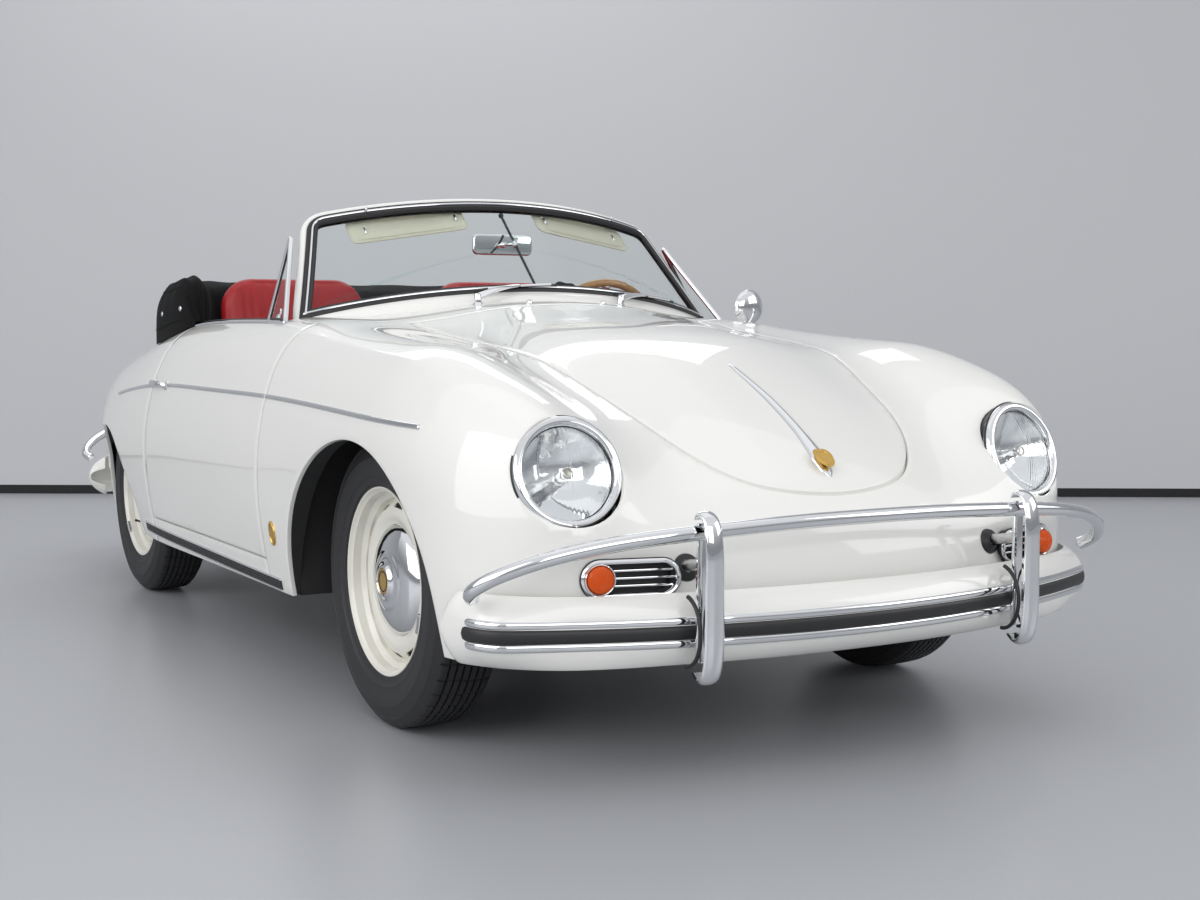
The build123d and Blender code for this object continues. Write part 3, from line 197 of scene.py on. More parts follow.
class Cut:
    """Part of the skin, cut along curves where a field is zero, its cells kept tidy."""

    def __init__(self, inside):
        self.uv, cells = skin_grid()
        near = inside(skin_at(self.uv))
        self.cells = [cell for cell in cells if near[list(cell)].any()]
        self.locked = set()
        self.trim()

    def trim(self):
        """Drop points that no cell uses."""
        used = sorted({corner for cell in self.cells for corner in cell})
        place = {old: new for new, old in enumerate(used)}
        self.cells = [tuple(place[corner] for corner in cell) for cell in self.cells]
        self.locked = {place[corner] for corner in self.locked if corner in place}
        self.uv = self.uv[used]
        self.points = skin_at(self.uv)

    def crossing(self, field, a, b, value_a, value_b):
        """Parameters where the field is zero between two points, and how far along."""
        share = value_a / (value_a - value_b)
        for _ in range(2):
            middle = self.uv[a] + (self.uv[b] - self.uv[a]) * share
            value = field(skin_at(middle[None]))[0]
            if (value > 0) == (value_a > 0):
                share += (1 - share) * value / (value - value_b)
            else:
                share -= share * value / (value - value_a)
        return self.uv[a] + (self.uv[b] - self.uv[a]) * share, share

    def split(self, field, tidy=0.3):
        """Cut the cells along the curve where the field is zero."""
        values = field(self.points)
        values[np.abs(values) < 1e-6] = 0
        pulls = {}
        for cell in self.cells:
            for a, b in zip(cell, cell[1:] + cell[:1]):
                if values[a] * values[b] < 0:
                    share = values[a] / (values[a] - values[b])
                    for corner, far in ((a, b), (b, a)):
                        reach = share if corner == a else 1 - share
                        if reach < tidy and corner not in self.locked and reach < pulls.get(corner, (1,))[0]:
                            pulls[corner] = (reach, far)
        for corner, (_, far) in pulls.items():
            if values[corner] * values[far] < 0:
                place, _ = self.crossing(field, corner, far, values[corner], values[far])
                pulls[corner] = place
        for corner, place in pulls.items():
            if isinstance(place, np.ndarray):
                self.uv[corner] = place
                self.locked.add(corner)
                values[corner] = 0
        added = {}
        places = []
        cells = []
        for cell in self.cells:
            signs = [values[corner] for corner in cell]
            if min(signs) >= 0 or max(signs) <= 0:
                cells.append(cell)
                continue
            above = []
            below = []
            for a, b in zip(cell, cell[1:] + cell[:1]):
                if values[a] >= 0:
                    above.append(a)
                if values[a] <= 0:
                    below.append(a)
                if values[a] * values[b] < 0:
                    key = (min(a, b), max(a, b))
                    if key not in added:
                        place, _ = self.crossing(field, key[0], key[1], values[key[0]], values[key[1]])
                        added[key] = len(self.uv) + len(places)
                        places.append(place)
                    above.append(added[key])
                    below.append(added[key])
            cells += [tuple(part) for part in (above, below) if len(set(part)) > 2]
        self.cells = cells
        self.locked |= {corner for corner in range(len(values)) if values[corner] == 0}
        if places:
            self.locked |= set(added.values())
            self.uv = np.vstack([self.uv, places])
        self.points = skin_at(self.uv)
        return self

    def keep(self, inside):
        """Keep the cells whose middle lies inside."""
        middles = np.array([self.points[list(cell)].mean(axis=0) for cell in self.cells])
        wanted = inside(middles)
        self.cells = [cell for cell, good in zip(self.cells, wanted) if good]
        self.trim()
        return self

    def edges(self):
        """Directed border edges of the kept cells."""
        count = {}
        for cell in self.cells:
            for a, b in zip(cell, cell[1:] + cell[:1]):
                key = (min(a, b), max(a, b))
                count[key] = None if key in count else (a, b)
        return [edge for edge in count.values() if edge]


ROLL = 0.0016


def rolled(cut, inner, roll=ROLL):
    """Closed form of a panel: the skin, its edges rolled over, and an inner face."""
    points = cut.points
    normals = skin_normal(cut.uv)
    inwards = np.zeros_like(points)
    edges = cut.edges()
    for a, b in edges:
        along = points[b] - points[a]
        for corner in (a, b):
            side = np.cross(normals[corner], along)
            inwards[corner] += side / max(np.linalg.norm(side), 1e-9)
    border = sorted({corner for edge in edges for corner in edge})
    length = np.linalg.norm(inwards[border], axis=1)[:, None]
    inwards[border] /= np.maximum(length, 1e-6)
    outer = points.copy()
    outer[border] += inwards[border] * roll
    rings = []
    for turn in (45, 90):
        turn = math.radians(turn)
        rings.append(points[border] + inwards[border] * roll * (1 - math.sin(turn))
                     - normals[border] * roll * (1 - math.cos(turn)))
    inside = inner(points, normals)
    count = len(points)
    size = len(border)
    place = {corner: index for index, corner in enumerate(border)}
    all_points = np.vstack([outer, *rings, inside])
    start = count + len(rings) * size
    faces = list(cut.cells) + [tuple(start + corner for corner in reversed(cell)) for cell in cut.cells]
    for a, b in edges:
        lines = [(a, b), (count + place[a], count + place[b]), (count + size + place[a], count + size
                                                                + place[b]), (start + a, start + b)]
        faces += [(low_b, low_a, high_a, high_b) for (low_a, low_b),
                  (high_a, high_b) in zip(lines, lines[1:])]
    return all_points, faces


def by_depth(depth):
    """Inner face at an even depth under the skin."""
    return lambda points, normals: points - normals * depth


def by_drop(drop):
    """Inner face straight below the skin."""
    return lambda points, normals: points - np.array((0, 0, drop))


def by_plane(x):
    """Inner face pressed flat on a plane across the car."""
    def flat(points, normals):
        inner = points - normals * 0.004
        inner[:, 0] = x
        return inner
    return flat


# ---------------------------------------------------------------- fields that the panels are cut by
def unit(vector):
    vector = np.asarray(vector, float)
    return vector / np.linalg.norm(vector)


def level(axis, value):
    """Plane across one axis."""
    return lambda points: points[:, axis] - value


def width(value):
    """Two planes at a distance either side of the car's middle."""
    return lambda points: np.abs(points[:, 0]) - value


def arch(centre):
    """Wheel arch, a cylinder across the car."""
    return lambda points: np.hypot(points[:, 1] - centre[0], points[:, 2] - centre[1]) - centre[2]


def frame_of(centre, axis, side):
    """Middle, rightwards, upwards and outwards directions of a lamp on one side."""
    outwards = unit((side * axis[0], axis[1], axis[2]))
    rightwards = unit((-axis[1], side * axis[0], 0))
    return np.array((side * centre[0], *centre[1:])), rightwards, np.cross(outwards, rightwards), outwards


def lamp_ring(side, radius):
    """Round hole of a headlamp."""
    middle, _, _, outwards = frame_of(LAMP_CENTRE, LAMP_AXIS, side)

    def ring(points):
        away = points - middle
        depth = away @ outwards
        return np.sqrt(np.maximum((away ** 2).sum(axis=1) - depth ** 2,
                                  0)) - radius + 9 * (np.abs(depth) > 0.4)
    return ring


def oval_ring(side, grow):
    """Hole of the bezel under a headlamp."""
    middle, rightwards, upwards, outwards = frame_of(OVAL_CENTRE, OVAL_AXIS, side)

    def ring(points):
        away = points - middle
        radius = OVAL_SIZE[1] / 2
        over = np.maximum(np.abs(away @ rightwards) - (OVAL_SIZE[0] / 2 - radius), 0)
        return np.hypot(over, away @ upwards) - radius - grow + 9 * (np.abs(away @ outwards) > 0.3)
    return ring


def plan_distance(outline, low_z):
    """Signed distance from a closed plan outline, negative inside, for points above a height."""
    start = np.asarray(outline)
    run = np.roll(start, -1, axis=0) - start

    def distance(points):
        result = np.full(len(points), 9.0)
        low, high = start.min(axis=0) - 0.1, start.max(axis=0) + 0.1
        near = (points[:, 2] > low_z) & (points[:, :2] > low).all(axis=1) & (points[:, :2] < high).all(axis=1)
        if not near.any():
            return result
        away = points[near, None, :2] - start
        share = np.clip((away * run).sum(axis=2) / (run ** 2).sum(axis=1), 0, 1)
        gap = np.linalg.norm(away - share[..., None] * run, axis=2).min(axis=1)
        crosses = (away[..., 1] < 0) != (away[..., 1] < run[:, 1])
        reach = away[..., 0] * run[:, 1] - away[..., 1] * run[:, 0]
        inside = (crosses & ((reach < 0) == (run[:, 1] > 0))).sum(axis=1) % 2 == 1
        result[near] = np.where(inside, -gap, gap)
        return result
    return distance


def grown(distance, amount):
    """The same outline moved outwards."""
    return lambda points: distance(points) - amount


LID_HALF = [(0.12, -1.822), (0.2, -1.792), (0.28, -1.712), (0.36, -1.478), (0.41, -1.27), (0.445, -0.896),
            (0.452, -0.722)]
LID_POINTS = [(-x, y) for x, y in reversed(LID_HALF)] + [(0, -1.836)] + LID_HALF
HOOD_OUTLINE = curve(LID_POINTS, 160)
ENGINE_LID = [(-0.4, 1.105), (0.4, 1.105), (0.36, 1.7), (-0.36, 1.7)]


def rectangle(x, y, x_end, y_end):
    """Corners of a rectangle, along x first."""
    return [(x, y), (x_end, y), (x_end, y_end), (x, y_end)]


def rounded_outline(corners, radius, steps=10):
    """Closed plan outline with round corners."""
    points = []
    for index, corner in enumerate(corners):
        corner = np.array(corner)
        to_last = unit(np.array(corners[index - 1]) - corner)
        to_next = unit(np.array(corners[(index + 1) % len(corners)]) - corner)
        half = math.acos(float(np.clip(to_last @ to_next, -1, 1))) / 2
        middle = corner + unit(to_last + to_next) * radius / math.sin(half)
        first = corner + to_last * radius / math.tan(half) - middle
        last = corner + to_next * radius / math.tan(half) - middle
        sweep = math.acos(float(np.clip(unit(first) @ unit(last), -1, 1)))
        for step in range(steps + 1):
            share = step / steps
            points.append(middle + (math.sin((1 - share) * sweep) * first + math.sin(share * sweep) * last)
                          / math.sin(sweep))
    return np.array(points)


def slot_outline(centre, length, height, steps=16):
    """Plan outline with half-round ends."""
    radius = height / 2
    points = []
    for sign in (1, -1):
        for step in range(steps + 1):
            turn = math.pi * (step / steps - 0.5)
            points.append((centre[0] + sign * (length / 2 - radius + radius * math.cos(turn)),
                           centre[1] + sign * radius * math.sin(turn)))
    return np.array(points)


hood_edge = plan_distance(HOOD_OUTLINE, 0.45)
engine_edge = plan_distance(rounded_outline(ENGINE_LID, 0.11), 0.3)
grille_edge = plan_distance(slot_outline((0, GRILLE_Y), 0.276, 0.186), 0.3)
top_well_edge = plan_distance(rounded_outline(rectangle(-0.6, 0.3, 0.6, 0.94), 0.22), 0.5)


# ---------------------------------------------------------------- making pieces
def new_object(name, mesh):
    piece = bpy.data.objects.new(name, mesh)
    bpy.context.scene.collection.objects.link(piece)
    return piece


def make(name, form, look, crease=38, replaces=(), body="body"):
    """One piece from a form's points and faces, with its finish, riding on a body."""
    points, faces = form
    mesh = bpy.data.meshes.new(name)
    mesh.from_pydata([tuple(point) for point in points], [], [tuple(face) for face in faces])
    work = bmesh.new()
    work.from_mesh(mesh)
    bmesh.ops.remove_doubles(work, verts=work.verts, dist=1e-5)
    bmesh.ops.dissolve_degenerate(work, edges=work.edges, dist=1e-6)
    bmesh.ops.recalc_face_normals(work, faces=work.faces)
    work.to_mesh(mesh)
    work.free()
    mesh.materials.append(look)
    mesh.shade_smooth()
    mesh.set_sharp_from_angle(angle=math.radians(crease))
    piece = new_object(name, mesh)
    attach(piece, body)
    if replaces:
        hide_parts(*replaces)
    return piece


def on_doors(*pieces):
    """Pieces of the left door, then their mirror images on the right door."""
    made = []
    for name in ("left", "right"):
        for label, form, look, crease, hides in pieces:
            hidden = [hides + "_" + name] if hides else ()
            form = form if name == "left" else flipped(form)
            made.append(make(label + "_" + name, form, look, crease, hidden, name + "_door"))
    return made


def joined(*forms):
    """Several forms as one."""
    points = []
    faces = []
    for form_points, form_faces in forms:
        start = sum(len(part) for part in points)
        points.append(np.asarray(form_points, float).reshape(-1, 3))
        faces += [tuple(start + corner for corner in face) for face in form_faces]
    return np.vstack(points), faces


def placed(form, centre=(0, 0, 0), x_dir=(1, 0, 0), z_dir=(0, 0, 1)):
    """A form set on a plane: its x and z run along the given directions."""
    z_dir = unit(z_dir)
    x_dir = np.asarray(x_dir, float)
    x_dir = unit(x_dir - z_dir * (x_dir @ z_dir))
    turn = np.stack([x_dir, np.cross(z_dir, x_dir), z_dir])
    return np.asarray(form[0]) @ turn + np.asarray(centre), form[1]


def shifted(form, offset):
    """A form moved along."""
    return np.asarray(form[0]) + np.asarray(offset), form[1]


def facing_back(form, y):
    """A plate drawn flat, set upright across the car."""
    points, faces = form
    return np.column_stack([points[:, 0], y + points[:, 2], points[:, 1]]), faces


def facing_inwards(form, x):
    """A plate drawn flat, set upright along the car's left side."""
    points, faces = form
    return np.column_stack([x - points[:, 2], points[:, 0], points[:, 1]]), faces


def flipped(form):
    """A form on the other side of the car."""
    return np.asarray(form[0]) * (-1, 1, 1), [tuple(reversed(face)) for face in form[1]]


def pair(form):
    """A form and its twin on the other side."""
    return joined(form, flipped(form))


def grid_faces(rows, columns, close_rows=False, close_columns=False):
    """Faces of a grid of points."""
    faces = []
    for row in range(rows if close_rows else rows - 1):
        for column in range(columns if close_columns else columns - 1):
            low, high = row * columns, (row + 1) % rows * columns
            after = (column + 1) % columns
            faces.append((low + column, low + after, high + after, high + column))
    return faces


def capped(rings, turned=False):
    """Closed form of a stack of rings, its two ends filled; turned where the rings run the other way."""
    count, last = len(rings[0]), len(rings) - 1
    faces = grid_faces(len(rings), count, close_columns=True)
    ends = [tuple(range(count))[::-1], tuple(range(count * last, count * last + count))]
    return np.vstack(rings), faces + [end[::-1] if turned else end for end in ends]


def two_sided(rings):
    """Closed form whose rings run in over its front and out again over its back, both middles filled."""
    count, half = len(rings[0]), len(rings) // 2
    faces = grid_faces(len(rings), count, close_rows=True, close_columns=True)
    faces = [face for face in faces if face[0] // count != half - 1]
    middles = [tuple(range(count * half - count, count * half)),
               tuple(range(count * half, count * half + count))[::-1]]
    return np.vstack(rings), faces + middles


def lathe(outline, steps=64, close=True):
    """Outline of (radius, height) pairs turned about z."""
    outline = np.array(outline, float)
    turns = np.linspace(0, 2 * math.pi, steps, endpoint=False)
    rings = [np.stack([outline[:, 0] * math.cos(turn), outline[:, 0] * math.sin(turn), outline[:, 1]], axis=1)
             for turn in turns]
    return np.vstack(rings), grid_faces(steps, len(outline), close_rows=True, close_columns=close)


def bar_section(x, y, x_end, y_end):
    """Rectangular section for a tube, along y first."""
    return [(x, y), (x, y_end), (x_end, y_end), (x_end, y)]


def oval_section(half_wide, half_high, sides=20):
    """Oval section for a tube."""
    turns = np.linspace(0, 2 * math.pi, sides, endpoint=False)
    return np.stack([half_wide * np.cos(turns), half_high * np.sin(turns)], axis=1)


def round_section(radius, sides=12):
    return oval_section(radius, radius, sides)


def tube(path, section, closed=False, up=(0, 0, 1), scales=None):
    """A section carried along a path; its first axis points aside and its second up."""
    path = np.asarray(path, float)
    section = np.asarray(section, float)
    if closed:
        along = np.roll(path, -1, axis=0) - np.roll(path, 1, axis=0)
    else:
        along = np.gradient(path, axis=0)
    along /= np.linalg.norm(along, axis=1)[:, None]
    ups = np.asarray(up, float)
    ups = np.broadcast_to(ups, path.shape)
    aside = np.cross(along, ups)
    aside /= np.linalg.norm(aside, axis=1)[:, None]
    upright = np.cross(aside, along)
    scales = np.ones(len(path)) if scales is None else np.asarray(scales)
    rings = [path[i] + scales[i] * (section[:, :1] * aside[i] + section[:, 1:] * upright[i])
             for i in range(len(path))]
    if closed:
        return np.vstack(rings), grid_faces(len(path), len(section), close_rows=True, close_columns=True)
    return capped(rings, True)


def prism(outline, low, high, roll=0.0, steps=3):
    """A plan outline made solid between two heights, its edges rounded over."""
    outline = np.asarray(outline, float)
    if area(outline) < 0:
        outline = outline[::-1]
    levels = []
    if roll:
        turns = [math.pi / 2 * step / steps for step in range(steps + 1)]
        levels += [(roll * (1 - math.sin(turn)), low + roll * (1 - math.cos(turn))) for turn in turns]
        levels += [(roll * (1 - math.sin(turn)), high - roll * (1 - math.cos(turn)))
                   for turn in reversed(turns)]
    else:
        levels = [(0, low), (0, high)]
    rings = [np.column_stack([inset(outline, amount), np.full(len(outline), height)]) for amount,
             height in levels]
    return capped(rings)


def area(outline):
    x, y = outline[:, 0], outline[:, 1]
    return 0.5 * float((x * np.roll(y, -1) - np.roll(x, -1) * y).sum())


def inset(outline, amount):
    """A closed outline moved inwards."""
    if amount == 0:
        return outline
    before = outline - np.roll(outline, 1, axis=0)
    after = np.roll(outline, -1, axis=0) - outline
    before /= np.maximum(np.linalg.norm(before, axis=1), 1e-9)[:, None]
    after /= np.maximum(np.linalg.norm(after, axis=1), 1e-9)[:, None]
    along = before + after
    along /= np.linalg.norm(along, axis=1)[:, None]
    inwards = np.stack([-along[:, 1], along[:, 0]], axis=1)
    cosine = np.maximum((along * after).sum(axis=1), 0.5)
    return outline + inwards * (amount / cosine)[:, None]


def box(low, high, roll=0.003, steps=2):
    """Box between two corners with rounded edges."""
    low, high = np.minimum(low, high), np.maximum(low, high)
    work = bmesh.new()
    bmesh.ops.create_cube(work, size=1)
    for corner in work.verts:
        corner.co = Vector(((corner.co[i] + 0.5) * (high[i] - low[i]) + low[i] for i in range(3)))
    if roll:
        bmesh.ops.bevel(work, geom=work.edges[:], offset=roll, segments=steps, profile=0.5, affect="EDGES")
    points = np.array([corner.co for corner in work.verts])
    work.verts.index_update()
    faces = [tuple(corner.index for corner in face.verts) for face in work.faces]
    work.free()
    return points, faces


def bar(start, end, radius, sides=14):
    """Round bar between two points."""
    start, end = np.asarray(start, float), np.asarray(end, float)
    length = np.linalg.norm(end - start)
    roll = min(radius * 0.3, length * 0.3)
    outline = [(0, 0), (radius - roll, 0), (radius, roll), (radius, length - roll), (radius - roll, length),
               (0, length)]
    direction = (end - start) / length
    x_dir = (1, 0, 0) if abs(direction[0]) < 0.9 else (0, 1, 0)
    return placed(lathe(outline, sides, close=False), start, x_dir, direction)


def sheet(points, thickness, normal=None):
    """A grid of points, rows by columns, made into a closed sheet."""
    points = np.asarray(points, float)
    rows, columns = points.shape[:2]
    if normal is None:
        across = np.gradient(points, axis=1)
        down = np.gradient(points, axis=0)
        normal = np.cross(across, down)
        normal /= np.maximum(np.linalg.norm(normal, axis=2), 1e-9)[..., None]
    back = points - np.asarray(normal) * thickness
    count = rows * columns
    faces = grid_faces(rows, columns)
    faces += [tuple(count + corner for corner in reversed(face)) for face in faces]
    rim = [column for column in range(columns)]
    rim += [row * columns + columns - 1 for row in range(1, rows)]
    rim += [(rows - 1) * columns + column for column in range(columns - 2, -1, -1)]
    rim += [row * columns for row in range(rows - 2, 0, -1)]
    for a, b in zip(rim, rim[1:] + rim[:1]):
        faces.append((b, a, count + a, count + b))
    return np.vstack([points.reshape(-1, 3), back.reshape(-1, 3)]), faces


# ---------------------------------------------------------------- finishes
FLOAT = "NodeSocketFloat"
COLOUR = "NodeSocketColor"
VECTOR = "NodeSocketVector"
MATH = "ShaderNodeMath"


def group(name, inputs, outputs):
    """An empty node group: its tree, its given values and its end."""
    tree = bpy.data.node_groups.new(name, "ShaderNodeTree")
    for label, kind, value in inputs:
        tree.interface.new_socket(label, in_out="INPUT", socket_type=kind).default_value = value
    for label, kind in outputs:
        tree.interface.new_socket(label, in_out="OUTPUT", socket_type=kind)
    return tree, tree.nodes.new("NodeGroupInput").outputs, tree.nodes.new("NodeGroupOutput")


def feed(tree, taker, values):
    """Give a node's inputs their values, or links from other nodes' outputs."""
    for label, value in values.items():
        if isinstance(value, bpy.types.NodeSocket):
            tree.links.new(value, taker.inputs[label])
        else:
            taker.inputs[label].default_value = value


def node(tree, kind, values=None, **settings):
    """A node with its settings and its inputs."""
    made = tree.nodes.new(kind)
    for key, value in settings.items():
        setattr(made, key, value)
    feed(tree, made, values or {})
    return made


def math_node(tree, operation, *values):
    return node(tree, MATH, dict(enumerate(values)), operation=operation).outputs[0]


def mottle_group():
    """Slow colour and roughness variation over a surface."""
    tree, given, end = group("mottle", [("Colour", COLOUR, (1, 1, 1, 1)), ("Scale", FLOAT, 6.0),
                                        ("Amount", FLOAT, 0.05), ("Roughness", FLOAT, 0.4),
                                        ("Roughness Amount", FLOAT, 0.05)],
                             [("Colour", COLOUR), ("Roughness", FLOAT)])
    place = node(tree, "ShaderNodeTexCoord").outputs["Object"]
    noise = node(tree, "ShaderNodeTexNoise", {"Vector": place, "Scale": given["Scale"], "Detail": 5.0,
                                              "Roughness": 0.6})
    centred = math_node(tree, "SUBTRACT", noise.outputs["Fac"], 0.5)
    swing = math_node(tree, "MULTIPLY_ADD", centred, given["Amount"], 1.0)
    scaled = node(tree, "ShaderNodeVectorMath", {0: given["Colour"], "Scale": swing},
                  operation="SCALE").outputs[0]
    rough = math_node(tree, "MULTIPLY_ADD", centred, given["Roughness Amount"], given["Roughness"])
    feed(tree, end, {"Colour": scaled, "Roughness": rough})
    return tree


def bump_node(tree, height, given):
    return node(tree, "ShaderNodeBump", {"Height": height, "Strength": given["Strength"],
                                         "Distance": given["Depth"]}).outputs[0]


def grain_group():
    """Fine bumps: leather grain, cast metal or orange peel."""
    tree, given, end = group("grain", [
        ("Scale", FLOAT, 300.0), ("Strength", FLOAT, 0.2), ("Depth", FLOAT, 0.001), ("Cells", FLOAT, 0.5)],
        [("Normal", VECTOR)])
    lie = {"Vector": node(tree, "ShaderNodeTexCoord").outputs["Object"], "Scale": given["Scale"]}
    noise = node(tree, "ShaderNodeTexNoise", {**lie, "Detail": 3.0}).outputs["Fac"]
    cells = node(tree, "ShaderNodeTexVoronoi", lie, feature="DISTANCE_TO_EDGE").outputs["Distance"]
    blend = node(tree, "ShaderNodeMix", {0: given["Cells"], 2: noise, 3: cells}, data_type="FLOAT").outputs[0]
    feed(tree, end, {"Normal": bump_node(tree, blend, given)})
    return tree


def weave_group():
    """Crossed threads of a woven cloth, as bumps and a light and dark mask."""
    tree, given, end = group("weave", [
        ("Threads", FLOAT, 600.0), ("Strength", FLOAT, 0.4), ("Depth", FLOAT, 0.0006)],
        [("Normal", VECTOR), ("Mask", FLOAT)])
    lie = {"Vector": node(tree, "ShaderNodeTexCoord").outputs["Object"], "Scale": given["Threads"],
           "Distortion": 1.5, "Detail": 1.0}
    waves = [node(tree, "ShaderNodeTexWave", lie, bands_direction=turn).outputs["Fac"] for turn in "XYZ"]
    total = math_node(tree, "ADD", math_node(tree, "MULTIPLY", *waves[:2]), waves[2])
    feed(tree, end, {"Normal": bump_node(tree, total, given), "Mask": total})
    return tree


MOTTLE = mottle_group()
GRAIN = grain_group()
WEAVE = weave_group()


def shader_of(name, **values):
    """A new material with a Principled shader: the material, its tree and the shader."""
    material = bpy.data.materials.new(name)
    material.use_nodes = True
    tree = material.node_tree
    shader = tree.nodes["Principled BSDF"]
    feed(tree, shader, {label.replace("_", " "): value for label, value in values.items()})
    return material, tree, shader


def finish(name, colour, rough, mottle=(6, 0.04, 0.06), grain=None, weave=None, **sockets):
    """A Principled material with slow variation and, where asked, grain or weave."""
    colour = (*colour, 1)
    material, tree, shader = shader_of(name, Base_Color=colour, **sockets)
    scale, amount, rough_amount = mottle
    vary = node(tree, "ShaderNodeGroup", node_tree=MOTTLE)
    feed(tree, vary, {"Colour": colour, "Scale": scale, "Amount": amount, "Roughness": rough,
                      "Roughness Amount": rough_amount})
    feed(tree, shader, {"Base Color": vary.outputs["Colour"], "Roughness": vary.outputs["Roughness"]})
    for settings, kind, labels in ((grain, GRAIN, ("Scale", "Strength", "Depth", "Cells")),
                                   (weave, WEAVE, ("Threads", "Strength", "Depth"))):
        if settings:
            bumps = node(tree, "ShaderNodeGroup", node_tree=kind)
            feed(tree, bumps, dict(zip(labels, settings)))
            feed(tree, shader, {"Normal": bumps.outputs["Normal"]})
    return material


IVORY = finish("ivory paint", (0.85, 0.845, 0.805), 0.34, (3, 0.012, 0.04), Coat_Weight=1.0,
               Coat_Roughness=0.03, Coat_IOR=1.5)
CREAM = finish("cream wheel paint", (0.82, 0.8, 0.72), 0.32, (8, 0.02, 0.06), Coat_Weight=0.7,
               Coat_Roughness=0.08)
CHROME = finish("bright chrome", (0.8, 0.81, 0.82), 0.05, (30, 0.03, 0.04), Metallic=1.0)
BRUSHED = finish("dull bright metal", (0.6, 0.6, 0.6), 0.28, (60, 0.08, 0.12), Metallic=1.0)
RUBBER = finish("black rubber", (0.018, 0.018, 0.019), 0.42, (40, 0.15, 0.12), (400, 0.12, 0.0006, 0.2))
TYRE = finish("tyre rubber", (0.024, 0.024, 0.026), 0.55, (25, 0.25, 0.12), (500, 0.15, 0.0008, 0.3))
RED_LEATHER = finish("red leather", (0.36, 0.012, 0.016), 0.42, (14, 0.16, 0.12), (520, 0.25, 0.0006, 0.8),
                     Specular_IOR_Level=0.4)
VISOR = finish("cream leathercloth", (0.72, 0.68, 0.55), 0.55, (20, 0.05, 0.06), (700, 0.2, 0.0004, 0.7))
CLOTH = finish("black hood cloth", (0.006, 0.006, 0.0065), 0.95, (18, 0.3, 0.04), weave=(420, 0.5, 0.0008),
               Sheen_Weight=0.04, Sheen_Roughness=0.4, Specular_IOR_Level=0.2)
CARPET = finish("dark carpet", (0.035, 0.032, 0.03), 0.95, (200, 0.6, 0.05), (900, 0.7, 0.002, 0.1),
                Sheen_Weight=0.3)
WOOD = finish("varnished wood", (0.5, 0.27, 0.1), 0.3, (60, 0.35, 0.1), Coat_Weight=0.8, Coat_Roughness=0.08)
UNDERSIDE = finish("underbody coating", (0.02, 0.02, 0.021), 0.75, (30, 0.3, 0.1), (160, 0.4, 0.002, 0.3))
STEEL = finish("black enamel", (0.022, 0.022, 0.024), 0.4, (30, 0.3, 0.15))
ALLOY = finish("cast alloy", (0.42, 0.42, 0.41), 0.5, (50, 0.15, 0.12), (260, 0.4, 0.0012, 0.3), Metallic=0.9)
GOLD = finish("gilt metal", (0.72, 0.46, 0.13), 0.25, (80, 0.15, 0.1), Metallic=1.0)
RED_ENAMEL = finish("red enamel", (0.45, 0.02, 0.015), 0.25, (60, 0.1, 0.05), Coat_Weight=0.6)
DIAL = finish("dial black", (0.012, 0.012, 0.012), 0.5, (30, 0.1, 0.05))
DIAL_WHITE = finish("dial marks", (0.75, 0.78, 0.7), 0.5, (30, 0.05, 0.05))
SILVERED = finish("lamp reflector", (0.9, 0.91, 0.92), 0.06, (20, 0.02, 0.03), Metallic=1.0)


IRON = finish("rusty cast iron", (0.1, 0.075, 0.06), 0.65, (60, 0.5, 0.15), (180, 0.5, 0.002, 0.2),
              Metallic=0.6)


def clear_finish(name, colour, rough, ior, through=1.0):
    """Glass or clear plastic."""
    return shader_of(name, Base_Color=(*colour, 1), Roughness=rough, Transmission_Weight=through, IOR=ior)[0]


GLASS = clear_finish("screen glass", (0.93, 0.97, 0.96), 0.0, 1.1)
LAMP_GLASS = clear_finish("fluted lamp glass", (0.97, 0.98, 0.98), 0.02, 1.3)
AMBER = clear_finish("amber lens", (0.95, 0.13, 0.006), 0.1, 1.35, 0.3)
RED_LENS = clear_finish("red lens", (0.6, 0.012, 0.008), 0.1, 1.35, 0.3)
BULB = clear_finish("bulb glass", (0.95, 0.93, 0.85), 0.05, 1.3)


# ---------------------------------------------------------------- camera, floor and light
CAMERA_AT = (-2.0948, -4.468, 0.892)
CAMERA_YAW, CAMERA_PITCH, CAMERA_ROLL = 0.5267, -0.079, 0.0033
CAMERA_LENS = 49.19
WALL_AWAY = 8.35
FLOOR_ENDS = (-14, 18)
WALL_HALF = 16
WALL_HIGH = 9
SKIRTING = 0.045


def set_camera():
    look = Vector((math.sin(CAMERA_YAW) * math.cos(CAMERA_PITCH), math.cos(CAMERA_YAW)
                   * math.cos(CAMERA_PITCH), math.sin(CAMERA_PITCH)))
    right = look.cross(Vector((0, 0, 1))).normalized()
    over = right.cross(look)
    turn = math.cos(CAMERA_ROLL), math.sin(CAMERA_ROLL)
    right, over = turn[0] * right + turn[1] * over, turn[0] * over - turn[1] * right
    data = bpy.data.cameras.new("camera")
    data.lens = CAMERA_LENS
    data.sensor_width = 36
    data.clip_end = 200
    camera = new_object("camera", data)
    camera.matrix_world = Matrix((right, over, -look)).transposed().to_4x4()
    camera.location = CAMERA_AT
    bpy.context.scene.camera = camera


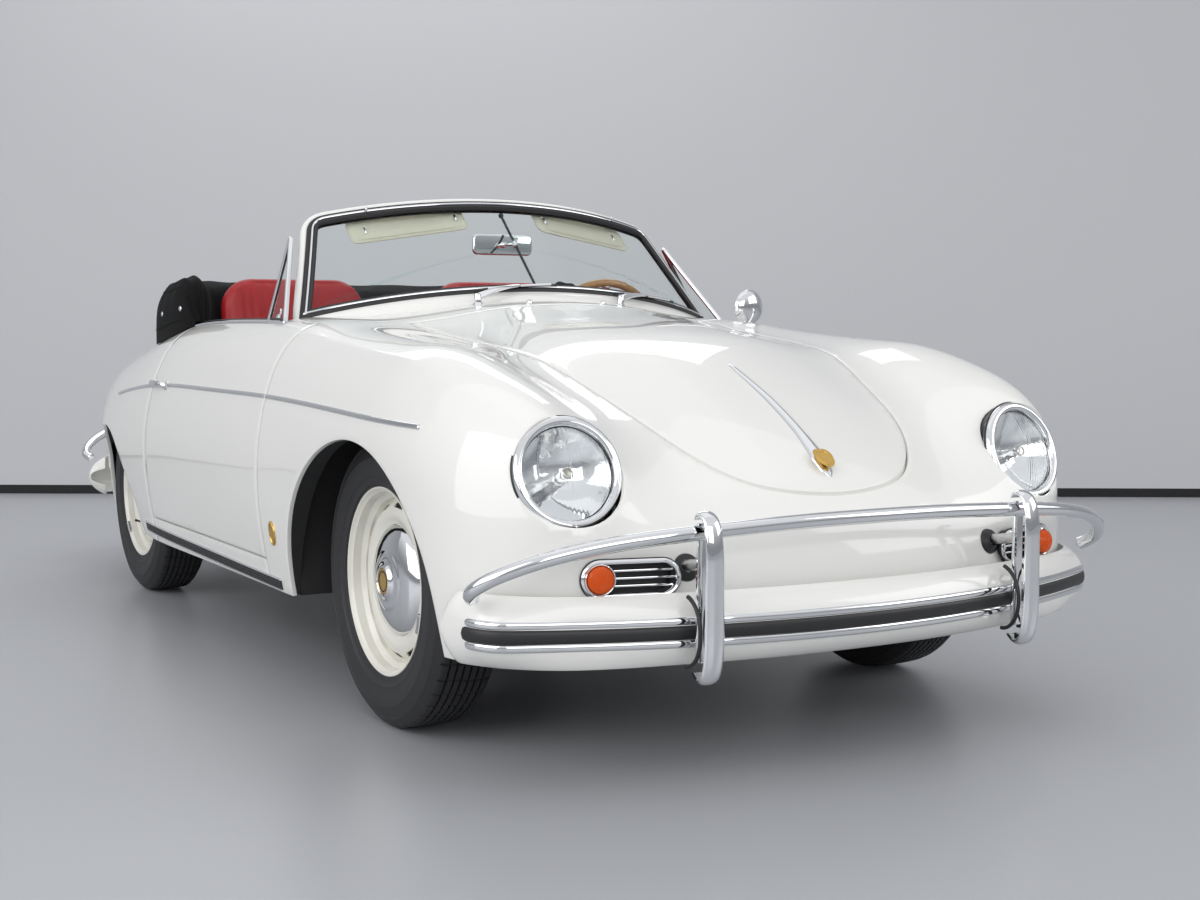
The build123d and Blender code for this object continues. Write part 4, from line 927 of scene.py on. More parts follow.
def stage_finish(name, colour, rough, lift):
    """Floor or wall finish with a little light of its own, clear from behind."""
    colour = (*colour, 1)
    material, tree, shader = shader_of(name, Base_Color=colour, Roughness=rough, Emission_Color=colour,
                                       Emission_Strength=lift)
    behind = node(tree, "ShaderNodeNewGeometry").outputs["Backfacing"]
    clear = node(tree, "ShaderNodeBsdfTransparent").outputs[0]
    mix = node(tree, "ShaderNodeMixShader", {0: behind, 1: shader.outputs[0], 2: clear})
    tree.links.new(mix.outputs[0], tree.nodes["Material Output"].inputs["Surface"])
    return material


def set_stage():
    floor = bpy.data.meshes.new("floor")
    low, high = FLOOR_ENDS
    floor.from_pydata([(low, low, 0), (high, low, 0), (high, high, 0), (low, high, 0)], [], [(0, 1, 2, 3)])
    floor.materials.append(stage_finish("studio floor", (0.42, 0.43, 0.45), 0.34, 0.0))
    wall = bpy.data.meshes.new("wall")
    across = Vector((math.cos(CAMERA_YAW), -math.sin(CAMERA_YAW), 0))
    away = Vector((math.sin(CAMERA_YAW), math.cos(CAMERA_YAW), 0))
    foot = Vector(CAMERA_AT) + away * WALL_AWAY
    foot.z = 0.0
    corners = []
    for ahead, height in ((0, WALL_HIGH), (0.02, SKIRTING)):
        ends = [foot + across * half - away * ahead for half in (-WALL_HALF, WALL_HALF)]
        corners += ends + [end + Vector((0, 0, height)) for end in reversed(ends)]
    wall.from_pydata([tuple(corner) for corner in corners], [], [(0, 1, 2, 3), (4, 5, 6, 7)])
    wall.materials.append(stage_finish("studio wall", (0.53, 0.535, 0.55), 0.8, 0.1))
    wall.materials.append(stage_finish("studio skirting", (0.006, 0.006, 0.007), 0.6, 0.0))
    wall.polygons[1].material_index = 1
    new_object("floor", floor)
    new_object("wall", wall)
    world = bpy.data.worlds.new("world")
    bpy.context.scene.world = world
    world.use_nodes = True
    sky = world.node_tree
    place = node(sky, "ShaderNodeTexCoord").outputs["Generated"]
    height = node(sky, "ShaderNodeSeparateXYZ", {0: place}).outputs["Z"]
    rise = node(sky, "ShaderNodeMapRange", {"Value": height, "From Min": 0.05, "From Max": 0.55,
                                            "To Min": 0.0, "To Max": 1.0}).outputs["Result"]
    shade = node(sky, "ShaderNodeMix", {"Factor": rise}, data_type="RGBA")
    feed(sky, shade, {"A": (0.3, 0.31, 0.33, 1), "B": (0.9, 0.91, 0.94, 1)})
    feed(sky, sky.nodes["Background"], {"Color": shade.outputs["Result"], "Strength": 0.9})
    # name, place, aim, size and watts of each lamp
    lamps = [("top light", (0, 0.2, 4.4), (0, 0, 0), (4.2, 5.5), 14),
             ("right light", (-5.6, -1.6, 2.6), (0, 0, 0.5), (6.0, 3.8), 132),
             ("left light", (4.6, -4.6, 3.0), (0, -0.5, 0.5), (3.6, 2.6), 55),
             ("front light", (-1.6, -7.4, 2.8), (0, -1.0, 0.5), (5.8, 3.0), 92),
             ("back light", (1.0, 2.5, 3.6), (0, 1.2, 0.6), (4.0, 1.2), 30)]
    for name, place, aim, size, power in lamps:
        data = bpy.data.lights.new(name, "AREA")
        data.shape = "RECTANGLE"
        data.size, data.size_y = size
        data.energy = power
        lamp = new_object(name, data)
        lamp.location = place
        lamp.rotation_euler = (Vector(aim) - Vector(place)).to_track_quat("-Z", "Y").to_euler()


bpy.context.scene.view_settings.view_transform = "Standard"
set_camera()
set_stage()


# ---------------------------------------------------------------- painted skin
def side_of(points):
    return np.abs(points[:, 0])


def door_front(points, radius):
    """Front edge of a door: a plane at the pin, bent round the pin outboard of it."""
    x, y = side_of(points), points[:, 1]
    ahead = y - HINGE_PIN[1]
    return np.where((x > HINGE_PIN[0]) & (ahead > 0), np.hypot(x - HINGE_PIN[0], ahead), ahead) - radius


def body_front(points):
    return door_front(points, DOOR_FRONT_Y - HINGE_PIN[1])


def in_cockpit(points):
    """Open part of the cabin and of the well that the folded top lies in."""
    x, y, z = side_of(points), points[:, 1], points[:, 2]
    cabin = (x < CABIN_X) & (y > TONGUE_REAR_Y) & (y < CABIN_REAR_Y)
    return (z > 0.6) & (cabin | ((y >= CABIN_REAR_Y - 0.001) & (top_well_edge(points) < 0)))


def nose_panel():
    cut = Cut(lambda p: p[:, 1] < -0.36)
    cut.split(level(2, BODY_BOTTOM)).keep(lambda p: p[:, 2] > BODY_BOTTOM)
    cut.split(arch(ARCH_FRONT)).keep(lambda p: arch(ARCH_FRONT)(p) > 0)
    cut.split(body_front)
    cut.keep(lambda p: (body_front(p) < 0) | (side_of(p) < CABIN_X + 0.02))
    cut.split(width(CABIN_X)).keep(lambda p: (body_front(p) < 0) | (side_of(p) < CABIN_X))
    cut.split(level(1, TONGUE_REAR_Y)).keep(lambda p: p[:, 1] < TONGUE_REAR_Y)
    edge = grown(hood_edge, SHUT_GAP)
    cut.split(edge).keep(lambda p: edge(p) > 0)
    for side in (1, -1):
        for ring in (lamp_ring(side, LAMP_RADIUS), oval_ring(side, 0)):
            cut.split(ring).keep(lambda p: ring(p) > 0)
    return rolled(cut, by_depth(PANEL_DEPTH))


def tail_panel():
    cut = Cut(lambda p: p[:, 1] > 0.34)
    cut.split(level(2, BODY_BOTTOM)).keep(lambda p: p[:, 2] > BODY_BOTTOM)
    cut.split(arch(ARCH_REAR)).keep(lambda p: arch(ARCH_REAR)(p) > 0)
    cut.split(level(1, DOOR_REAR_Y)).keep(lambda p: p[:, 1] > DOOR_REAR_Y)
    cut.split(level(1, CABIN_REAR_Y))
    cut.split(width(CABIN_X))
    cut.split(top_well_edge)
    cut.keep(lambda p: ~in_cockpit(p))
    edge = grown(engine_edge, SHUT_GAP)
    cut.split(edge).keep(lambda p: edge(p) > 0)
    return rolled(cut, by_depth(PANEL_DEPTH))


def sill_panel():
    cut = Cut(lambda p: (np.abs(p[:, 1] + 0.1) < 0.6) & (p[:, 2] < 0.36))
    for axis, value, sign in ((2, BODY_BOTTOM, 1), (2, DOOR_BOTTOM_Z, -1), (1, DOOR_REAR_Y, -1)):
        cut.split(level(axis, value)).keep(lambda p: sign * (p[:, axis] - value) > 0)
    cut.split(body_front).keep(lambda p: body_front(p) > 0)
    return rolled(cut, by_depth(PANEL_DEPTH))


def door_panel():
    """Left door: outer skin over a flat inner face."""
    low = DOOR_BOTTOM_Z + SHUT_GAP
    inner = CABIN_X + SHUT_GAP
    cut = Cut(lambda p: (p[:, 0] > 0.62) & (np.abs(p[:, 1] + 0.12) < 0.55) & (p[:, 2] > 0.27))
    for axis, value, sign in ((0, inner, 1), (1, DOOR_REAR_Y - SHUT_GAP, -1), (2, low, 1)):
        cut.split(level(axis, value)).keep(lambda p: sign * (p[:, axis] - value) > 0)

    def front(points):
        return door_front(points, DOOR_FRONT_Y - HINGE_PIN[1] + SHUT_GAP)
    cut.split(front).keep(lambda p: front(p) > 0)
    return rolled(cut, by_plane(inner))


def hood_panel():
    cut = Cut(lambda p: (hood_edge(p) < 0.04) & (p[:, 1] < -0.68))
    cut.split(hood_edge).keep(lambda p: hood_edge(p) < 0)
    return rolled(cut, by_drop(LID_DEPTH))


def engine_lid_panel():
    cut = Cut(lambda p: engine_edge(p) < 0.04)
    cut.split(engine_edge).keep(lambda p: engine_edge(p) < 0)
    cut.split(grille_edge).keep(lambda p: grille_edge(p) > 0)
    return rolled(cut, by_drop(LID_DEPTH))


make("nose_skin", nose_panel(), IVORY, replaces=["body_nose"])
make("tail_skin", tail_panel(), IVORY, replaces=["body_tail"])
make("sill_skin", sill_panel(), IVORY)
on_doors(("door_skin", door_panel(), IVORY, 38, "door"))
make("hood_skin", hood_panel(), IVORY, replaces=["front_lid"], body="hood")
make("engine_lid_skin", engine_lid_panel(), IVORY, replaces=["engine_lid"], body="engine_cover")


# ---------------------------------------------------------------- places on the skin
skin_places, skin_cells = skin_grid()
SKIN = BVHTree.FromPolygons([tuple(point) for point in skin_at(skin_places)], skin_cells)


def skin_hit(start, direction):
    """Where a line from outside meets the skin, and the skin's normal there."""
    place, normal, _, _ = SKIN.ray_cast(Vector(start), Vector(direction))
    normal = np.array(normal)
    return np.array(place), normal if normal @ np.array(direction) < 0 else -normal


def on_side(y, z):
    return skin_hit((1.5, y, z), (-1, 0, 0))


def on_top(x, y):
    return skin_hit((x, y, 2.0), (0, 0, -1))


def even(points, count, closed=True):
    """Points evenly parted along a line."""
    points = np.asarray(points, float)
    if closed:
        points = np.vstack([points, points[:1]])
    away = np.concatenate([[0], np.cumsum(np.linalg.norm(np.diff(points, axis=0), axis=1))])
    places = np.linspace(0, away[-1], count, endpoint=not closed)
    return np.stack([np.interp(places, away, points[:, axis]) for axis in range(points.shape[1])], axis=1)


def smoothed(values, rounds=2):
    """Rows averaged with their neighbours, ends held."""
    values = np.array(values, float)
    for _ in range(rounds):
        values[1:-1] = (values[:-2] + 2 * values[1:-1] + values[2:]) / 4
    return values


def strip(path, normals, section):
    """A trim strip along a path: section pairs are (across, out of the skin)."""
    path = smoothed(path)
    normals = smoothed(normals, 4)
    return tube(path, section, up=normals)


def half_round(half, height, steps=6):
    """Flat-backed strip section with a round face."""
    turns = [math.pi * step / steps for step in range(steps + 1)]
    return [(half, -0.002)] + [(half * math.cos(turn), height * math.sin(turn))
                               for turn in turns] + [(-half, -0.002)]


# ---------------------------------------------------------------- windscreen
SCREEN_BASE = np.array((0, -0.569, 0.959))
SCREEN_TOP = np.array((0, -0.29, 1.226))
SCREEN_LOW = (0.615, 0.159, -0.067, -0.09)    # corner: half width, back, down, run past the edge
SCREEN_HIGH = (0.528, 0.09, -0.058, 0.045)
SCREEN_RUN = 0.045
RAKE = math.atan2(SCREEN_TOP[2] - SCREEN_BASE[2], SCREEN_TOP[1] - SCREEN_BASE[1])
UP_SCREEN = np.array((0, math.cos(RAKE), math.sin(RAKE)))
OFF_SCREEN = np.array((0, -math.sin(RAKE), math.cos(RAKE)))


def screen_edge(middle, edge, turn, depth):
    """Points on the arc along one edge of the windscreen."""
    half, back, down, run = edge
    inwards = unit((0, back, down))
    fall = math.hypot(back, down)
    radius = (half ** 2 + fall ** 2) / (2 * fall)
    angle = turn * math.asin((half + SCREEN_RUN) / radius)
    across = np.stack([radius * np.sin(angle), 0 * angle, 0 * angle], axis=1)
    return middle + UP_SCREEN * run + across + inwards * (radius * (1 - np.cos(angle)) + depth)[:, None]


def screen_surface(turn, share, depth):
    low = screen_edge(SCREEN_BASE, SCREEN_LOW, turn, depth)
    high = screen_edge(SCREEN_TOP, SCREEN_HIGH, turn, depth)
    return low + (high - low) * share[:, None]


def on_screen(flat, depth):
    """Points of the windscreen at a depth behind its surface, from places on its face."""
    flat = np.asarray(flat, float)

    def miss(turn, share):
        point = screen_surface(turn, share, depth)
        return np.stack([point[:, 0], (point - SCREEN_BASE) @ UP_SCREEN], axis=1) - flat
    turn, share = flat[:, 0] / 0.62, (flat[:, 1] + 0.09) / 0.52
    for _ in range(6):
        here = miss(turn, share)
        by_turn = (miss(turn + 1e-4, share) - here) / 1e-4
        by_share = (miss(turn, share + 1e-4) - here) / 1e-4
        scale = by_turn[:, 0] * by_share[:, 1] - by_turn[:, 1] * by_share[:, 0]
        turn = turn - (here[:, 0] * by_share[:, 1] - here[:, 1] * by_share[:, 0]) / scale
        share = share - (by_turn[:, 0] * here[:, 1] - by_turn[:, 1] * here[:, 0]) / scale
    return screen_surface(turn, share, depth)


def screen_loop(amount, foot=0.0):
    """Closed outline on the windscreen's face, inside its painted edge by an amount."""
    low, high = (0.65, 0.063), (0.542, 0.4253)
    corners = [(-low[0], low[1]), (low[0], low[1]), (high[0], high[1]), (-high[0], high[1])]
    low_ring, high_ring = (rounded_outline(corners, radius, 14) for radius in (0.016, 0.07))
    loop = even(np.vstack([low_ring[low_ring[:, 1] <= 0.24], high_ring[high_ring[:, 1] > 0.24]]), 260)
    share = np.clip((loop[:, 1] - low[1]) / (high[1] - low[1]), 0, 1)
    loop[:, 1] += -0.0293 * (1 - (loop[:, 0] / high[0]).clip(-1, 1) ** 2) * share
    loop[:, 1] += -0.063 * (1 - (loop[:, 0] / low[0]) ** 2) * (1 - share)
    loop = inset(loop, amount)
    share = np.clip(1 - share * 5, 0, 1)
    loop[:, 1] -= foot * share ** 2 * (3 - 2 * share)
    return loop


def screen_ring(section):
    """A moulding round the windscreen from pairs of (inwards, depth)."""
    rings = [on_screen(screen_loop(amount, 0.035 if amount < 0.01 else 0.0), depth) for amount,
             depth in section]
    return np.vstack(rings), grid_faces(len(rings), len(rings[0]), close_rows=True, close_columns=True)


def screen_pane(amount, near, far):
    """The glass between two depths."""
    loop = screen_loop(amount)
    middle = np.array((0, 0.2))
    shares = np.linspace(1, 0.04, 9)
    rings = [on_screen(middle + (loop - middle) * share, near) for share in shares]
    rings += [on_screen(middle + (loop - middle) * share, far) for share in shares[::-1]]
    return two_sided(rings)


FRAME_SECTION = [(0.0016, 0.022), (0.0, 0.019), (0.0, 0.005), (0.0012, 0.002), (0.0045, 0.0002), (0.012, 0.0),
                 (0.016, 0.003), (0.03, 0.006), (0.036, 0.013), (0.0365, 0.02), (0.035, 0.022)]
make("windscreen_frame_skin", screen_ring(FRAME_SECTION), IVORY, replaces=["windscreen_frame"])
GASKET = [(0.0145, 0.004), (0.015, -0.001), (0.0175, -0.0035), (0.0225, -0.004), (0.0245, -0.0015),
          (0.0315, -0.0015), (0.0335, -0.0035), (0.039, -0.003), (0.043, 0.002), (0.044, 0.0079),
          (0.03, 0.0079)]
make("windscreen_rubber", screen_ring(GASKET), RUBBER)
make("windscreen_rubber_inside", screen_ring([(0.0355, 0.0141), (0.043, 0.0141), (0.043, 0.019),
                                              (0.039, 0.0225), (0.034, 0.0235), (0.0355, 0.02)]), RUBBER)
make("windscreen_bright_strip", screen_ring([(0.025, 0.0), (0.0248, -0.0045), (0.0262, -0.0062),
                                             (0.028, -0.0068), (0.0298, -0.0062), (0.0312, -0.0045),
                                             (0.031, 0.0)]), CHROME)
make("windscreen_pane", screen_pane(0.0375, 0.008, 0.014), GLASS, replaces=["windscreen_glass"])


def screen_place(x, up, behind):
    """A point by the windscreen's middle plane: across, up the rake and behind it."""
    return SCREEN_BASE + np.array((x, 0, 0)) + UP_SCREEN * up - OFF_SCREEN * behind


def inner_mirror():
    middle = np.array((-0.01, -0.332, 1.1))
    ring = rounded_outline(rectangle(-0.092, -0.0285, 0.092, 0.0285), 0.016, 8)
    shell = prism(ring, -0.008, 0.0055, 0.0045, 4)
    glass = prism(inset(ring, 0.0035), 0.0056, 0.0078, 0.0008, 2)
    toward = (0, 1, 0)
    set_at = [placed(part, middle, (1, 0, 0), toward) for part in (shell, glass)]
    rod_low, rod_high = screen_place(0, 0.006, 0.02), screen_place(0, 0.35, 0.02)
    on_rod = rod_low + (rod_high - rod_low) * (middle[2] - rod_low[2]) / (rod_high[2] - rod_low[2])
    rod = bar(rod_low, rod_high, 0.0036, 16)
    foot = bar(rod_low, rod_low + (rod_high - rod_low) * 0.06, 0.008, 20)
    head = bar(rod_high - (rod_high - rod_low) * 0.03, rod_high, 0.007, 20)
    clip = joined(bar(on_rod - UP_SCREEN * 0.01, on_rod + UP_SCREEN * 0.01, 0.0072, 18),
                  bar(on_rod, middle - np.array((0, 0.008, 0)), 0.0045, 14))
    ball = placed(lathe([(0, -0.009), (0.006, -0.007), (0.009, 0), (0.006, 0.007), (0, 0.009)], 20,
                        close=False), middle - np.array((0, 0.011, 0)), (1, 0, 0), (0, 1, 0))
    make("inner_mirror_rod", joined(rod, foot, head), STEEL, replaces=["interior_mirror"])
    make("inner_mirror_shell", joined(set_at[0], clip, ball), CHROME)
    make("inner_mirror_glass", set_at[1], SILVERED)


inner_mirror()


def visor_pads():
    """Two padded sun visors on bright brackets behind the screen's upper edge."""
    turn = math.radians(12)
    along = np.array((math.cos(turn), 0, 0)) - OFF_SCREEN * math.sin(turn)
    out = np.cross(along, UP_SCREEN)
    middle = SCREEN_BASE + np.array((0.272, 0, 0)) + UP_SCREEN * 0.346 - OFF_SCREEN * 0.068
    ring = even(rounded_outline(rectangle(-0.166, -0.046, 0.166, 0.046), 0.02, 8), 160)
    rings = []
    for amount, height in ((0.0, 0.0), (0.0008, 0.0015), (0.003, 0.002), (0.0045, 0.003), (0.008, 0.0048),
                           (0.012, 0.0056)):
        rings.append(np.column_stack([inset(ring, amount), np.full(len(ring), height)]))
    for share, height in ((0.84, 0.0061), (0.6, 0.0063), (0.25, 0.0064)):
        rings.append(np.column_stack([ring * share, np.full(len(ring), height)]))
    top = rings[::-1]
    low = [part * (1, 1, -1) for part in rings[1:]]
    points, faces = capped(top + low)
    ripple = 0.0005 * np.sin(points[:, 0] * 55) * np.cos(points[:, 1] * 60)
    points[:, 2] += ripple * (np.abs(points[:, 2]) > 0.0035)
    pad = placed((points, faces), middle, along, out)
    brackets = []
    for x in (0.14, 0.39):
        behind = 0.068 + (x - 0.272) * math.tan(turn)
        start = screen_place(x, 0.33, behind + 0.001)
        knee = screen_place(x, 0.384, behind + 0.001)
        route = curve([start, screen_place(x, 0.37, behind + 0.001), knee,
                       screen_place(x, 0.386, behind - 0.014), screen_place(x * 0.99, 0.382, 0.04)], 22)
        brackets += [tube(route, round_section(0.0036, 12), up=(1, 0, 0)),
                     bar(start, screen_place(x, 0.35, behind + 0.001), 0.0056, 16)]
    return pad, joined(*brackets)


visor_form, visor_brackets = visor_pads()
visors = make("sun_visor_pads", pair(visor_form), VISOR, 60, ["sun_visors"])
make("sun_visor_brackets", pair(visor_brackets), CHROME)


def wiper(x):
    """One wiper: spindle, tapered arm and blade lying on the foot of the glass."""
    foot, normal = on_top(x, -0.602)
    spindle = placed(lathe([(0, -0.006), (0.016, -0.006), (0.0165, 0.0), (0.012, 0.003), (0.0095, 0.006),
                            (0.009, 0.024), (0.0065, 0.029), (0, 0.03)], 28, close=False), foot, (1, 0, 0),
                     normal)
    reach = np.linspace(0.02, 0.262, 24)
    flat = [(x + step, 0.016 + 0.063 * (x + step) ** 2 / 0.42 + 0.016 * (step / 0.26)) for step in reach]
    lie = on_screen(flat, -0.012)
    start = foot + normal * 0.02
    arm = curve(np.vstack([start, (start + lie[12]) / 2 + np.array((0, -0.003, 0.006)), lie[12]]), 26)
    wide = np.linspace(2.2, 0.8, 26)
    arm = tube(arm, [(0.0042, -0.0016), (0.0042, 0.0012), (0.0, 0.0022), (-0.0042, 0.0012),
                     (-0.0042, -0.0016)], up=OFF_SCREEN, scales=wide)
    claw = tube(on_screen(flat, -0.0105)[3:22], [(0.0028, 0), (0.0022, 0.003), (-0.0022, 0.003),
                                                 (-0.0028, 0)], up=OFF_SCREEN)
    blade = tube(on_screen(flat, -0.007), [(0.0032, 0.003), (0.0006, -0.0052), (-0.0006, -0.0052),
                                           (-0.0032, 0.003)], up=OFF_SCREEN)
    return joined(spindle, arm, claw), blade


wipers = [wiper(x) for x in (-0.215, 0.215)]
make("wiper_arms", joined(*[form for form, _ in wipers]), CHROME, replaces=["wipers"])
make("wiper_blades", joined(*[form for _, form in wipers]), RUBBER)


def nozzle(x):
    foot, normal = on_top(x, -0.69)
    return placed(lathe([(0, -0.003), (0.0105, -0.003), (0.0105, 0.001), (0.0075, 0.0035), (0.0068, 0.007),
                         (0.004, 0.0105), (0, 0.011)], 20, close=False), foot, (1, 0, 0), normal)


make("washer_nozzles", pair(nozzle(0.11)), CHROME)


# ---------------------------------------------------------------- wheels
def tyre_form():
    """Cross-ply tyre: ringed walls, ribbed tread with small sipes at each rib's edge."""
    wall = [(0.1995, 0.054), (0.2005, 0.0615), (0.206, 0.0665), (0.213, 0.069), (0.2145, 0.0715),
            (0.218, 0.0712), (0.229, 0.0762), (0.2303, 0.0777), (0.233, 0.077), (0.248, 0.0796), (0.27, 0.08),
            (0.271, 0.0812), (0.2745, 0.0794), (0.287, 0.077), (0.296, 0.0735), (0.2975, 0.0744),
            (0.3005, 0.0716), (0.308, 0.0668), (0.3135, 0.062)]
    shoulder = [(0.316, 0.06), (0.3185, 0.056), (0.3195, 0.051)]
    ribs = []
    for groove in (0.042, 0.025, 0.0085):
        rise = 0.3215 - 0.9 * groove ** 2
        ribs += [(rise, groove + 0.0026), (rise - 0.0065, groove + 0.0016), (rise - 0.0065, groove - 0.0016),
                 (rise, groove - 0.0026)]
    half = wall + shoulder + ribs
    outline = half + [(radius, -across) for radius, across in reversed(half)]
    count = len(outline)
    deep = np.zeros(count)
    first = len(wall)
    for index in range(first, count - first):
        deep[index] = 1.0 if outline[index][0] > 0.3165 else 0.0
    near_edge = deep.copy()
    near_edge[first:first + 3] = 1.6
    near_edge[count - first - 3:count - first] = 1.6
    turns = []
    blocks = 46
    for block in range(blocks):
        turns += [2 * math.pi * (block + share) / blocks for share in (0.0, 0.1, 0.14, 0.24, 0.28)]
    turns = np.array(turns)
    rings = []
    for index, turn in enumerate(turns):
        cut = 0.0028 if index % 5 in (2, 3) else 0.0
        skew = 0.01 * np.sign([across for _, across in outline])
        radius = np.array([radius for radius, _ in outline]) - near_edge * cut
        angle = turn + skew * (near_edge > 0)
        rings.append(np.stack([radius * np.cos(angle), radius * np.sin(angle),
                               np.array([across for _, across in outline])], axis=1))
    return np.vstack(rings), grid_faces(len(turns), count, close_rows=True, close_columns=True)


def slotted(front, back, steps, holes):
    """A turned sheet between two outlines, with cells left out where holes(row, step) says so."""
    front_points, _ = lathe(front, steps)
    back_points, _ = lathe(back, steps)
    rows = len(front)
    count = rows * steps
    points = np.vstack([front_points, back_points])
    faces = []
    for step in range(steps):
        after = (step + 1) % steps
        for row in range(rows - 1):
            a, b = step * rows + row, step * rows + row + 1
            c, d = after * rows + row + 1, after * rows + row
            if holes(row, step):
                if not holes(row - 1, step):
                    faces.append((a, d, count + d, count + a))
                if not holes(row + 1, step):
                    faces.append((b, c, count + c, count + b))
                if not holes(row, (step - 1) % steps):
                    faces.append((a, b, count + b, count + a))
                if not holes(row, after):
                    faces.append((d, c, count + c, count + d))
            else:
                faces += [(a, b, c, d), (count + a, count + d, count + c, count + b)]
        inner, outer = step * rows, after * rows
        faces.append((inner, outer, count + outer, count + inner))
        faces.append((inner + rows - 1, outer + rows - 1, count + outer + rows - 1, count + inner + rows - 1))
    return points, faces


def wheel_disc():
    """Dished disc with twelve slots near its edge."""
    profile = [(0.118, 0.033), (0.128, 0.035), (0.134, 0.0395), (0.142, 0.0425), (0.152, 0.042),
               (0.158, 0.0395), (0.1605, 0.038), (0.164, 0.035), (0.169, 0.03), (0.1725, 0.0262),
               (0.178, 0.0215), (0.184, 0.0185), (0.19, 0.0175), (0.1935, 0.0215)]

    def holes(row, step):
        place = step % 20
        if row == 7:
            return 4 <= place <= 15
        return row in (6, 8) and 5 <= place <= 14
    return slotted(profile, [(radius, height - 0.0042) for radius, height in profile], 240, holes)


RIM_BAND = [(0.2065, 0.0655), (0.2075, 0.0672), (0.207, 0.0692), (0.205, 0.0698), (0.203, 0.0688),
            (0.201, 0.0655), (0.1985, 0.0625), (0.1955, 0.06), (0.1945, 0.048), (0.193, 0.042),
            (0.182, 0.033), (0.1805, 0.02), (0.1805, -0.02), (0.182, -0.033), (0.193, -0.042),
            (0.1945, -0.048), (0.1955, -0.06), (0.2, -0.065), (0.203, -0.0688), (0.2065, -0.069),
            (0.2075, -0.0672), (0.206, -0.065), (0.1985, -0.059), (0.1978, -0.045), (0.196, -0.04),
            (0.185, -0.031), (0.1838, 0.019), (0.185, 0.031), (0.196, 0.04), (0.1978, 0.045), (0.1985, 0.059),
            (0.201, 0.0625)]


def hubcap():
    """Domed cap with a raised middle, its badge place left bare."""
    return lathe([(0.0, 0.066), (0.0285, 0.066), (0.029, 0.069), (0.031, 0.0706), (0.0335, 0.07),
                  (0.037, 0.066), (0.042, 0.0625), (0.048, 0.061), (0.056, 0.0606), (0.064, 0.0595),
                  (0.066, 0.058), (0.07, 0.0575), (0.085, 0.0552), (0.1, 0.0505), (0.112, 0.0445),
                  (0.12, 0.0375), (0.1245, 0.031), (0.1268, 0.0285), (0.129, 0.0288), (0.131, 0.0315),
                  (0.13, 0.0345), (0.1278, 0.0348), (0.1262, 0.033), (0.123, 0.034), (0.118, 0.036),
                  (0.108, 0.043), (0.098, 0.048), (0.084, 0.0528), (0.068, 0.0552), (0.0, 0.056)], 96,
                 close=False)


def wheel_pieces():
    """Forms of one wheel, its axle along z and its outer side up."""
    valve = placed(lathe([(0, 0), (0.0045, 0), (0.0045, 0.012), (0.003, 0.014), (0.003, 0.028),
                          (0.0045, 0.03), (0.0045, 0.036), (0, 0.037)], 14, close=False), (0.18, 0, 0.0215),
                   (1, 0, 0), (-0.55, 0, 1))
    weight = tube([(0.2 * math.cos(turn), 0.2 * math.sin(turn), 0.067)
                   for turn in np.linspace(-0.1, 0.1, 11)], [(0.0045, -0.004), (0.0045, 0.003),
                                                             (0.003, 0.0048), (-0.003, 0.0048),
                                                             (-0.0045, 0.003), (-0.0045, -0.004)])
    drum = lathe([(0.034, -0.018), (0.118, -0.018), (0.128, -0.014), (0.134, -0.02), (0.134, -0.0235),
                  (0.126, -0.0255), (0.034, -0.0255)], 72)
    hub = lathe([(0.0207, -0.0255), (0.034, -0.0255), (0.036, -0.018), (0.036, 0.03), (0.118, 0.03),
                 (0.118, 0.033), (0.034, 0.0335), (0.0207, 0.0335)], 60)
    studs = []
    for index in range(5):
        turn = 2 * math.pi * index / 5
        place = np.array((0.1 * math.cos(turn), 0.1 * math.sin(turn), 0.033))
        hexagon = [(0.0095 * math.cos(math.pi * step / 3), 0.0095 * math.sin(math.pi * step / 3))
                   for step in range(6)]
        studs.append(placed(prism(hexagon, 0.0, 0.008, 0.001, 2), place))
    badge = lathe([(0, 0.0658), (0.0284, 0.0658), (0.0284, 0.0672), (0.026, 0.0684), (0.012, 0.069),
                   (0, 0.0692)], 64, close=False)
    ring = lathe([(0.02, 0.0682), (0.0212, 0.0694), (0.0228, 0.0694), (0.0238, 0.068)], 64)
    return {"tread": tyre_form(), "disc": joined(wheel_disc(), lathe(RIM_BAND, 120)),
            "hub": joined(hub, *studs), "drum": drum, "cap": hubcap(), "badge": badge, "ring": ring,
            "valve": valve, "weight": weight}


def fit_wheels():
    forms = wheel_pieces()
    places = [("front_left", 1, FRONT_AXLE_Y, FRONT_HALF_TRACK, 0.4), ("front_right", -1, FRONT_AXLE_Y,
                                                                       FRONT_HALF_TRACK, 1.9),
              ("rear_left", 1, REAR_AXLE_Y, REAR_HALF_TRACK, 2.6), ("rear_right", -1, REAR_AXLE_Y,
                                                                    REAR_HALF_TRACK, 4.0)]
    looks = [("tread", "tyre_skin", TYRE, 30), ("disc", "wheel_disc", CREAM, 32),
             ("hub", "wheel_hub", STEEL, 32), ("drum", "brake_drum", IRON, 32), ("cap", "hubcap", CHROME, 40),
             ("badge", "hubcap_disc", GOLD, 40), ("ring", "hubcap_ring", DIAL, 40),
             ("valve", "tyre_valve", RUBBER, 40), ("weight", "balance_weight", BRUSHED, 40)]
    for name, side, y, x, turn in places:
        spin = (0, side * math.sin(turn), math.cos(turn))
        hides = {"tread": ["tyre_" + name], "disc": ["rim_" + name]}
        for key, label, look, crease in looks:
            form = placed(forms[key], (side * x, y, HUB_Z), spin, (side, 0, 0))
            make(label + "_" + name, form, look, crease, hides.get(key, ()), body="wheel_" + name)


fit_wheels()


# ---------------------------------------------------------------- lamps
def lamp_set(form, side):
    """A form set into a headlamp: x aside, y up, z outwards."""
    middle, rightwards, _, outwards = frame_of(LAMP_CENTRE, LAMP_AXIS, side)
    return placed(form, middle, rightwards, outwards)


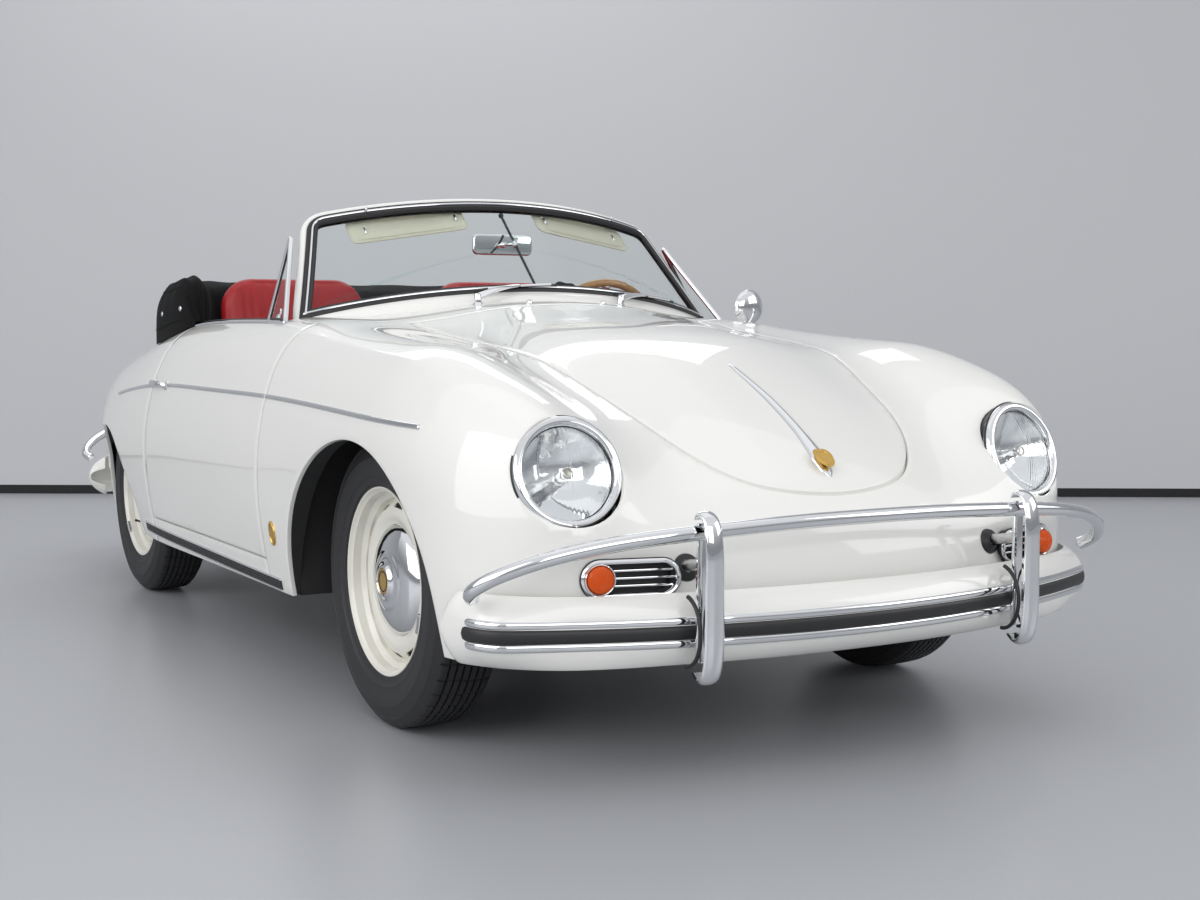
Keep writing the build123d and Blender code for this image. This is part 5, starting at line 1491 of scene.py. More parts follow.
def headlamp_rim():
    """Bright rim, its lower lip a little deeper."""
    outline = [(0.1127, -0.004), (0.1128, 0.004), (0.112, 0.0085), (0.1095, 0.0125), (0.1055, 0.015),
               (0.1005, 0.0155), (0.0965, 0.014), (0.094, 0.011), (0.0932, 0.007), (0.0932, -0.004)]
    points, faces = lathe(outline, 96)
    low = np.clip(-points[:, 1] / 0.11, 0, 1) ** 2
    points[:, 2] += 0.004 * low * (points[:, 2] > 0.006)
    return points, faces


def fluted_lens():
    """Domed glass with upright flutes moulded in bands inside it."""
    rise, edge, radius = 0.024, 0.003, 0.0928
    turns = np.linspace(0, 2 * math.pi, 200, endpoint=False)
    reach = np.linspace(1, 0.03, 23) * radius
    x = reach[:, None] * np.cos(turns)
    y = reach[:, None] * np.sin(turns)
    dome = edge + rise * (1 - (reach / radius) ** 2)[:, None] + 0 * x
    pitch = np.where(np.abs(y) < 0.022, 0.0052, np.where(np.abs(y) < 0.056, 0.007, 0.0094))
    flutes = 0.0011 * np.abs(np.sin(math.pi * x / pitch)) * (reach[:, None] < radius * 0.97)
    bands = 0.0006 * (np.abs(np.abs(y) - 0.022) < 0.0016) + 0.0006 * (np.abs(np.abs(y) - 0.056) < 0.0016)
    front = np.stack([x, y, dome], axis=2)
    back = np.stack([x, y, dome - 0.0036 + flutes - bands], axis=2)[::-1]
    return two_sided(np.concatenate([front, back]))


def reflector():
    """Silvered bowl behind the lens."""
    inside = [(0.091 * share, -0.046 + 0.046 * share ** 2) for share in np.linspace(1, 0.14, 20)]
    outside = [(0.0922 * share, -0.048 + 0.046 * share ** 2) for share in np.linspace(0.14, 1, 20)]
    return lathe(inside + outside, 80)


def bulb():
    glass = lathe([(0, -0.012), (0.006, -0.011), (0.0095, -0.006), (0.0095, 0.002), (0.006, 0.008),
                   (0, 0.0095)], 32, close=False)
    socket = lathe([(0, -0.047), (0.013, -0.047), (0.013, -0.036), (0.0105, -0.034), (0.0105, -0.0125),
                    (0, -0.0125)], 32, close=False)
    shade = lathe([(0.01, -0.003), (0.012, -0.003), (0.012, 0.004), (0.01, 0.006)], 32)
    return glass, joined(socket, shade)


def screw(radius, height=0.0022):
    """Slotted screw head on a plane."""
    head = lathe([(0, -0.002), (radius, -0.002), (radius, height * 0.4), (radius * 0.75, height),
                  (0, height * 1.1)], 24, close=False)
    slot = box((-radius * 0.8, -radius * 0.13, height * 0.9), (radius * 0.8, radius * 0.13, height * 1.16),
               0.0002, 1)
    return head, slot


def fit_headlamps():
    head, slot = screw(0.005)
    drop = np.array((0, -0.1045, 0.0165))
    parts = {"rim": headlamp_rim(), "lens": fluted_lens(), "bowl": reflector()}
    parts["bulb"], parts["socket"] = bulb()
    parts["screw"], parts["slot"] = shifted(head, drop), shifted(slot, drop)
    parts["gasket"] = lathe([(0.112, -0.002), (0.115, -0.001), (0.1155, 0.0015), (0.1125, 0.0035)], 96)
    parts["bucket"] = lathe([(0.1105, -0.004), (0.1105, -0.05), (0.06, -0.068), (0.0, -0.069), (0.0, -0.067),
                             (0.058, -0.066), (0.1085, -0.049), (0.1085, -0.004)], 72, close=False)
    looks = [("rim", "headlamp_rim", CHROME, ["headlamp_rims"]), ("lens", "headlamp_glass", LAMP_GLASS,
                                                                  ["headlamp_lenses"]),
             ("bowl", "headlamp_bowl", SILVERED, ()), ("bulb", "headlamp_bulb", BULB, ()),
             ("socket", "headlamp_socket", BRUSHED, ()), ("screw", "headlamp_screw", CHROME, ()),
             ("slot", "headlamp_slot", STEEL, ()), ("gasket", "headlamp_gasket", RUBBER, ()),
             ("bucket", "headlamp_bucket", STEEL, ())]
    for key, label, look, hides in looks:
        make(label, joined(lamp_set(parts[key], 1), lamp_set(parts[key], -1)), look, 34, hides)


def slot_ring(length, height, outline, steps=20):
    """A moulding round a long hole from pairs of (inwards, out of the face)."""
    ring = slot_outline((0, 0), length, height, steps)
    rings = [np.column_stack([inset(ring, amount), np.full(len(ring), out)]) for amount, out in outline]
    return np.vstack(rings), grid_faces(len(rings), len(ring), close_rows=True, close_columns=True)


def oval_set(form, side):
    middle, rightwards, _, outwards = frame_of(OVAL_CENTRE, OVAL_AXIS, side)
    return placed(form, middle, rightwards, outwards)


def fit_ovals():
    """Bright oval bezels with three bars, a black well and the indicator at the outer end."""
    length, height = OVAL_SIZE
    bezel = slot_ring(length + 0.008, height + 0.008,
                      [(0.0002, 0.0012), (0.0, 0.0035), (0.0015, 0.0062), (0.0045, 0.008), (0.0078, 0.007),
                       (0.0098, 0.0035), (0.0102, -0.006), (0.0102, -0.03), (0.0088, -0.03), (0.007, 0.0)])
    well = slot_ring(length - 0.001, height - 0.001, [(0.0, -0.002), (0.0, -0.046), (0.02, -0.048),
                                                      (0.0325, -0.048), (0.0325, -0.046), (0.02, -0.046),
                                                      (0.0015, -0.044), (0.0015, -0.002)])
    ring_outline = [(0.0262, -0.03), (0.0262, 0.006), (0.027, 0.0085), (0.0286, 0.0092), (0.0302, 0.0082),
                    (0.0306, 0.005), (0.0306, -0.03)]
    lens = [(0.0, 0.024)]
    for radius in np.arange(0.002, 0.0258, 0.0008):
        dome = 0.0085 + 0.015 * math.sqrt(max(0.0, 1 - (radius / 0.0262) ** 2))
        lens.append((radius, dome + 0.00045 * math.cos(2 * math.pi * radius / 0.0036)))
    lens += [(0.026, 0.007), (0.026, -0.02), (0.0245, -0.02), (0.0235, 0.0065)]
    lens += [(radius, 0.006 + 0.015 * math.sqrt(1 - (radius / 0.0262) ** 2))
             for radius in (0.02, 0.014, 0.007, 0.0)]
    lens = lathe(lens, 72, close=False)
    bowl = lathe([(0.0258, 0.004), (0.02, -0.012), (0.01, -0.021), (0.0, -0.023), (0.0, -0.0245),
                  (0.011, -0.0225), (0.0215, -0.013), (0.026, 0.002)], 48, close=False)
    lamp = lathe([(0, -0.022), (0.006, -0.022), (0.006, -0.006), (0.0085, 0.0), (0.006, 0.007), (0, 0.009)],
                 28, close=False)
    head, slot = screw(0.0042)
    gasket = slot_ring(length + 0.012, height + 0.012, [(0.0, -0.001), (0.0005, 0.0018), (0.0035, 0.0028),
                                                        (0.0045, 0.0)])
    sides = []
    for side in (1, -1):
        away = side * (length / 2 - height / 2)
        bars = []
        for row in (-0.0145, 0.0, 0.0145):
            half = 0.5 * (length - 0.012) - 0.5 * (height - 0.012) + math.sqrt(0.027 ** 2 - row ** 2)
            ends = (-side * half, away - side * 0.029)
            bars.append(box((min(ends), row - 0.0021, -0.018), (max(ends), row + 0.0021, -0.004), 0.0012, 2))
        at = (-side * (length / 2 - 0.0045), 0, 0.0062)
        parts = {"bezel": bezel, "gasket": gasket, "well": well, "bars": joined(*bars),
                 "screw": shifted(head, at), "slot": shifted(slot, at)}
        for key, form in (("ring", lathe(ring_outline, 64)), ("lens", lens), ("bowl", bowl), ("lamp", lamp)):
            parts[key] = shifted(form, (away, 0, 0))
        sides.append({key: oval_set(form, side) for key, form in parts.items()})
    looks = [("bezel", "oval_bezels", CHROME, ["nose_grilles"]), ("bars", "oval_bars", CHROME, ()),
             ("gasket", "oval_gaskets", RUBBER, ()), ("well", "oval_wells", STEEL, ()),
             ("ring", "indicator_rings", CHROME, ()), ("lens", "indicator_lenses", AMBER,
                                                       ["indicator_lamps"]),
             ("bowl", "indicator_bowls", SILVERED, ()), ("lamp", "indicator_bulbs", BULB, ()),
             ("screw", "bezel_screws", CHROME, ()), ("slot", "bezel_screw_slots", STEEL, ())]
    for key, label, look, hides in looks:
        make(label, joined(sides[0][key], sides[1][key]), look, 34, hides)


fit_headlamps()
fit_ovals()


# ---------------------------------------------------------------- bumpers
BUMPER_REACH = 1.968
BUMPER_RADIUS = 1.7
BUMPER_Z = 0.335
FRONT_BOW, REAR_BOW = 25.5, 21      # degrees of bow from the middle to the corner


def arc_points(hub, radius, start, end, step):
    count = max(4, int(abs(end - start) * radius / step))
    turns = np.linspace(start, end, count)
    return np.stack([hub[0] + radius * np.cos(turns), hub[1] + radius * np.sin(turns)], axis=1)


def bumper_line(bow):
    """Half of a front bumper's plan path, from the middle to the left end, and its outward normals."""
    hub = np.array((0, -BUMPER_REACH + BUMPER_RADIUS))
    turn = math.radians(bow)
    end = math.radians(bow + 52)
    knee = hub + np.array((math.sin(turn), -math.cos(turn))) * BUMPER_RADIUS
    corner = knee + np.array((-math.sin(turn), math.cos(turn))) * 0.095
    bend = corner + np.array((math.sin(end), -math.cos(end))) * 0.095
    tail = bend + np.array((math.cos(end), math.sin(end))) * 0.095
    middle = arc_points(hub, BUMPER_RADIUS, -math.pi / 2, -math.pi / 2 + turn, 0.012)
    knee_arc = arc_points(corner, 0.095, -math.pi / 2 + turn, -math.pi / 2 + end, 0.005)
    last = np.linspace(bend, tail, 12)
    half = np.vstack([middle[:-1], knee_arc[:-1], last])
    whole = np.vstack([half[:0:-1] * (-1, 1), half])
    path = even(whole, 300, closed=False)
    return np.column_stack([path, np.full(len(path), BUMPER_Z)])


def outward_of(path):
    along = np.gradient(path, axis=0)
    along[:, 2] = 0
    along /= np.linalg.norm(along, axis=1)[:, None]
    return np.stack([along[:, 1], -along[:, 0], np.zeros(len(path))], axis=1)


def blade(bow, end_of_car):
    """Curved blade with rolled edges that reach back as deep as there is room."""
    path = bumper_line(bow)
    out = outward_of(path)
    turns = np.linspace(-1, 1, 15)
    outer = [(-0.001 - 0.052 * abs(turn) ** 2.6, -0.0265 + 0.0685 * turn) for turn in turns]
    inner = [(depth - 0.006, height * 0.97 - 0.0008) for depth, height in outer[::-1]]
    top, low = outer[-1], outer[0]
    section = [(low[0] - 0.006, low[1] + 0.001), (low[0] - 0.004, low[1] - 0.001)] + outer
    section += [(top[0] - 0.004, top[1] + 0.001), (top[0] - 0.006, top[1] - 0.001)] + inner
    section = np.array(section)
    count = len(path)
    place = np.abs(np.linspace(-1, 1, count))
    rings = []
    for index in range(count):
        depth = room_behind(path[index], out[index], end_of_car)
        end = np.clip((place[index] - 0.965) / 0.035, 0, 1)
        tall = math.sqrt(max(0.0, 1 - end ** 2)) * 0.55 + 0.45
        scale = np.clip(depth / 0.06, 0.3, 1.0)
        rings.append(path[index] + out[index] * (section[:, :1] * scale) + np.array((0, 0, 1)) * (
            (section[:, 1:] + 0.0265) * tall - 0.0265))
    return capped(rings, True)


def room_behind(point, out, end):
    """Depth free behind a bumper before the skin, less a gap; end is 1 at the front and -1 at the rear."""
    start = (point + out * 0.3) * (1, end, 1) + (0, 0, 0.02)
    place, _, _, distance = SKIN.ray_cast(Vector(start), Vector(-out * (1, end, 1)))
    return 0.08 if place is None else distance - 0.3 - 0.012


def backward(form):
    """A form turned from the front to the rear."""
    return np.asarray(form[0]) * (1, -1, 1), [tuple(reversed(face)) for face in form[1]]


def strip_along(bow, height, half, out, share):
    """Moulding on a blade's face, ending round before its corners."""
    path = bumper_line(bow)
    count = len(path)
    keep = path[int(count * (0.5 - share)):int(count * (0.5 + share))]
    normals = outward_of(keep)
    lift = np.interp(height, [0.24, 0.28, 0.31, 0.34, 0.378], [-0.053, -0.006, -0.0008, -0.008, -0.053])
    keep = keep + normals * lift
    keep[:, 2] = height
    section = half_round(half, out)
    place = np.abs(np.linspace(-1, 1, len(keep)))
    end = np.clip((place - 0.985) / 0.015, 0, 1)
    scales = np.sqrt(np.clip(1 - end ** 2, 0.02, 1))
    return tube(keep, section, up=normals, scales=scales)


GUARD_X = 0.4


def guard():
    """Upright bright guard with a round face and a foot under the blade."""
    spine = curve([(-1.936, 0.232), (-1.97, 0.226), (-1.983, 0.262), (-1.986, 0.33), (-1.986, 0.43),
                   (-1.98, 0.5), (-1.966, 0.526), (-1.944, 0.53), (-1.935, 0.52)], 60)
    path = np.column_stack([np.full(len(spine), GUARD_X), spine])
    path[:, 1] += 0.009
    half = np.interp(np.linspace(0, 1, len(path)), [0, 0.08, 0.35, 0.8, 0.93, 1],
                     [0.016, 0.0215, 0.0215, 0.019, 0.017, 0.012])
    along = np.gradient(path, axis=0)
    along /= np.linalg.norm(along, axis=1)[:, None]
    out = np.stack([np.zeros(len(path)), -along[:, 2], along[:, 1]], axis=1)
    turns = [math.pi * step / 14 for step in range(15)]
    section = [(math.cos(turn), 0.55 * math.sin(turn) ** 0.8) for turn in turns]
    section += [(-0.86, -0.1), (-0.8, 0.1), (0.8, 0.1), (0.86, -0.1)]
    section = np.array(section)
    rings = [path[i] + half[i] * (section[:, :1] * np.array((1, 0, 0)) + section[:, 1:] * out[i])
             for i in range(len(path))]
    back = box((GUARD_X - 0.012, -1.94, 0.25), (GUARD_X + 0.012, -1.93, 0.515), 0.003, 2)
    return joined(capped(rings, True), back)


def guard_gasket():
    """Rubber between guard and blade."""
    pieces = []
    for edge in (-1, 1):
        path = [(GUARD_X + edge * 0.0235, y, z) for y, z in ((-1.918, 0.243), (-1.95, 0.258), (-1.964, 0.285),
                                                             (-1.967, 0.31), (-1.959, 0.345),
                                                             (-1.923, 0.376))]
        pieces.append(tube(curve(path, 24), round_section(0.0042, 10), up=(1, 0, 0)))
    return joined(*pieces)


FRONT_BAR = [(0.0, -1.955, 0.508), (0.2, -1.952, 0.506), (0.39, -1.938, 0.498), (0.54, -1.915, 0.487),
             (0.66, -1.88, 0.466), (0.745, -1.833, 0.436), (0.793, -1.786, 0.403), (0.78, -1.738, 0.373)]
REAR_BAR = [(0.0, -1.955, 0.508), (0.2, -1.952, 0.506), (0.39, -1.938, 0.498), (0.5, -1.912, 0.483),
            (0.6, -1.868, 0.452), (0.664, -1.818, 0.418), (0.685, -1.78, 0.392), (0.668, -1.742, 0.374)]


def guard_bar(points):
    """Bright tube from corner to corner through both guards, its ends closed round."""
    whole = [(-x, y, z) for x, y, z in points[:0:-1]] + points
    path = curve(whole, 220, 0.6)
    place = np.abs(np.linspace(-1, 1, len(path)))
    end = np.clip((place - 0.992) / 0.008, 0, 1)
    return tube(path, round_section(0.015, 20), scales=np.sqrt(np.clip(1 - end ** 2, 0.01, 1)))


def fit_bumpers():
    gasket = guard_gasket()
    iron = []
    for reach in (1.66, 1.62):
        route = curve([(0.388, -reach, 0.418), (0.389, -1.8, 0.42), (0.394, -1.88, 0.428),
                       (0.4, -1.934, 0.436)], 26)
        iron.append(tube(route, round_section(0.0112, 18)))
    cuff_outline = [(0.0112, -0.01), (0.027, -0.01), (0.0275, -0.001), (0.0255, 0.0045), (0.02, 0.0065),
                    (0.015, 0.0115), (0.0112, 0.012)]
    cuffs = []
    for end in (1, -1):
        place, normal = skin_hit((0.388, -3 * end, 0.421), (0, end, 0))
        cuffs.append(placed(lathe(cuff_outline, 40), place, (1, 0, 0), normal))
    brights, blacks = [], []
    for bow, share in ((FRONT_BOW, 0.462), (REAR_BOW, 0.455)):
        brights.append(joined(*[strip_along(bow, height, 0.0088, 0.0058, share)
                                for height in (0.327, 0.285)]))
        blacks.append(strip_along(bow, 0.306, 0.014, 0.0052, share + 0.002))
    pieces = [("bumper_blade", [blade(FRONT_BOW, 1), blade(REAR_BOW, -1)], IVORY, "bumper"),
              ("bumper_strip_bright", brights, CHROME, None), ("bumper_strip_black", blacks, RUBBER, None),
              ("bumper_guard", [pair(guard())] * 2, CHROME, "bumper_guards"),
              ("bumper_bar", [guard_bar(FRONT_BAR), guard_bar(REAR_BAR)], CHROME, None),
              ("bumper_gasket", [pair(gasket)] * 2, RUBBER, None),
              ("bumper_iron", [pair(form) for form in iron], BRUSHED, None)]
    for label, (front, rear), look, hides in pieces:
        for end, form in (("front", front), ("rear", backward(rear))):
            hidden = [end + "_" + hides] if hides else ()
            make(label + "_" + end, form, look, 40, hidden)
    make("bumper_iron_cuffs", pair(joined(*cuffs)), RUBBER)


fit_bumpers()


# ---------------------------------------------------------------- seats, cushions and folded top
def padded_block(length, wide, thick, crown, radius=0.035, pleat_pitch=0.0, pleat_from=0.0, cells=(52, 66)):
    """Stuffed pad lying flat: x across, y along, z up; its face crowned and pleated along y."""
    rows, columns = cells
    ring = even(rounded_outline(rectangle(-wide / 2, -length / 2, wide / 2, length / 2), radius, 8),
                2 * (rows + columns))
    count = len(ring)
    levels = []
    for share in (0.0, 0.1, 0.22, 0.36, 0.52, 0.68, 0.84, 0.94, 1.0):
        turn = share * math.pi
        bulge = 0.014 * math.sin(turn)
        levels.append((-bulge, thick * (0.5 - 0.5 * math.cos(turn)) * 0.86))
    rings = [np.column_stack([inset(ring, amount), np.full(count, height)]) for amount, height in levels]
    for share in np.linspace(0.97, 0.02, 26):
        rings.append(np.column_stack([ring * share, np.full(count, thick * 0.86)]))
    top = len(levels)
    points, faces = capped(rings)
    x = points[:, 0] / (wide / 2)
    y = points[:, 1] / (length / 2)
    face = np.zeros(len(points), bool)
    face[(top - 1) * count:] = True
    lift = crown * np.clip(1 - x ** 4, 0, 1) ** 0.6 * np.clip(1 - y ** 4, 0, 1) ** 0.6
    lift += thick * 0.14 * np.clip(1 - np.maximum(np.abs(x), np.abs(y)) ** 10, 0, 1)
    if pleat_pitch:
        inside = np.clip((0.76 - np.abs(x)) / 0.03, 0, 1) * np.clip((1 - np.abs(y)) / 0.06, 0, 1)
        inside *= np.clip((y - pleat_from) / 0.04, 0, 1)
        groove = np.abs(np.sin(math.pi * points[:, 0] / pleat_pitch)) ** 0.45
        lift += inside * (groove - 0.75) * 0.0075
        lift -= 0.005 * np.exp(-((np.abs(x) - 0.78) / 0.018) ** 2) * np.clip((1 - np.abs(y)) / 0.05, 0, 1)
    lift += 0.0014 * np.sin(points[:, 0] * 31 + 1.3) * np.sin(points[:, 1] * 27 + 0.4)
    points[face, 2] += lift[face]
    return points, faces


def bent(form, bend):
    """A lying pad bent: its y and z carried to a curve of (y, z) places with its own outward side."""
    points = np.array(form[0], float)
    line = curve(bend, 120)
    away = np.concatenate([[0], np.cumsum(np.linalg.norm(np.diff(line, axis=0), axis=1))])
    low, high = points[:, 1].min(), points[:, 1].max()
    share = (points[:, 1] - low) / (high - low) * away[-1]
    y = np.interp(share, away, line[:, 0])
    z = np.interp(share, away, line[:, 1])
    slope = np.gradient(line, axis=0)
    slope /= np.linalg.norm(slope, axis=1)[:, None]
    across = np.interp(share, away, -slope[:, 1])
    up = np.interp(share, away, slope[:, 0])
    return np.column_stack([points[:, 0], y + across * points[:, 2], z + up * points[:, 2]]), form[1]


def seat_parts():
    """Bucket seat about x = 0: pleated squab and back with side rolls, hard shell, runners and tilt irons."""
    squab = bent(padded_block(0.47, 0.428, 0.115, 0.02, 0.05, 0.0365, -0.55),
                 [(-0.14, 0.352), (-0.02, 0.372), (0.14, 0.352), (0.322, 0.332)])
    back = bent(padded_block(0.56, 0.428, 0.07, 0.02, 0.08, 0.0365, -2.0),
                [(0.366, 0.43), (0.396, 0.56), (0.428, 0.72), (0.452, 0.875), (0.474, 1.008)])
    rear_line = [(0.398, 0.42), (0.428, 0.56), (0.458, 0.72), (0.478, 0.86), (0.484, 0.95)]
    shell = bent(padded_block(0.53, 0.41, 0.014, 0.003, 0.08, cells=(26, 34)), rear_line[::-1])
    rolls = []
    for side in (1, -1):
        path = curve([(side * 0.196, 0.33, 0.44), (side * 0.203, 0.374, 0.56), (side * 0.205, 0.408, 0.7),
                      (side * 0.196, 0.436, 0.83), (side * 0.15, 0.452, 0.93)], 40)
        wide = np.interp(np.linspace(0, 1, 40), [0, 0.15, 0.8, 1], [0.35, 1.0, 0.9, 0.3])
        rolls.append(tube(path, oval_section(0.021, 0.03), up=(0, -1, 0.25), scales=wide))
        path = curve([(side * 0.205, -0.125, 0.445), (side * 0.207, 0.02, 0.462), (side * 0.207, 0.18, 0.452),
                      (side * 0.203, 0.3, 0.436)], 36)
        wide = np.interp(np.linspace(0, 1, 36), [0, 0.15, 0.85, 1], [0.4, 1.0, 1.0, 0.5])
        rolls.append(tube(path, oval_section(0.012, 0.026), scales=wide))
    pan = box((-0.2, -0.135, 0.318), (0.2, 0.345, 0.352), 0.012, 3)
    skirt = box((-0.195, -0.128, 0.286), (0.195, 0.338, 0.322), 0.008, 2)
    irons = []
    for side in (1, -1):
        irons.append(box((side * 0.168 - 0.01, -0.13, 0.2562), (side * 0.168 + 0.01, 0.35, 0.266), 0.002, 1))
        irons.append(box((side * 0.168 - 0.006, -0.11, 0.266), (side * 0.168 + 0.006, 0.33, 0.29), 0.002, 1))
        irons.append(tube(curve([(side * 0.214, 0.3, 0.36), (side * 0.216, 0.352, 0.4),
                                 (side * 0.214, 0.386, 0.47), (side * 0.208, 0.408, 0.56)], 20),
                          bar_section(0.003, -0.01, -0.003, 0.01), up=(0, -1, 1)))
        irons.append(placed(lathe([(0, 0), (0.016, 0), (0.0165, 0.003), (0.012, 0.006), (0, 0.0065)], 24,
                                  close=False), (side * 0.217, 0.352, 0.4), (0, 1, 0), (side, 0, 0)))
    lever = tube(curve([(0.19, -0.12, 0.3), (0.205, -0.14, 0.305), (0.21, -0.15, 0.322)], 12),
                 round_section(0.004, 10))
    return squab, back, joined(*rolls), joined(shell, pan), joined(*irons, lever), skirt


def fit_seats():
    squab, back, rolls, shell, irons, skirt = seat_parts()
    for name, x in (("left", 0.35), ("right", -0.35)):
        at = (x, 0, 0)
        pads = [("seat_squab", squab, 0.75), ("seat_back", back, 0.8), ("seat_rolls", rolls, 0.85)]
        for label, form, fill in pads:
            hides = ["seat_" + name] if label == "seat_squab" else ()
            piece = make(label + "_" + name, shifted(form, at), RED_LEATHER, 60, hides)
        make("seat_shell_" + name, shifted(shell, at), RED_LEATHER, 50)
        make("seat_skirt_" + name, shifted(skirt, at), CARPET, 50)
        make("seat_irons_" + name, shifted(irons, at), CHROME, 40)


fit_seats()


def fit_bench():
    """Rear bench: two low pads and a back rest."""
    for index, x in enumerate((-0.245, 0.245)):
        pad = bent(padded_block(0.25, 0.47, 0.08, 0.014, 0.03, 0.045, -0.9, (24, 48)),
                   [(0.536, 0.596), (0.66, 0.602), (0.786, 0.596)])
        piece = make("bench_pad_%d" % (index + 1), shifted(pad, (x, 0, 0)), RED_LEATHER, 60, ["rear_bench"]
                     if index == 0 else ())
    rest = bent(padded_block(0.14, 0.96, 0.05, 0.008, 0.025, 0.0485, -0.9, (12, 80)),
                [(0.842, 0.64), (0.846, 0.77)])
    piece = make("bench_rest", rest, RED_LEATHER, 60)


fit_bench()


def top_cover():
    """Cloth cover over the folded top, lying on the body round its well and hanging behind the seats."""
    outer = [(0.672, 0.39), (0.694, 0.45), (0.705, 0.54), (0.706, 0.64), (0.692, 0.745), (0.65, 0.845),
             (0.56, 0.925), (0.44, 0.972), (0.28, 0.996), (0.12, 1.004)]
    inner = [(0.628, 0.395), (0.612, 0.425), (0.598, 0.47), (0.575, 0.52), (0.53, 0.545), (0.44, 0.552),
             (0.33, 0.553), (0.22, 0.553), (0.13, 0.553), (0.05, 0.553)]
    stations = 160
    lines = []
    for half in (outer, inner):
        whole = np.array(half + [(-x, y) for x, y in reversed(half)])
        lines.append(even(curve(whole, 400, 0.6), stations, closed=False))
    outside, inside = lines
    place = np.abs(np.linspace(-1, 1, stations))
    rise = np.interp(place, [0.0, 0.3, 0.55, 0.72, 0.8, 0.86, 0.91, 0.955, 0.985, 1.0],
                     [1.004, 1.006, 1.008, 1.008, 1.004, 1.012, 1.022, 1.0, 0.945, 0.885])
    rise = smoothed(rise[:, None], 6)[:, 0]
    hem_out = np.array([on_top(x, y)[0][2] + 0.0035 for x, y in outside])
    hem_out = smoothed(hem_out[:, None], 8)[:, 0]
    hem_in = np.interp(place, [0, 0.8, 0.93, 1.0], [0.7, 0.7, 0.78, 0.872])
    across = 60
    turns = np.linspace(0, math.pi, across)
    step = 0.5 - 0.5 * np.sign(np.cos(turns)) * np.abs(np.cos(turns)) ** 0.62
    lift = np.sin(turns) ** 0.5
    run = np.linspace(0, 1, stations)[:, None]
    x = inside[:, :1] + (outside[:, :1] - inside[:, :1]) * step
    y = inside[:, 1:] + (outside[:, 1:] - inside[:, 1:]) * step
    hem = hem_in[:, None] + (hem_out - hem_in)[:, None] * step ** 1.5
    z = hem + (rise[:, None] - hem) * lift
    crown = np.clip(np.sin(turns), 0, 1) ** 0.5
    folds = 0.003 * np.sin(2 * math.pi * 3.0 * step + 0.9 * np.sin(run * 21)) * crown
    folds += 0.0016 * np.sin(run * 60 + 4 * step + 2.0 * np.sin(run * 9)) * crown
    folds += 0.0035 * np.sin(run * 118 + 9 * step * np.sin(run * 7)) * np.clip(1 - lift, 0, 1) ** 0.5 * crown
    for corner in (0.07, 0.93):
        folds += 0.01 * np.exp(-((run - corner) / 0.012) ** 2 - ((step - 0.45) / 0.18) ** 2)
    points = np.stack([x, y, z], axis=2)
    normal = np.cross(np.gradient(points, axis=0), np.gradient(points, axis=1))
    normal /= np.maximum(np.linalg.norm(normal, axis=2), 1e-9)[..., None]
    if normal[stations // 2, across // 2, 2] < 0:
        normal = -normal
    ends = np.clip(np.minimum(step, 1 - step) / 0.04, 0, 1)
    points = points + normal * (folds * ends)[..., None]
    return points, normal


SEAM_COLUMN = 44


def fit_top():
    points, normal = top_cover()
    cover = make("top_cover", sheet(points, 0.0018, normal), CLOTH, 60, ["soft_top_stack"])
    inner = points - normal * 0.016
    stack = make("folded_top", sheet(inner[3:-3:2, 4:-4:2], 0.02, normal[3:-3:2, 4:-4:2]), CLOTH, 60)
    # a stitched seam along the cover and snap fasteners round its hem
    seams = []
    for column, ends, radius, lift in ((SEAM_COLUMN, 2, 0.0016, 0.0006), (-2, 1, 0.0018, 0.0004)):
        ups = normal[ends:-ends, column]
        seams.append(tube(points[ends:-ends, column] + ups * lift, round_section(radius, 8), up=ups))
    make("top_cover_seams", joined(*seams), CLOTH)
    snap = lathe([(0, -0.001), (0.0078, -0.001), (0.008, 0.0008), (0.0066, 0.0022), (0.004, 0.0034),
                  (0, 0.0038)], 24, close=False)
    snaps = []
    for column, shares in ((-5, (0.028, 0.1, 0.18, 0.27, 0.36, 0.45, 0.55, 0.64, 0.73, 0.82, 0.9, 0.972)),
                           (15, (0.36, 0.44, 0.56, 0.64))):
        for share in shares:
            index = int(share * (len(points) - 1))
            up = normal[index, column]
            snaps.append(placed(snap, points[index, column] + up * 0.0006, (1, 0, 0.01), up))
    make("top_cover_snaps", joined(*snaps), CHROME)


fit_top()


# ---------------------------------------------------------------- dashboard and steering
def dash_pad():
    """Leather pad from the foot of the windscreen over the dashboard's edge."""
    columns = 90
    rows = 26
    x = np.linspace(-0.606, 0.606, columns)
    grid = np.zeros((rows, columns, 3))
    for column, place in enumerate(x):
        front = on_screen([(place, 0.063 * (place / 0.65) ** 2 + 0.004)], 0.03)[0][1]
        front = min(front, -0.392)
        rear = -0.3465
        skin_rear = on_top(place, -0.381)[0][2]
        for row, share in enumerate(np.linspace(0, 1, rows)):
            if share < 0.72:
                y = front + (rear - 0.012 - front) * share / 0.72
                z = (on_top(place, min(y, -0.381))[0][2] if y < -0.381 else skin_rear) + 0.0055
                z += 0.0045 * math.sin(math.pi * min(1, share / 0.72)) ** 0.5
            else:
                turn = (share - 0.72) / 0.28 * math.pi / 2
                y = rear - 0.012 + 0.012 * math.sin(turn)
                z = skin_rear + 0.0055 - 0.012 * (1 - math.cos(turn)) - 0.012 * ((share - 0.72) / 0.28) ** 2
            grid[row, column] = (place, y, z)
    grid[0, :, 2] -= 0.004
    grid[:, 0, 2] -= 0.004
    grid[:, -1, 2] -= 0.004
    return sheet(grid, 0.0045, np.array((0, 0, 1.0)))


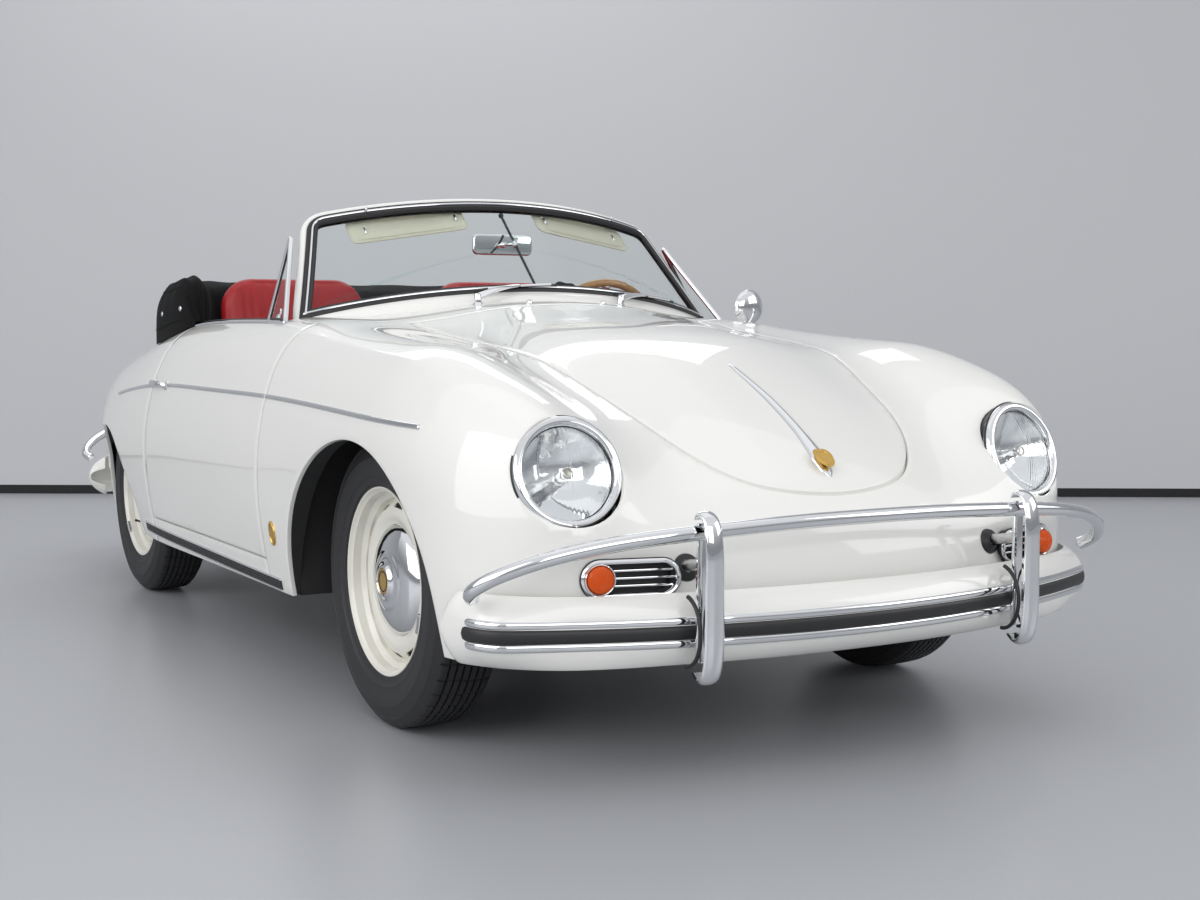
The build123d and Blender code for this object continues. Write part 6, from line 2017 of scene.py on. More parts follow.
def fascia():
    """Painted dashboard panel, curved from its top edge to its lower lip."""
    columns = 80
    x = np.linspace(-0.64, 0.64, columns)
    profile = curve([(-0.352, 0.905), (-0.341, 0.884), (-0.3365, 0.85), (-0.335, 0.79), (-0.337, 0.72),
                     (-0.345, 0.668), (-0.356, 0.647), (-0.374, 0.6435)], 28)
    grid = np.zeros((28, columns, 3))
    for column, place in enumerate(x):
        top = on_top(place, -0.384)[0][2] - 0.011
        squeeze = (min(top, 0.905) - 0.6435) / (0.905 - 0.6435)
        grid[:, column, 0] = place
        grid[:, column, 1] = profile[:, 0]
        grid[:, column, 2] = 0.6435 + (profile[:, 1] - 0.6435) * squeeze
    return sheet(grid, 0.01, np.array((0, 1.0, 0)))


def dial(radius, marks, sweep=4.2):
    """Round instrument facing up its axis: bezel, face, marks, needle, glass."""
    bezel = lathe([(radius, -0.004), (radius + 0.001, 0.004), (radius - 0.001, 0.0075),
                   (radius - 0.005, 0.0085), (radius - 0.0075, 0.006), (radius - 0.008, 0.001),
                   (radius - 0.008, -0.004)], 64)
    face = lathe(rectangle(0, 0.0, radius - 0.0079, -0.003), 48, close=False)
    lines = []
    for index in range(marks):
        turn = -sweep / 2 + sweep * index / (marks - 1)
        long_mark = index % 5 == 0
        inner = radius - (0.0175 if long_mark else 0.014)
        outer = radius - UNDER_SKIN
        half = 0.0007 if long_mark else 0.0004
        line = box((-half, inner, 0.0001), (half, outer, 0.0005), 0, 1)
        spin = np.array([[math.cos(turn), math.sin(turn), 0], [-math.sin(turn), math.cos(turn), 0],
                         [0, 0, 1]])
        lines.append((np.asarray(line[0]) @ spin, line[1]))
    needle = [(-0.0013, -0.01, 0.0012), (0.0013, -0.01, 0.0012), (0.0003, radius - 0.016, 0.0012),
              (-0.0003, radius - 0.016, 0.0012)]
    needle = np.array(needle) @ np.array([[0.5, 0.866, 0], [-0.866, 0.5, 0], [0, 0, 1]])
    needle = np.vstack([needle, needle + (0, 0, 0.0008)])
    needle_faces = [(3, 2, 1, 0), (4, 5, 6, 7), (0, 1, 5, 4), (1, 2, 6, 5), (2, 3, 7, 6), (3, 0, 4, 7)]
    cap = lathe([(0, 0.0), (0.0052, 0.0), (0.005, 0.003), (0, 0.0036)], 24, close=False)
    glass = lathe([(0, 0.0062), (radius - 0.0085, 0.005), (radius - 0.0085, 0.0038), (0, 0.005)], 48,
                  close=False)
    return {"bezel": bezel, "face": joined(face, cap), "marks": joined(*lines),
            "needle": (needle, needle_faces), "glass": glass}


def knob(radius, length):
    return lathe([(0, -0.002), (radius * 0.45, -0.002), (radius * 0.45, length * 0.35),
                  (radius * 0.9, length * 0.45), (radius, length * 0.7), (radius * 0.85, length * 0.95),
                  (0, length)], 24, close=False)


def fit_dash():
    pad = make("dash_pad", dash_pad(), RED_LEATHER, 60, ["dashboard"])
    make("dash_fascia", fascia(), IVORY, 40)
    back = (0, 1, 0)
    aside = (1, 0, 0)
    collected = {"bezel": [], "face": [], "marks": [], "needle": [], "glass": []}
    for x, z, radius, marks in ((0.262, 0.8, 0.045, 21), (0.38, 0.806, 0.054, 31), (0.498, 0.8, 0.045, 21)):
        for key, form in dial(radius, marks).items():
            collected[key].append(placed(form, (x, -0.333, z), (-1, 0, 0), back))
    looks = {"bezel": CHROME, "face": DIAL, "marks": DIAL_WHITE, "needle": RED_ENAMEL, "glass": GLASS}
    for key, forms in collected.items():
        make("dial_" + key, joined(*forms), looks[key])
    knobs = [placed(knob(0.0095, 0.02), (x, -0.3355, z), aside, back)
             for x, z in ((0.06, 0.722), (0.105, 0.722), (0.15, 0.722), (0.575, 0.735), (0.195, 0.722))]
    make("dash_knobs", joined(*knobs), DIAL_WHITE)
    lid_ring = rounded_outline(rectangle(-0.52, 0.735, -0.2, 0.842), 0.018, 8)
    lid = prism(lid_ring, 0, 0.0035, 0.0015, 2)
    lid = facing_back(lid, -0.3362)
    make("glove_box_lid", lid, IVORY)
    strip_path = [(x, -0.335, 0.705) for x in np.linspace(-0.6, 0.6, 60)]
    grab = curve([(-0.54, -0.335, 0.868), (-0.535, -0.318, 0.868), (-0.5, -0.306, 0.868),
                  (-0.36, -0.305, 0.868), (-0.22, -0.306, 0.868), (-0.185, -0.318, 0.868),
                  (-0.18, -0.335, 0.868)], 60)
    trims = [tube(strip_path, half_round(0.005, 0.0035), up=(0, 1, 0)), tube(grab, round_section(0.0065, 14)),
             placed(knob(0.011, 0.01), (-0.36, -0.332, 0.752), aside, back)]
    grille_ring = rounded_outline(rectangle(-0.08, 0.745, 0.13, 0.835), 0.012, 6)
    plate = prism(grille_ring, 0, 0.002, 0.0008, 2)
    trims.append(facing_back(plate, -0.3358))
    make("dash_trims", joined(*trims), CHROME)
    slats = [box((-0.07, -0.3342, z - 0.0012), (0.12, -0.332, z + 0.0012), 0.0006, 1)
             for z in np.linspace(0.755, 0.825, 11)]
    make("dash_grille", joined(*slats), DIAL)


fit_dash()

WHEEL_CENTRE = np.array((0.38, -0.165, 0.825))
COLUMN_TILT = math.radians(25)
COLUMN_DIR = np.array((0, math.cos(COLUMN_TILT), math.sin(COLUMN_TILT)))


def fit_steering():
    """Wood-rimmed wheel on thin sprung spokes, its boss bare, over a column with a stalk."""
    turns = np.linspace(0, 2 * math.pi, 120, endpoint=False)
    rim = np.stack([0.195 * np.cos(turns), 0.195 * np.sin(turns), 0 * turns], axis=1)
    waves = 1 + 0.05 * np.cos(turns * 40)
    section = round_section(0.0118, 16)
    rim_form = tube(rim, section, closed=True, scales=waves)
    core = tube(rim, bar_section(0.0016, 0.0105, -0.0016, 0.0124), closed=True)
    spokes = []
    for turn in (0.0, math.pi, -math.pi / 2):
        for offset in (-0.01, 0.0, 0.01):
            side = np.array((-math.sin(turn), math.cos(turn), 0)) * offset
            out = np.array((math.cos(turn), math.sin(turn), 0))
            path = curve([out * 0.03 + side * 0.6 + (0, 0, -0.006), out * 0.08 + side + (0, 0, -0.01),
                          out * 0.14 + side + (0, 0, -0.008), out * 0.19 + side * 1.2 + (0, 0, 0)], 26)
            spokes.append(tube(path, round_section(0.0024, 10), up=(0, 0, 1)))
        out = np.array((math.cos(turn), math.sin(turn), 0))
        spokes.append(bar(out * 0.176 + (0, 0, -0.002), out * 0.188, 0.0135, 16))
    boss = lathe([(0.0095, -0.034), (0.03, -0.034), (0.035, -0.02), (0.037, -0.004), (0.036, 0.006),
                  (0.031, 0.013), (0.029, 0.014), (0.028, 0.011), (0.0095, 0.011)], 56)
    button = lathe([(0, 0.0115), (0.0275, 0.0115), (0.0275, 0.015), (0.022, 0.018), (0.012, 0.0195),
                    (0, 0.02)], 56, close=False)
    ring = lathe([(0.018, 0.0186), (0.019, 0.0206), (0.0205, 0.0206), (0.0215, 0.0178)], 56)
    wheel = [("steering_rim", rim_form, WOOD, ["steering_wheel"]), ("steering_rim_band", core, BRUSHED, ()),
             ("steering_spokes", joined(*spokes), CHROME, ()), ("steering_boss", boss, DIAL_WHITE, ()),
             ("horn_button", button, DIAL_WHITE, ()), ("horn_ring", ring, GOLD, ())]
    for label, form, look, hides in wheel:
        make(label, placed(form, WHEEL_CENTRE, (1, 0, 0), COLUMN_DIR), look, 40, hides, body="steering")
    low = WHEEL_CENTRE - COLUMN_DIR * 0.56
    high = WHEEL_CENTRE - COLUMN_DIR * 0.045
    jacket = bar(low, WHEEL_CENTRE - COLUMN_DIR * 0.19, 0.018, 30)
    cowl = placed(lathe([(0.0185, 0.0), (0.026, 0.004), (0.029, 0.03), (0.029, 0.11), (0.025, 0.128),
                         (0.012, 0.134)], 40, close=False), WHEEL_CENTRE - COLUMN_DIR * 0.18, (1, 0, 0),
                  COLUMN_DIR)
    clamp = placed(box((-0.04, -0.026, -0.016), (0.04, 0.034, 0.016), 0.008, 3), WHEEL_CENTRE - COLUMN_DIR
                   * 0.225, (1, 0, 0), COLUMN_DIR)
    make("column_jacket", joined(jacket, cowl, clamp), STEEL)
    shaft = bar(high - COLUMN_DIR * 0.01, WHEEL_CENTRE + COLUMN_DIR * 0.008, 0.0088, 24)
    stem = WHEEL_CENTRE - COLUMN_DIR * 0.075
    stalk = tube(curve([stem + (0.024, 0, 0), stem + (0.08, 0.01, 0.004), stem + (0.14, 0.022, 0.008)], 20),
                 round_section(0.0032, 12))
    make("column_shaft", joined(shaft, stalk), CHROME)
    make("stalk_knob", placed(lathe([(0, -0.012), (0.006, -0.01), (0.0085, 0), (0.006, 0.01), (0, 0.012)], 24,
                                    close=False), stem + (0.146, 0.023, 0.008), (0, 1, 0), (1, 0.15, 0.05)),
         DIAL_WHITE)


fit_steering()


# ---------------------------------------------------------------- trims and small fittings
def side_path(points, count):
    """Places and normals on the left side of the skin along (y, z) points."""
    line = curve(points, count)
    hits = [on_side(y, z) for y, z in line]
    return np.array([place for place, _ in hits]), np.array([normal for _, normal in hits])


BELT = [(-1.475, 0.679), (-1.05, 0.694), (-0.62, 0.705), (-0.16, 0.705), (0.287, 0.7), (0.6, 0.678),
        (0.798, 0.656)]
SILL = [(-0.705, 0.2545), (-0.3, 0.258), (0.1, 0.264), (0.456, 0.272)]


def part_of_belt(start, end, count, line=None, half=0.0062, height=0.0046):
    """A bright strip on the belt line between two places along the car."""
    whole = curve(line or BELT, 400)
    inside = whole[(whole[:, 0] >= start) & (whole[:, 0] <= end)]
    line_points = even(inside, count, closed=False)
    hits = [on_side(y, z) for y, z in line_points]
    places = np.array([place for place, _ in hits])
    normals = np.array([normal for _, normal in hits])
    return strip(places, normals, half_round(half, height, 8))


def fit_strips():
    front = part_of_belt(-1.475, -0.6245, 70)
    middle = part_of_belt(-0.61, 0.361, 80)
    rear = part_of_belt(0.374, 0.798, 50)
    ends = []
    for y, z in (BELT[0], BELT[-1]):
        place, normal = on_side(y, z)
        ends.append(placed(lathe([(0.0063, -0.002), (0.0063, 0.0006), (0.0052, 0.003), (0.003, 0.0044),
                                  (0, 0.0047)], 24, close=False), place, (0, 1, 0.01), normal))
    make("belt_strips", pair(joined(front, rear, *ends)), CHROME, 60)
    on_doors(("belt_strip_door", middle, CHROME, 60, None))
    places, normals = side_path(SILL, 50)
    base = strip(places, normals, bar_section(0.013, -0.002, -0.013, 0.003))
    edges = []
    for shift in (0.0135, -0.0135):
        aside = np.cross(np.gradient(places, axis=0), normals)
        aside /= np.linalg.norm(aside, axis=1)[:, None]
        edges.append(strip(places + aside * shift, normals, half_round(0.0026, 0.0058, 6)))
    ribs = []
    for shift in (-0.0066, 0.0, 0.0066):
        ribs.append(strip(places + aside * shift, normals, half_round(0.0022, 0.005, 5)))
    make("sill_strip_rubber", pair(joined(base, *ribs)), RUBBER, 50)
    make("sill_strip_edges", pair(joined(*edges)), CHROME, 60)


fit_strips()


def oval_plate(half_wide, half_high, thick):
    """Domed oval plate with a raised rim and a plain middle."""
    shares = [(1.0, -0.001), (1.0, thick * 0.6), (0.95, thick), (0.86, thick), (0.8, thick * 0.55),
              (0.6, thick * 0.75), (0.3, thick * 0.95), (0.0, thick)]
    turns = np.linspace(0, 2 * math.pi, 48, endpoint=False)
    rings = [np.stack([half_wide * share * np.cos(turns), half_high * share * np.sin(turns), 0 * turns
                       + height], axis=1) for share, height in shares]
    points = np.vstack(rings)
    faces = grid_faces(len(rings), 48, close_columns=True) + [tuple(range(48))]
    return points, faces


def fit_badges():
    plates = []
    for side in (1, -1):
        place, normal = on_side(-0.7, 0.38)
        place, normal = place * (side, 1, 1), normal * (side, 1, 1)
        plates.append(placed(oval_plate(0.017, 0.03, 0.004), place, np.cross((0, 0, 1), normal), normal))
    make("side_badges", joined(*plates), GOLD, 40)
    place, normal = on_top(0, -1.778)
    make("handle_badge", placed(shield(0.0125, 0.017), place + normal * 0.0115, (1, 0, 0), normal), GOLD, 40,
         body="hood")


def shield(half_wide, half_high):
    """Plain shield-shaped plate with a rolled rim, pointing to -y."""
    outline = [(-1.0, 0.7), (-0.55, 0.98), (0.0, 0.88), (0.55, 0.98), (1.0, 0.7), (0.98, 0.0), (0.8, -0.5),
               (0.45, -0.82), (0.0, -1.0), (-0.45, -0.82), (-0.8, -0.5), (-0.98, 0.0)]
    ring = even(curve(outline + outline[:1], 120) * (half_wide, half_high), 72)
    levels = [(0, -0.002), (0, 0.0028), (0.0012, 0.004), (0.0032, 0.004), (0.0044, 0.0026), (0.01, 0.0034)]
    rings = [np.column_stack([inset(ring, amount), np.full(72, height)]) for amount, height in levels]
    return capped(rings)


fit_badges()


def lid_handle():
    """Bright handle down the front lid's middle, slim at the rear and broad at its tip."""
    stations = np.linspace(-1.808, -1.435, 60)
    path, ups = [], []
    for y in stations:
        place, normal = on_top(0, y)
        path.append(place)
        ups.append(normal)
    share = np.linspace(0, 1, 60)
    wide = np.interp(share, [0, 0.03, 0.1, 0.3, 0.9, 0.97, 1.0], [0.004, 0.015, 0.019, 0.012, 0.0068, 0.0055,
                                                                  0.001])
    tall = np.interp(share, [0, 0.04, 0.15, 0.6, 0.95, 1.0], [0.003, 0.008, 0.0125, 0.0105, 0.005, 0.0005])
    path, ups = smoothed(path, 3), smoothed(ups, 6)
    rings = []
    turns = np.linspace(0, math.pi, 15)
    for index in range(60):
        along = np.gradient(path, axis=0)[index]
        aside = unit(np.cross(along, ups[index]))
        base = path[index] - ups[index] * 0.0012
        ring = [base + aside * wide[index] * math.cos(turn) * (1 - 0.25 * math.sin(turn) ** 2)
                + ups[index] * tall[index] * math.sin(turn) ** 0.8 for turn in turns]
        rings.append(ring)
    return capped(rings, True)


make("hood_handle", lid_handle(), CHROME, 50, ["lid_handle"], body="hood")


def fit_engine_grille():
    """Bright slotted grille in the engine lid."""
    ring_line = slot_outline((0, GRILLE_Y), 0.288, 0.198, 24)
    tops = np.array([on_top(x, y) for x, y in ring_line])
    path = tops[:, 0] + tops[:, 1] * 0.001
    ring = tube(path, [(0.01, -0.004), (0.01, 0.002), (0.007, 0.005), (0.0, 0.006), (-0.007, 0.005),
                       (-0.01, 0.002), (-0.01, -0.004)], closed=True, up=tops[:, 1])
    bars = [ring]
    for x in np.linspace(-0.112, 0.112, 9):
        reach = 0.09 if abs(x) < 0.05 else math.sqrt(max(0.093 ** 2 - (abs(x) - 0.045) ** 2, 0.0004))
        line = [on_top(x, y) for y in np.linspace(GRILLE_Y - reach, GRILLE_Y + reach, 22)]
        places = np.array([place - normal * 0.0012 for place, normal in line])
        ups = np.array([normal for _, normal in line])
        bars.append(tube(places, [(0.0034, -0.006), (0.004, 0.003), (0.0024, 0.0052), (0, 0.0058),
                                  (-0.0024, 0.0052), (-0.004, 0.003), (-0.0034, -0.006)], up=ups))
    make("engine_lid_grille", joined(*bars), CHROME, 45, ["engine_grille"], body="engine_cover")
    under = []
    for index in range(19):
        x = -0.126 + 0.014 * index
        under.append(bar((x, 1.25, on_top(x, 1.25)[0][2] - 0.0145), (x, 1.44, on_top(x, 1.44)[0][2] - 0.0145),
                         0.0011, 8))
    for index in range(14):
        y = 1.252 + 0.0145 * index
        height = on_top(0.0, y)[0][2] - 0.0145
        under.append(bar((-0.128, y, height - 0.0005), (0.128, y, height - 0.0005), 0.0011, 8))
    make("engine_lid_mesh", joined(*under), STEEL, body="engine_cover")


fit_engine_grille()


def fit_tail_lamps():
    """Round lamps behind, two on each side: bright rim, ribbed red or amber lens."""
    lens_outline = [(0.0302, -0.002), (0.0302, 0.007), (0.029, 0.012), (0.026, 0.015), (0.0215, 0.0158),
                    (0.0205, 0.015), (0.0195, 0.0162), (0.015, 0.0168), (0.014, 0.016), (0.013, 0.0172),
                    (0.007, 0.018), (0, 0.0182)]
    rim_outline = [(0.0338, -0.006), (0.0345, 0.002), (0.034, 0.0075), (0.0322, 0.0098), (0.0308, 0.0085),
                   (0.0304, -0.003)]
    base_outline = [(0.0362, -0.008), (0.0362, 0.001), (0.0345, 0.0022), (0.033, 0.001), (0.033, -0.008)]
    rims, reds, ambers, bases = [], [], [], []
    for x in (0.47, 0.56):
        place, normal = skin_hit((x, 3.0, 0.545), (0, -1, 0))
        rims.append(placed(lathe(rim_outline, 48), place, (1, 0, 0), normal))
        bases.append(placed(lathe(base_outline, 48), place, (1, 0, 0), normal))
        lens = placed(lathe(lens_outline, 48, close=False), place, (1, 0, 0), normal)
        (reds if x < 0.5 else ambers).append(lens)
    make("tail_lamp_rims", pair(joined(*rims)), CHROME, 40, ["tail_lamps"])
    make("tail_lamp_gaskets", pair(joined(*bases)), RUBBER, 40)
    make("tail_lamp_lenses", pair(joined(*reds)), RED_LENS, 40)
    make("turn_lamp_lenses", pair(joined(*ambers)), AMBER, 40)


fit_tail_lamps()


def door_handle():
    """Pull handle on the belt strip near the door's rear edge, with its button."""
    y = 0.29
    places, normals = [], []
    for offset in np.linspace(-0.07, 0.07, 40):
        place, normal = on_side(y + offset, 0.7005)
        places.append(place)
        normals.append(normal)
    share = np.linspace(-1, 1, 40)
    lift = 0.02 * np.clip(1 - share ** 4, 0, 1)
    path = smoothed(np.array(places) + np.array(normals) * (0.0015 + lift[:, None]), 3)
    scale = np.interp(np.abs(share), [0, 0.55, 0.85, 1.0], [1.0, 0.92, 0.8, 0.95])
    grip = tube(path, oval_section(0.0088, 0.0045), up=smoothed(normals, 4), scales=scale)
    parts = [grip]
    for offset in (-0.068, 0.068):
        place, normal = on_side(y + offset, 0.7005)
        foot = [(0.0135, -0.001), (0.0135, 0.002), (0.011, 0.0045), (0.006, 0.006), (0, 0.0062)]
        parts.append(placed(lathe(foot, 30, close=False), place, (0, 1, 0), normal))
    place, normal = on_side(y + 0.1 - 0.032, 0.7005)
    parts.append(placed(lathe([(0.0078, 0.004), (0.0078, 0.012), (0.0066, 0.0138), (0, 0.0142)], 28,
                              close=False), place, (0, 1, 0), normal))
    return joined(*parts)


on_doors(("door_handle", door_handle(), CHROME, 45, None))


def door_cap():
    """Bright strip along the top of the door, with a rubber lip at the glass slot."""
    stations = np.linspace(-0.395, 0.355, 70)
    tops = []
    for y in stations:
        hits = [on_top(x, y)[0] for x in (0.672, 0.678)]
        tops.append((0.6735, y, hits[0][2]))
    tops = np.array(tops)
    ups = np.tile((0.12, 0, 1.0), (70, 1))
    cap = tube(tops + (0, 0, 0.0005), half_round(0.0085, 0.0058, 8), up=ups)
    lip = tube(tops + (-0.0105, 0, 0.0015), [(0.003, -0.004), (0.003, 0.006), (0.0, 0.0085), (-0.003, 0.006),
                                           (-0.003, -0.004)], up=ups)
    return cap, lip


cap, lip = door_cap()
on_doors(("door_cap", cap, CHROME, 50, None), ("door_lip", lip, RUBBER, 50, None))


VENT_FRONT, VENT_TOP, VENT_REAR = (0.678, -0.428, 0.88), (0.588, -0.226, 1.112), (0.678, -0.3, 0.88)


def fit_vents():
    """Quarter lights: channel frame, dark seal, glass, catch, and a foot on the door."""
    front, top, rear = (np.array(corner) for corner in (VENT_FRONT, VENT_TOP, VENT_REAR))
    flat = unit(np.cross(rear - front, top - front))
    flat = flat if flat[0] > 0 else -flat
    ring = []
    corners = [front, top, rear]
    for index, corner in enumerate(corners):
        before, after = unit(corners[index - 1] - corner), unit(corners[(index + 1) % 3] - corner)
        reach = 0.014
        for share in np.linspace(0, 1, 9):
            a, b = corner + before * reach, corner + after * reach
            ring.append((1 - share) ** 2 * a + 2 * share * (1 - share) * corner + share ** 2 * b)
    ring = even(np.array(ring), 150)
    middle = ring.mean(axis=0)
    bright = tube(ring, [(0.005, -0.0048), (0.0062, 0), (0.005, 0.0048), (-0.003, 0.0058), (-0.0058, 0.003),
                         (-0.0058, -0.003), (-0.003, -0.0058)], closed=True, up=flat)
    inner = middle + (ring - middle) * 0.9
    seal = tube(inner, [(0.004, -0.0036), (0.004, 0.0036), (-0.004, 0.0026), (-0.004, -0.0026)], closed=True,
                up=flat)
    glass_ring = middle + (ring - middle) * 0.9
    count = len(glass_ring)
    pane = (np.vstack([glass_ring + flat * 0.0016, glass_ring - flat * 0.0016]),
            [tuple(range(count)), tuple(range(2 * count - 1, count - 1, -1))]
            + [(i, count + i, count + (i + 1) % count, (i + 1) % count) for i in range(count)])
    foot_line = curve([front + (0, -0.01, -0.004), (front + rear) / 2 + (0.001, 0, -0.005),
                       rear + (0, 0.016, -0.004)], 20)
    foot = tube(foot_line, [(0.0075, -0.01), (0.0078, 0.002), (0.005, 0.0055), (-0.005, 0.0055),
                            (-0.0078, 0.002), (-0.0075, -0.01)], up=(0, 0, 1))
    catch = placed(lathe([(0, -0.002), (0.0085, -0.002), (0.009, 0.002), (0.006, 0.006), (0, 0.007)], 24,
                         close=False), (front * 0.3 + rear * 0.62 + top * 0.08) - flat * 0.0075, (0, 0, 1),
                   -flat)
    lever = tube(curve([(front * 0.3 + rear * 0.62 + top * 0.08) - flat * 0.011,
                        (front * 0.3 + rear * 0.58 + top * 0.12) - flat * 0.013,
                        (front * 0.3 + rear * 0.52 + top * 0.18) - flat * 0.012], 12),
                 round_section(0.0032, 10))
    post = bar(rear + (0, 0.006, -0.01), rear * 0.965 + top * 0.035 + (0, 0.004, 0), 0.0055, 14)
    forms = [("vent_frame", joined(bright, foot, catch, lever, post), CHROME, "vent_window"),
             ("vent_seal", seal, RUBBER, None), ("vent_glass", pane, GLASS, None)]
    for label, form, look, hides in forms:
        on_doors((label, form, look, 40, hides))


fit_vents()


def fit_door_mirror():
    """Round mirror on a stalk at the front of the left door."""
    place, normal = on_top(0.715, -0.5)
    head = np.array((0.723, -0.502, place[2] + 0.072))
    parts = [placed(lathe([(0.019, -0.006), (0.0195, 0.0015), (0.017, 0.0055), (0.011, 0.009),
                           (0.0068, 0.014), (0.0, 0.015)], 40, close=False), place, (1, 0, 0),
                    unit(normal + (0, 0, 1.2)))]
    stalk = curve([place + (0, 0, 0.006), place + (0.003, -0.001, 0.026), head + (0.001, -0.006, -0.03),
                   head + (0, -0.008, -0.002)], 30)
    widths = np.linspace(1.25, 0.9, 30)
    parts.append(tube(stalk, round_section(0.0044, 14), up=(0, 1, 0), scales=widths))
    shell = [(0, -0.0125), (0.016, -0.0118), (0.032, -0.008), (0.044, -0.002), (0.0505, 0.005),
             (0.052, 0.0098), (0.0505, 0.0122), (0.048, 0.0118), (0.0478, 0.0092), (0, 0.0092)]
    parts.append(placed(lathe(shell, 72, close=False), head, (1, 0, 0), (-0.08, 1, 0.03)))
    make("door_mirror_shell", joined(*parts), CHROME, 45, ["door_mirror"], body="left_door")
    face = [(0.0476, 0.0088), (0.0476, 0.0104), (0.03, 0.0109), (0, 0.0111), (0, 0.009)]
    make("door_mirror_glass", placed(lathe(face, 72, close=False), head, (1, 0, 0), (-0.08, 1, 0.03)),
         SILVERED, 45, body="left_door")


fit_door_mirror()


# ---------------------------------------------------------------- hidden sides: wells, posts, floor and bays
def skin_width(y, z):
    """Half width of the skin at a place along the car and a height."""
    hit = SKIN.ray_cast(Vector((1.5, y, z)), Vector((-1, 0, 0)))[0]
    return 0.0 if hit is None else hit[0]


def well_liner(hub_y, well, opening):
    """Inner walls of one wheel well: drum, back wall, and the ledge out to the arch's lip."""
    radius, inner, outer = well
    low = BODY_BOTTOM + 0.002
    start = math.asin((low - HUB_Z) / radius)
    turns = np.linspace(start, math.pi - start, 60)
    rows = []
    for turn in turns:
        y, z = hub_y + radius * math.cos(turn), HUB_Z + radius * math.sin(turn)
        lip_turn = math.atan2(max(z - opening[1], 0.0), y - opening[0])
        lip_y = opening[0] + (opening[2] + 0.001) * math.cos(lip_turn)
        lip_z = max(opening[1] + (opening[2] + 0.001) * math.sin(lip_turn), low)
        edge = min(outer, skin_width(y, z) - 0.012)
        lip_x = skin_width(lip_y, lip_z) - UNDER_SKIN
        shelf = max(min(edge, lip_x), inner + 0.02)
        row = [(x, y, z) for x in np.linspace(inner, shelf, 12)]
        row += [(shelf, y + (lip_y - y) * share, z + (lip_z - z) * share) for share in (0.35, 0.7, 1.0)]
        row += [(shelf + (lip_x - shelf) * share, lip_y, lip_z) for share in (0.5, 1.0)]
        rows.append(row)
    grid = np.array(rows)
    centre = np.array((0, hub_y, HUB_Z))
    inwards = centre - grid
    inwards[..., 0] = 0
    inwards /= np.linalg.norm(inwards, axis=2)[..., None]
    drum = sheet(grid, 0.003, inwards)
    ring = [(hub_y + radius * math.cos(turn), HUB_Z + radius * math.sin(turn)) for turn in turns]
    wall = prism(np.array(ring), inner - 0.004, inner, 0.0)
    wall = (np.column_stack([wall[0][:, 2], wall[0][:, 0], wall[0][:, 1]]), wall[1])
    return joined(drum, wall)


def jamb(edge_y, facing):
    """Painted post at one end of the door opening, from the sill to the top."""
    rows = []
    for z in np.linspace(DOOR_BOTTOM_Z - 0.004, 0.868, 30):
        reach = skin_width(edge_y(0.8), z) - UNDER_SKIN
        if reach < CABIN_X + 0.012:
            break
        rows.append([(x, edge_y(x), z) for x in np.linspace(CABIN_X, reach, 16)])
    return sheet(np.array(rows), 0.004, np.array((0, facing, 0.0)))


def front_post(x):
    if x < HINGE_PIN[0]:
        return DOOR_FRONT_Y
    return HINGE_PIN[1] + math.sqrt(max((DOOR_FRONT_Y - HINGE_PIN[1]) ** 2 - (x - HINGE_PIN[0]) ** 2, 1e-4))


def rear_post(x):
    reach = math.hypot(DOOR_REAR_Y - HINGE_PIN[1], 0.045) + SHUT_GAP
    return min(DOOR_REAR_Y, HINGE_PIN[1] + math.sqrt(reach ** 2 - (x - HINGE_PIN[0]) ** 2))


def belly(rows, thick=0.004):
    """Flat underside plate from (y, half width) rows."""
    grid = [[(share * half, y, BODY_BOTTOM + 0.003) for share in np.linspace(-1, 1, 41)] for y, half in rows]
    grid = np.array(grid)
    grid[..., 2] -= 0.0025 * (np.cos(grid[..., 0] * 2 * math.pi / 0.11) > 0.6) * (np.abs(grid[..., 0]) < 0.36)
    return sheet(grid, thick, np.array((0, 0, -1.0)))


def belly_rows(start, end, count):
    rows = []
    for y in np.linspace(start, end, count):
        half = max(skin_width(y, BODY_BOTTOM + 0.012) - 0.013, 0.02)
        for hub_y, well in ((FRONT_AXLE_Y, WELL_FRONT), (REAR_AXLE_Y, WELL_REAR)):
            reach = math.sqrt(well[0] ** 2 - (HUB_Z - BODY_BOTTOM) ** 2)
            if abs(y - hub_y) < reach + 0.002:
                half = min(half, well[1])
        rows.append((y, half))
    return rows


def wall(corners, thick, divide=(2, 2)):
    """Flat plate between four corners, thickened to its back."""
    a, b, c, d = (np.array(corner, float) for corner in corners)
    u = np.linspace(0, 1, divide[0])[:, None, None]
    v = np.linspace(0, 1, divide[1])[None, :, None]
    grid = (a * (1 - u) + d * u) * (1 - v) + (b * (1 - u) + c * u) * v
    return sheet(grid, thick, unit(np.cross(b - a, d - a)))


def upright(x, y, x_end, y_end, low, high):
    """Upright wall between two plan points and two levels."""
    return wall([(x, y, low), (x_end, y_end, low), (x_end, y_end, high), (x, y, high)], SHEET)


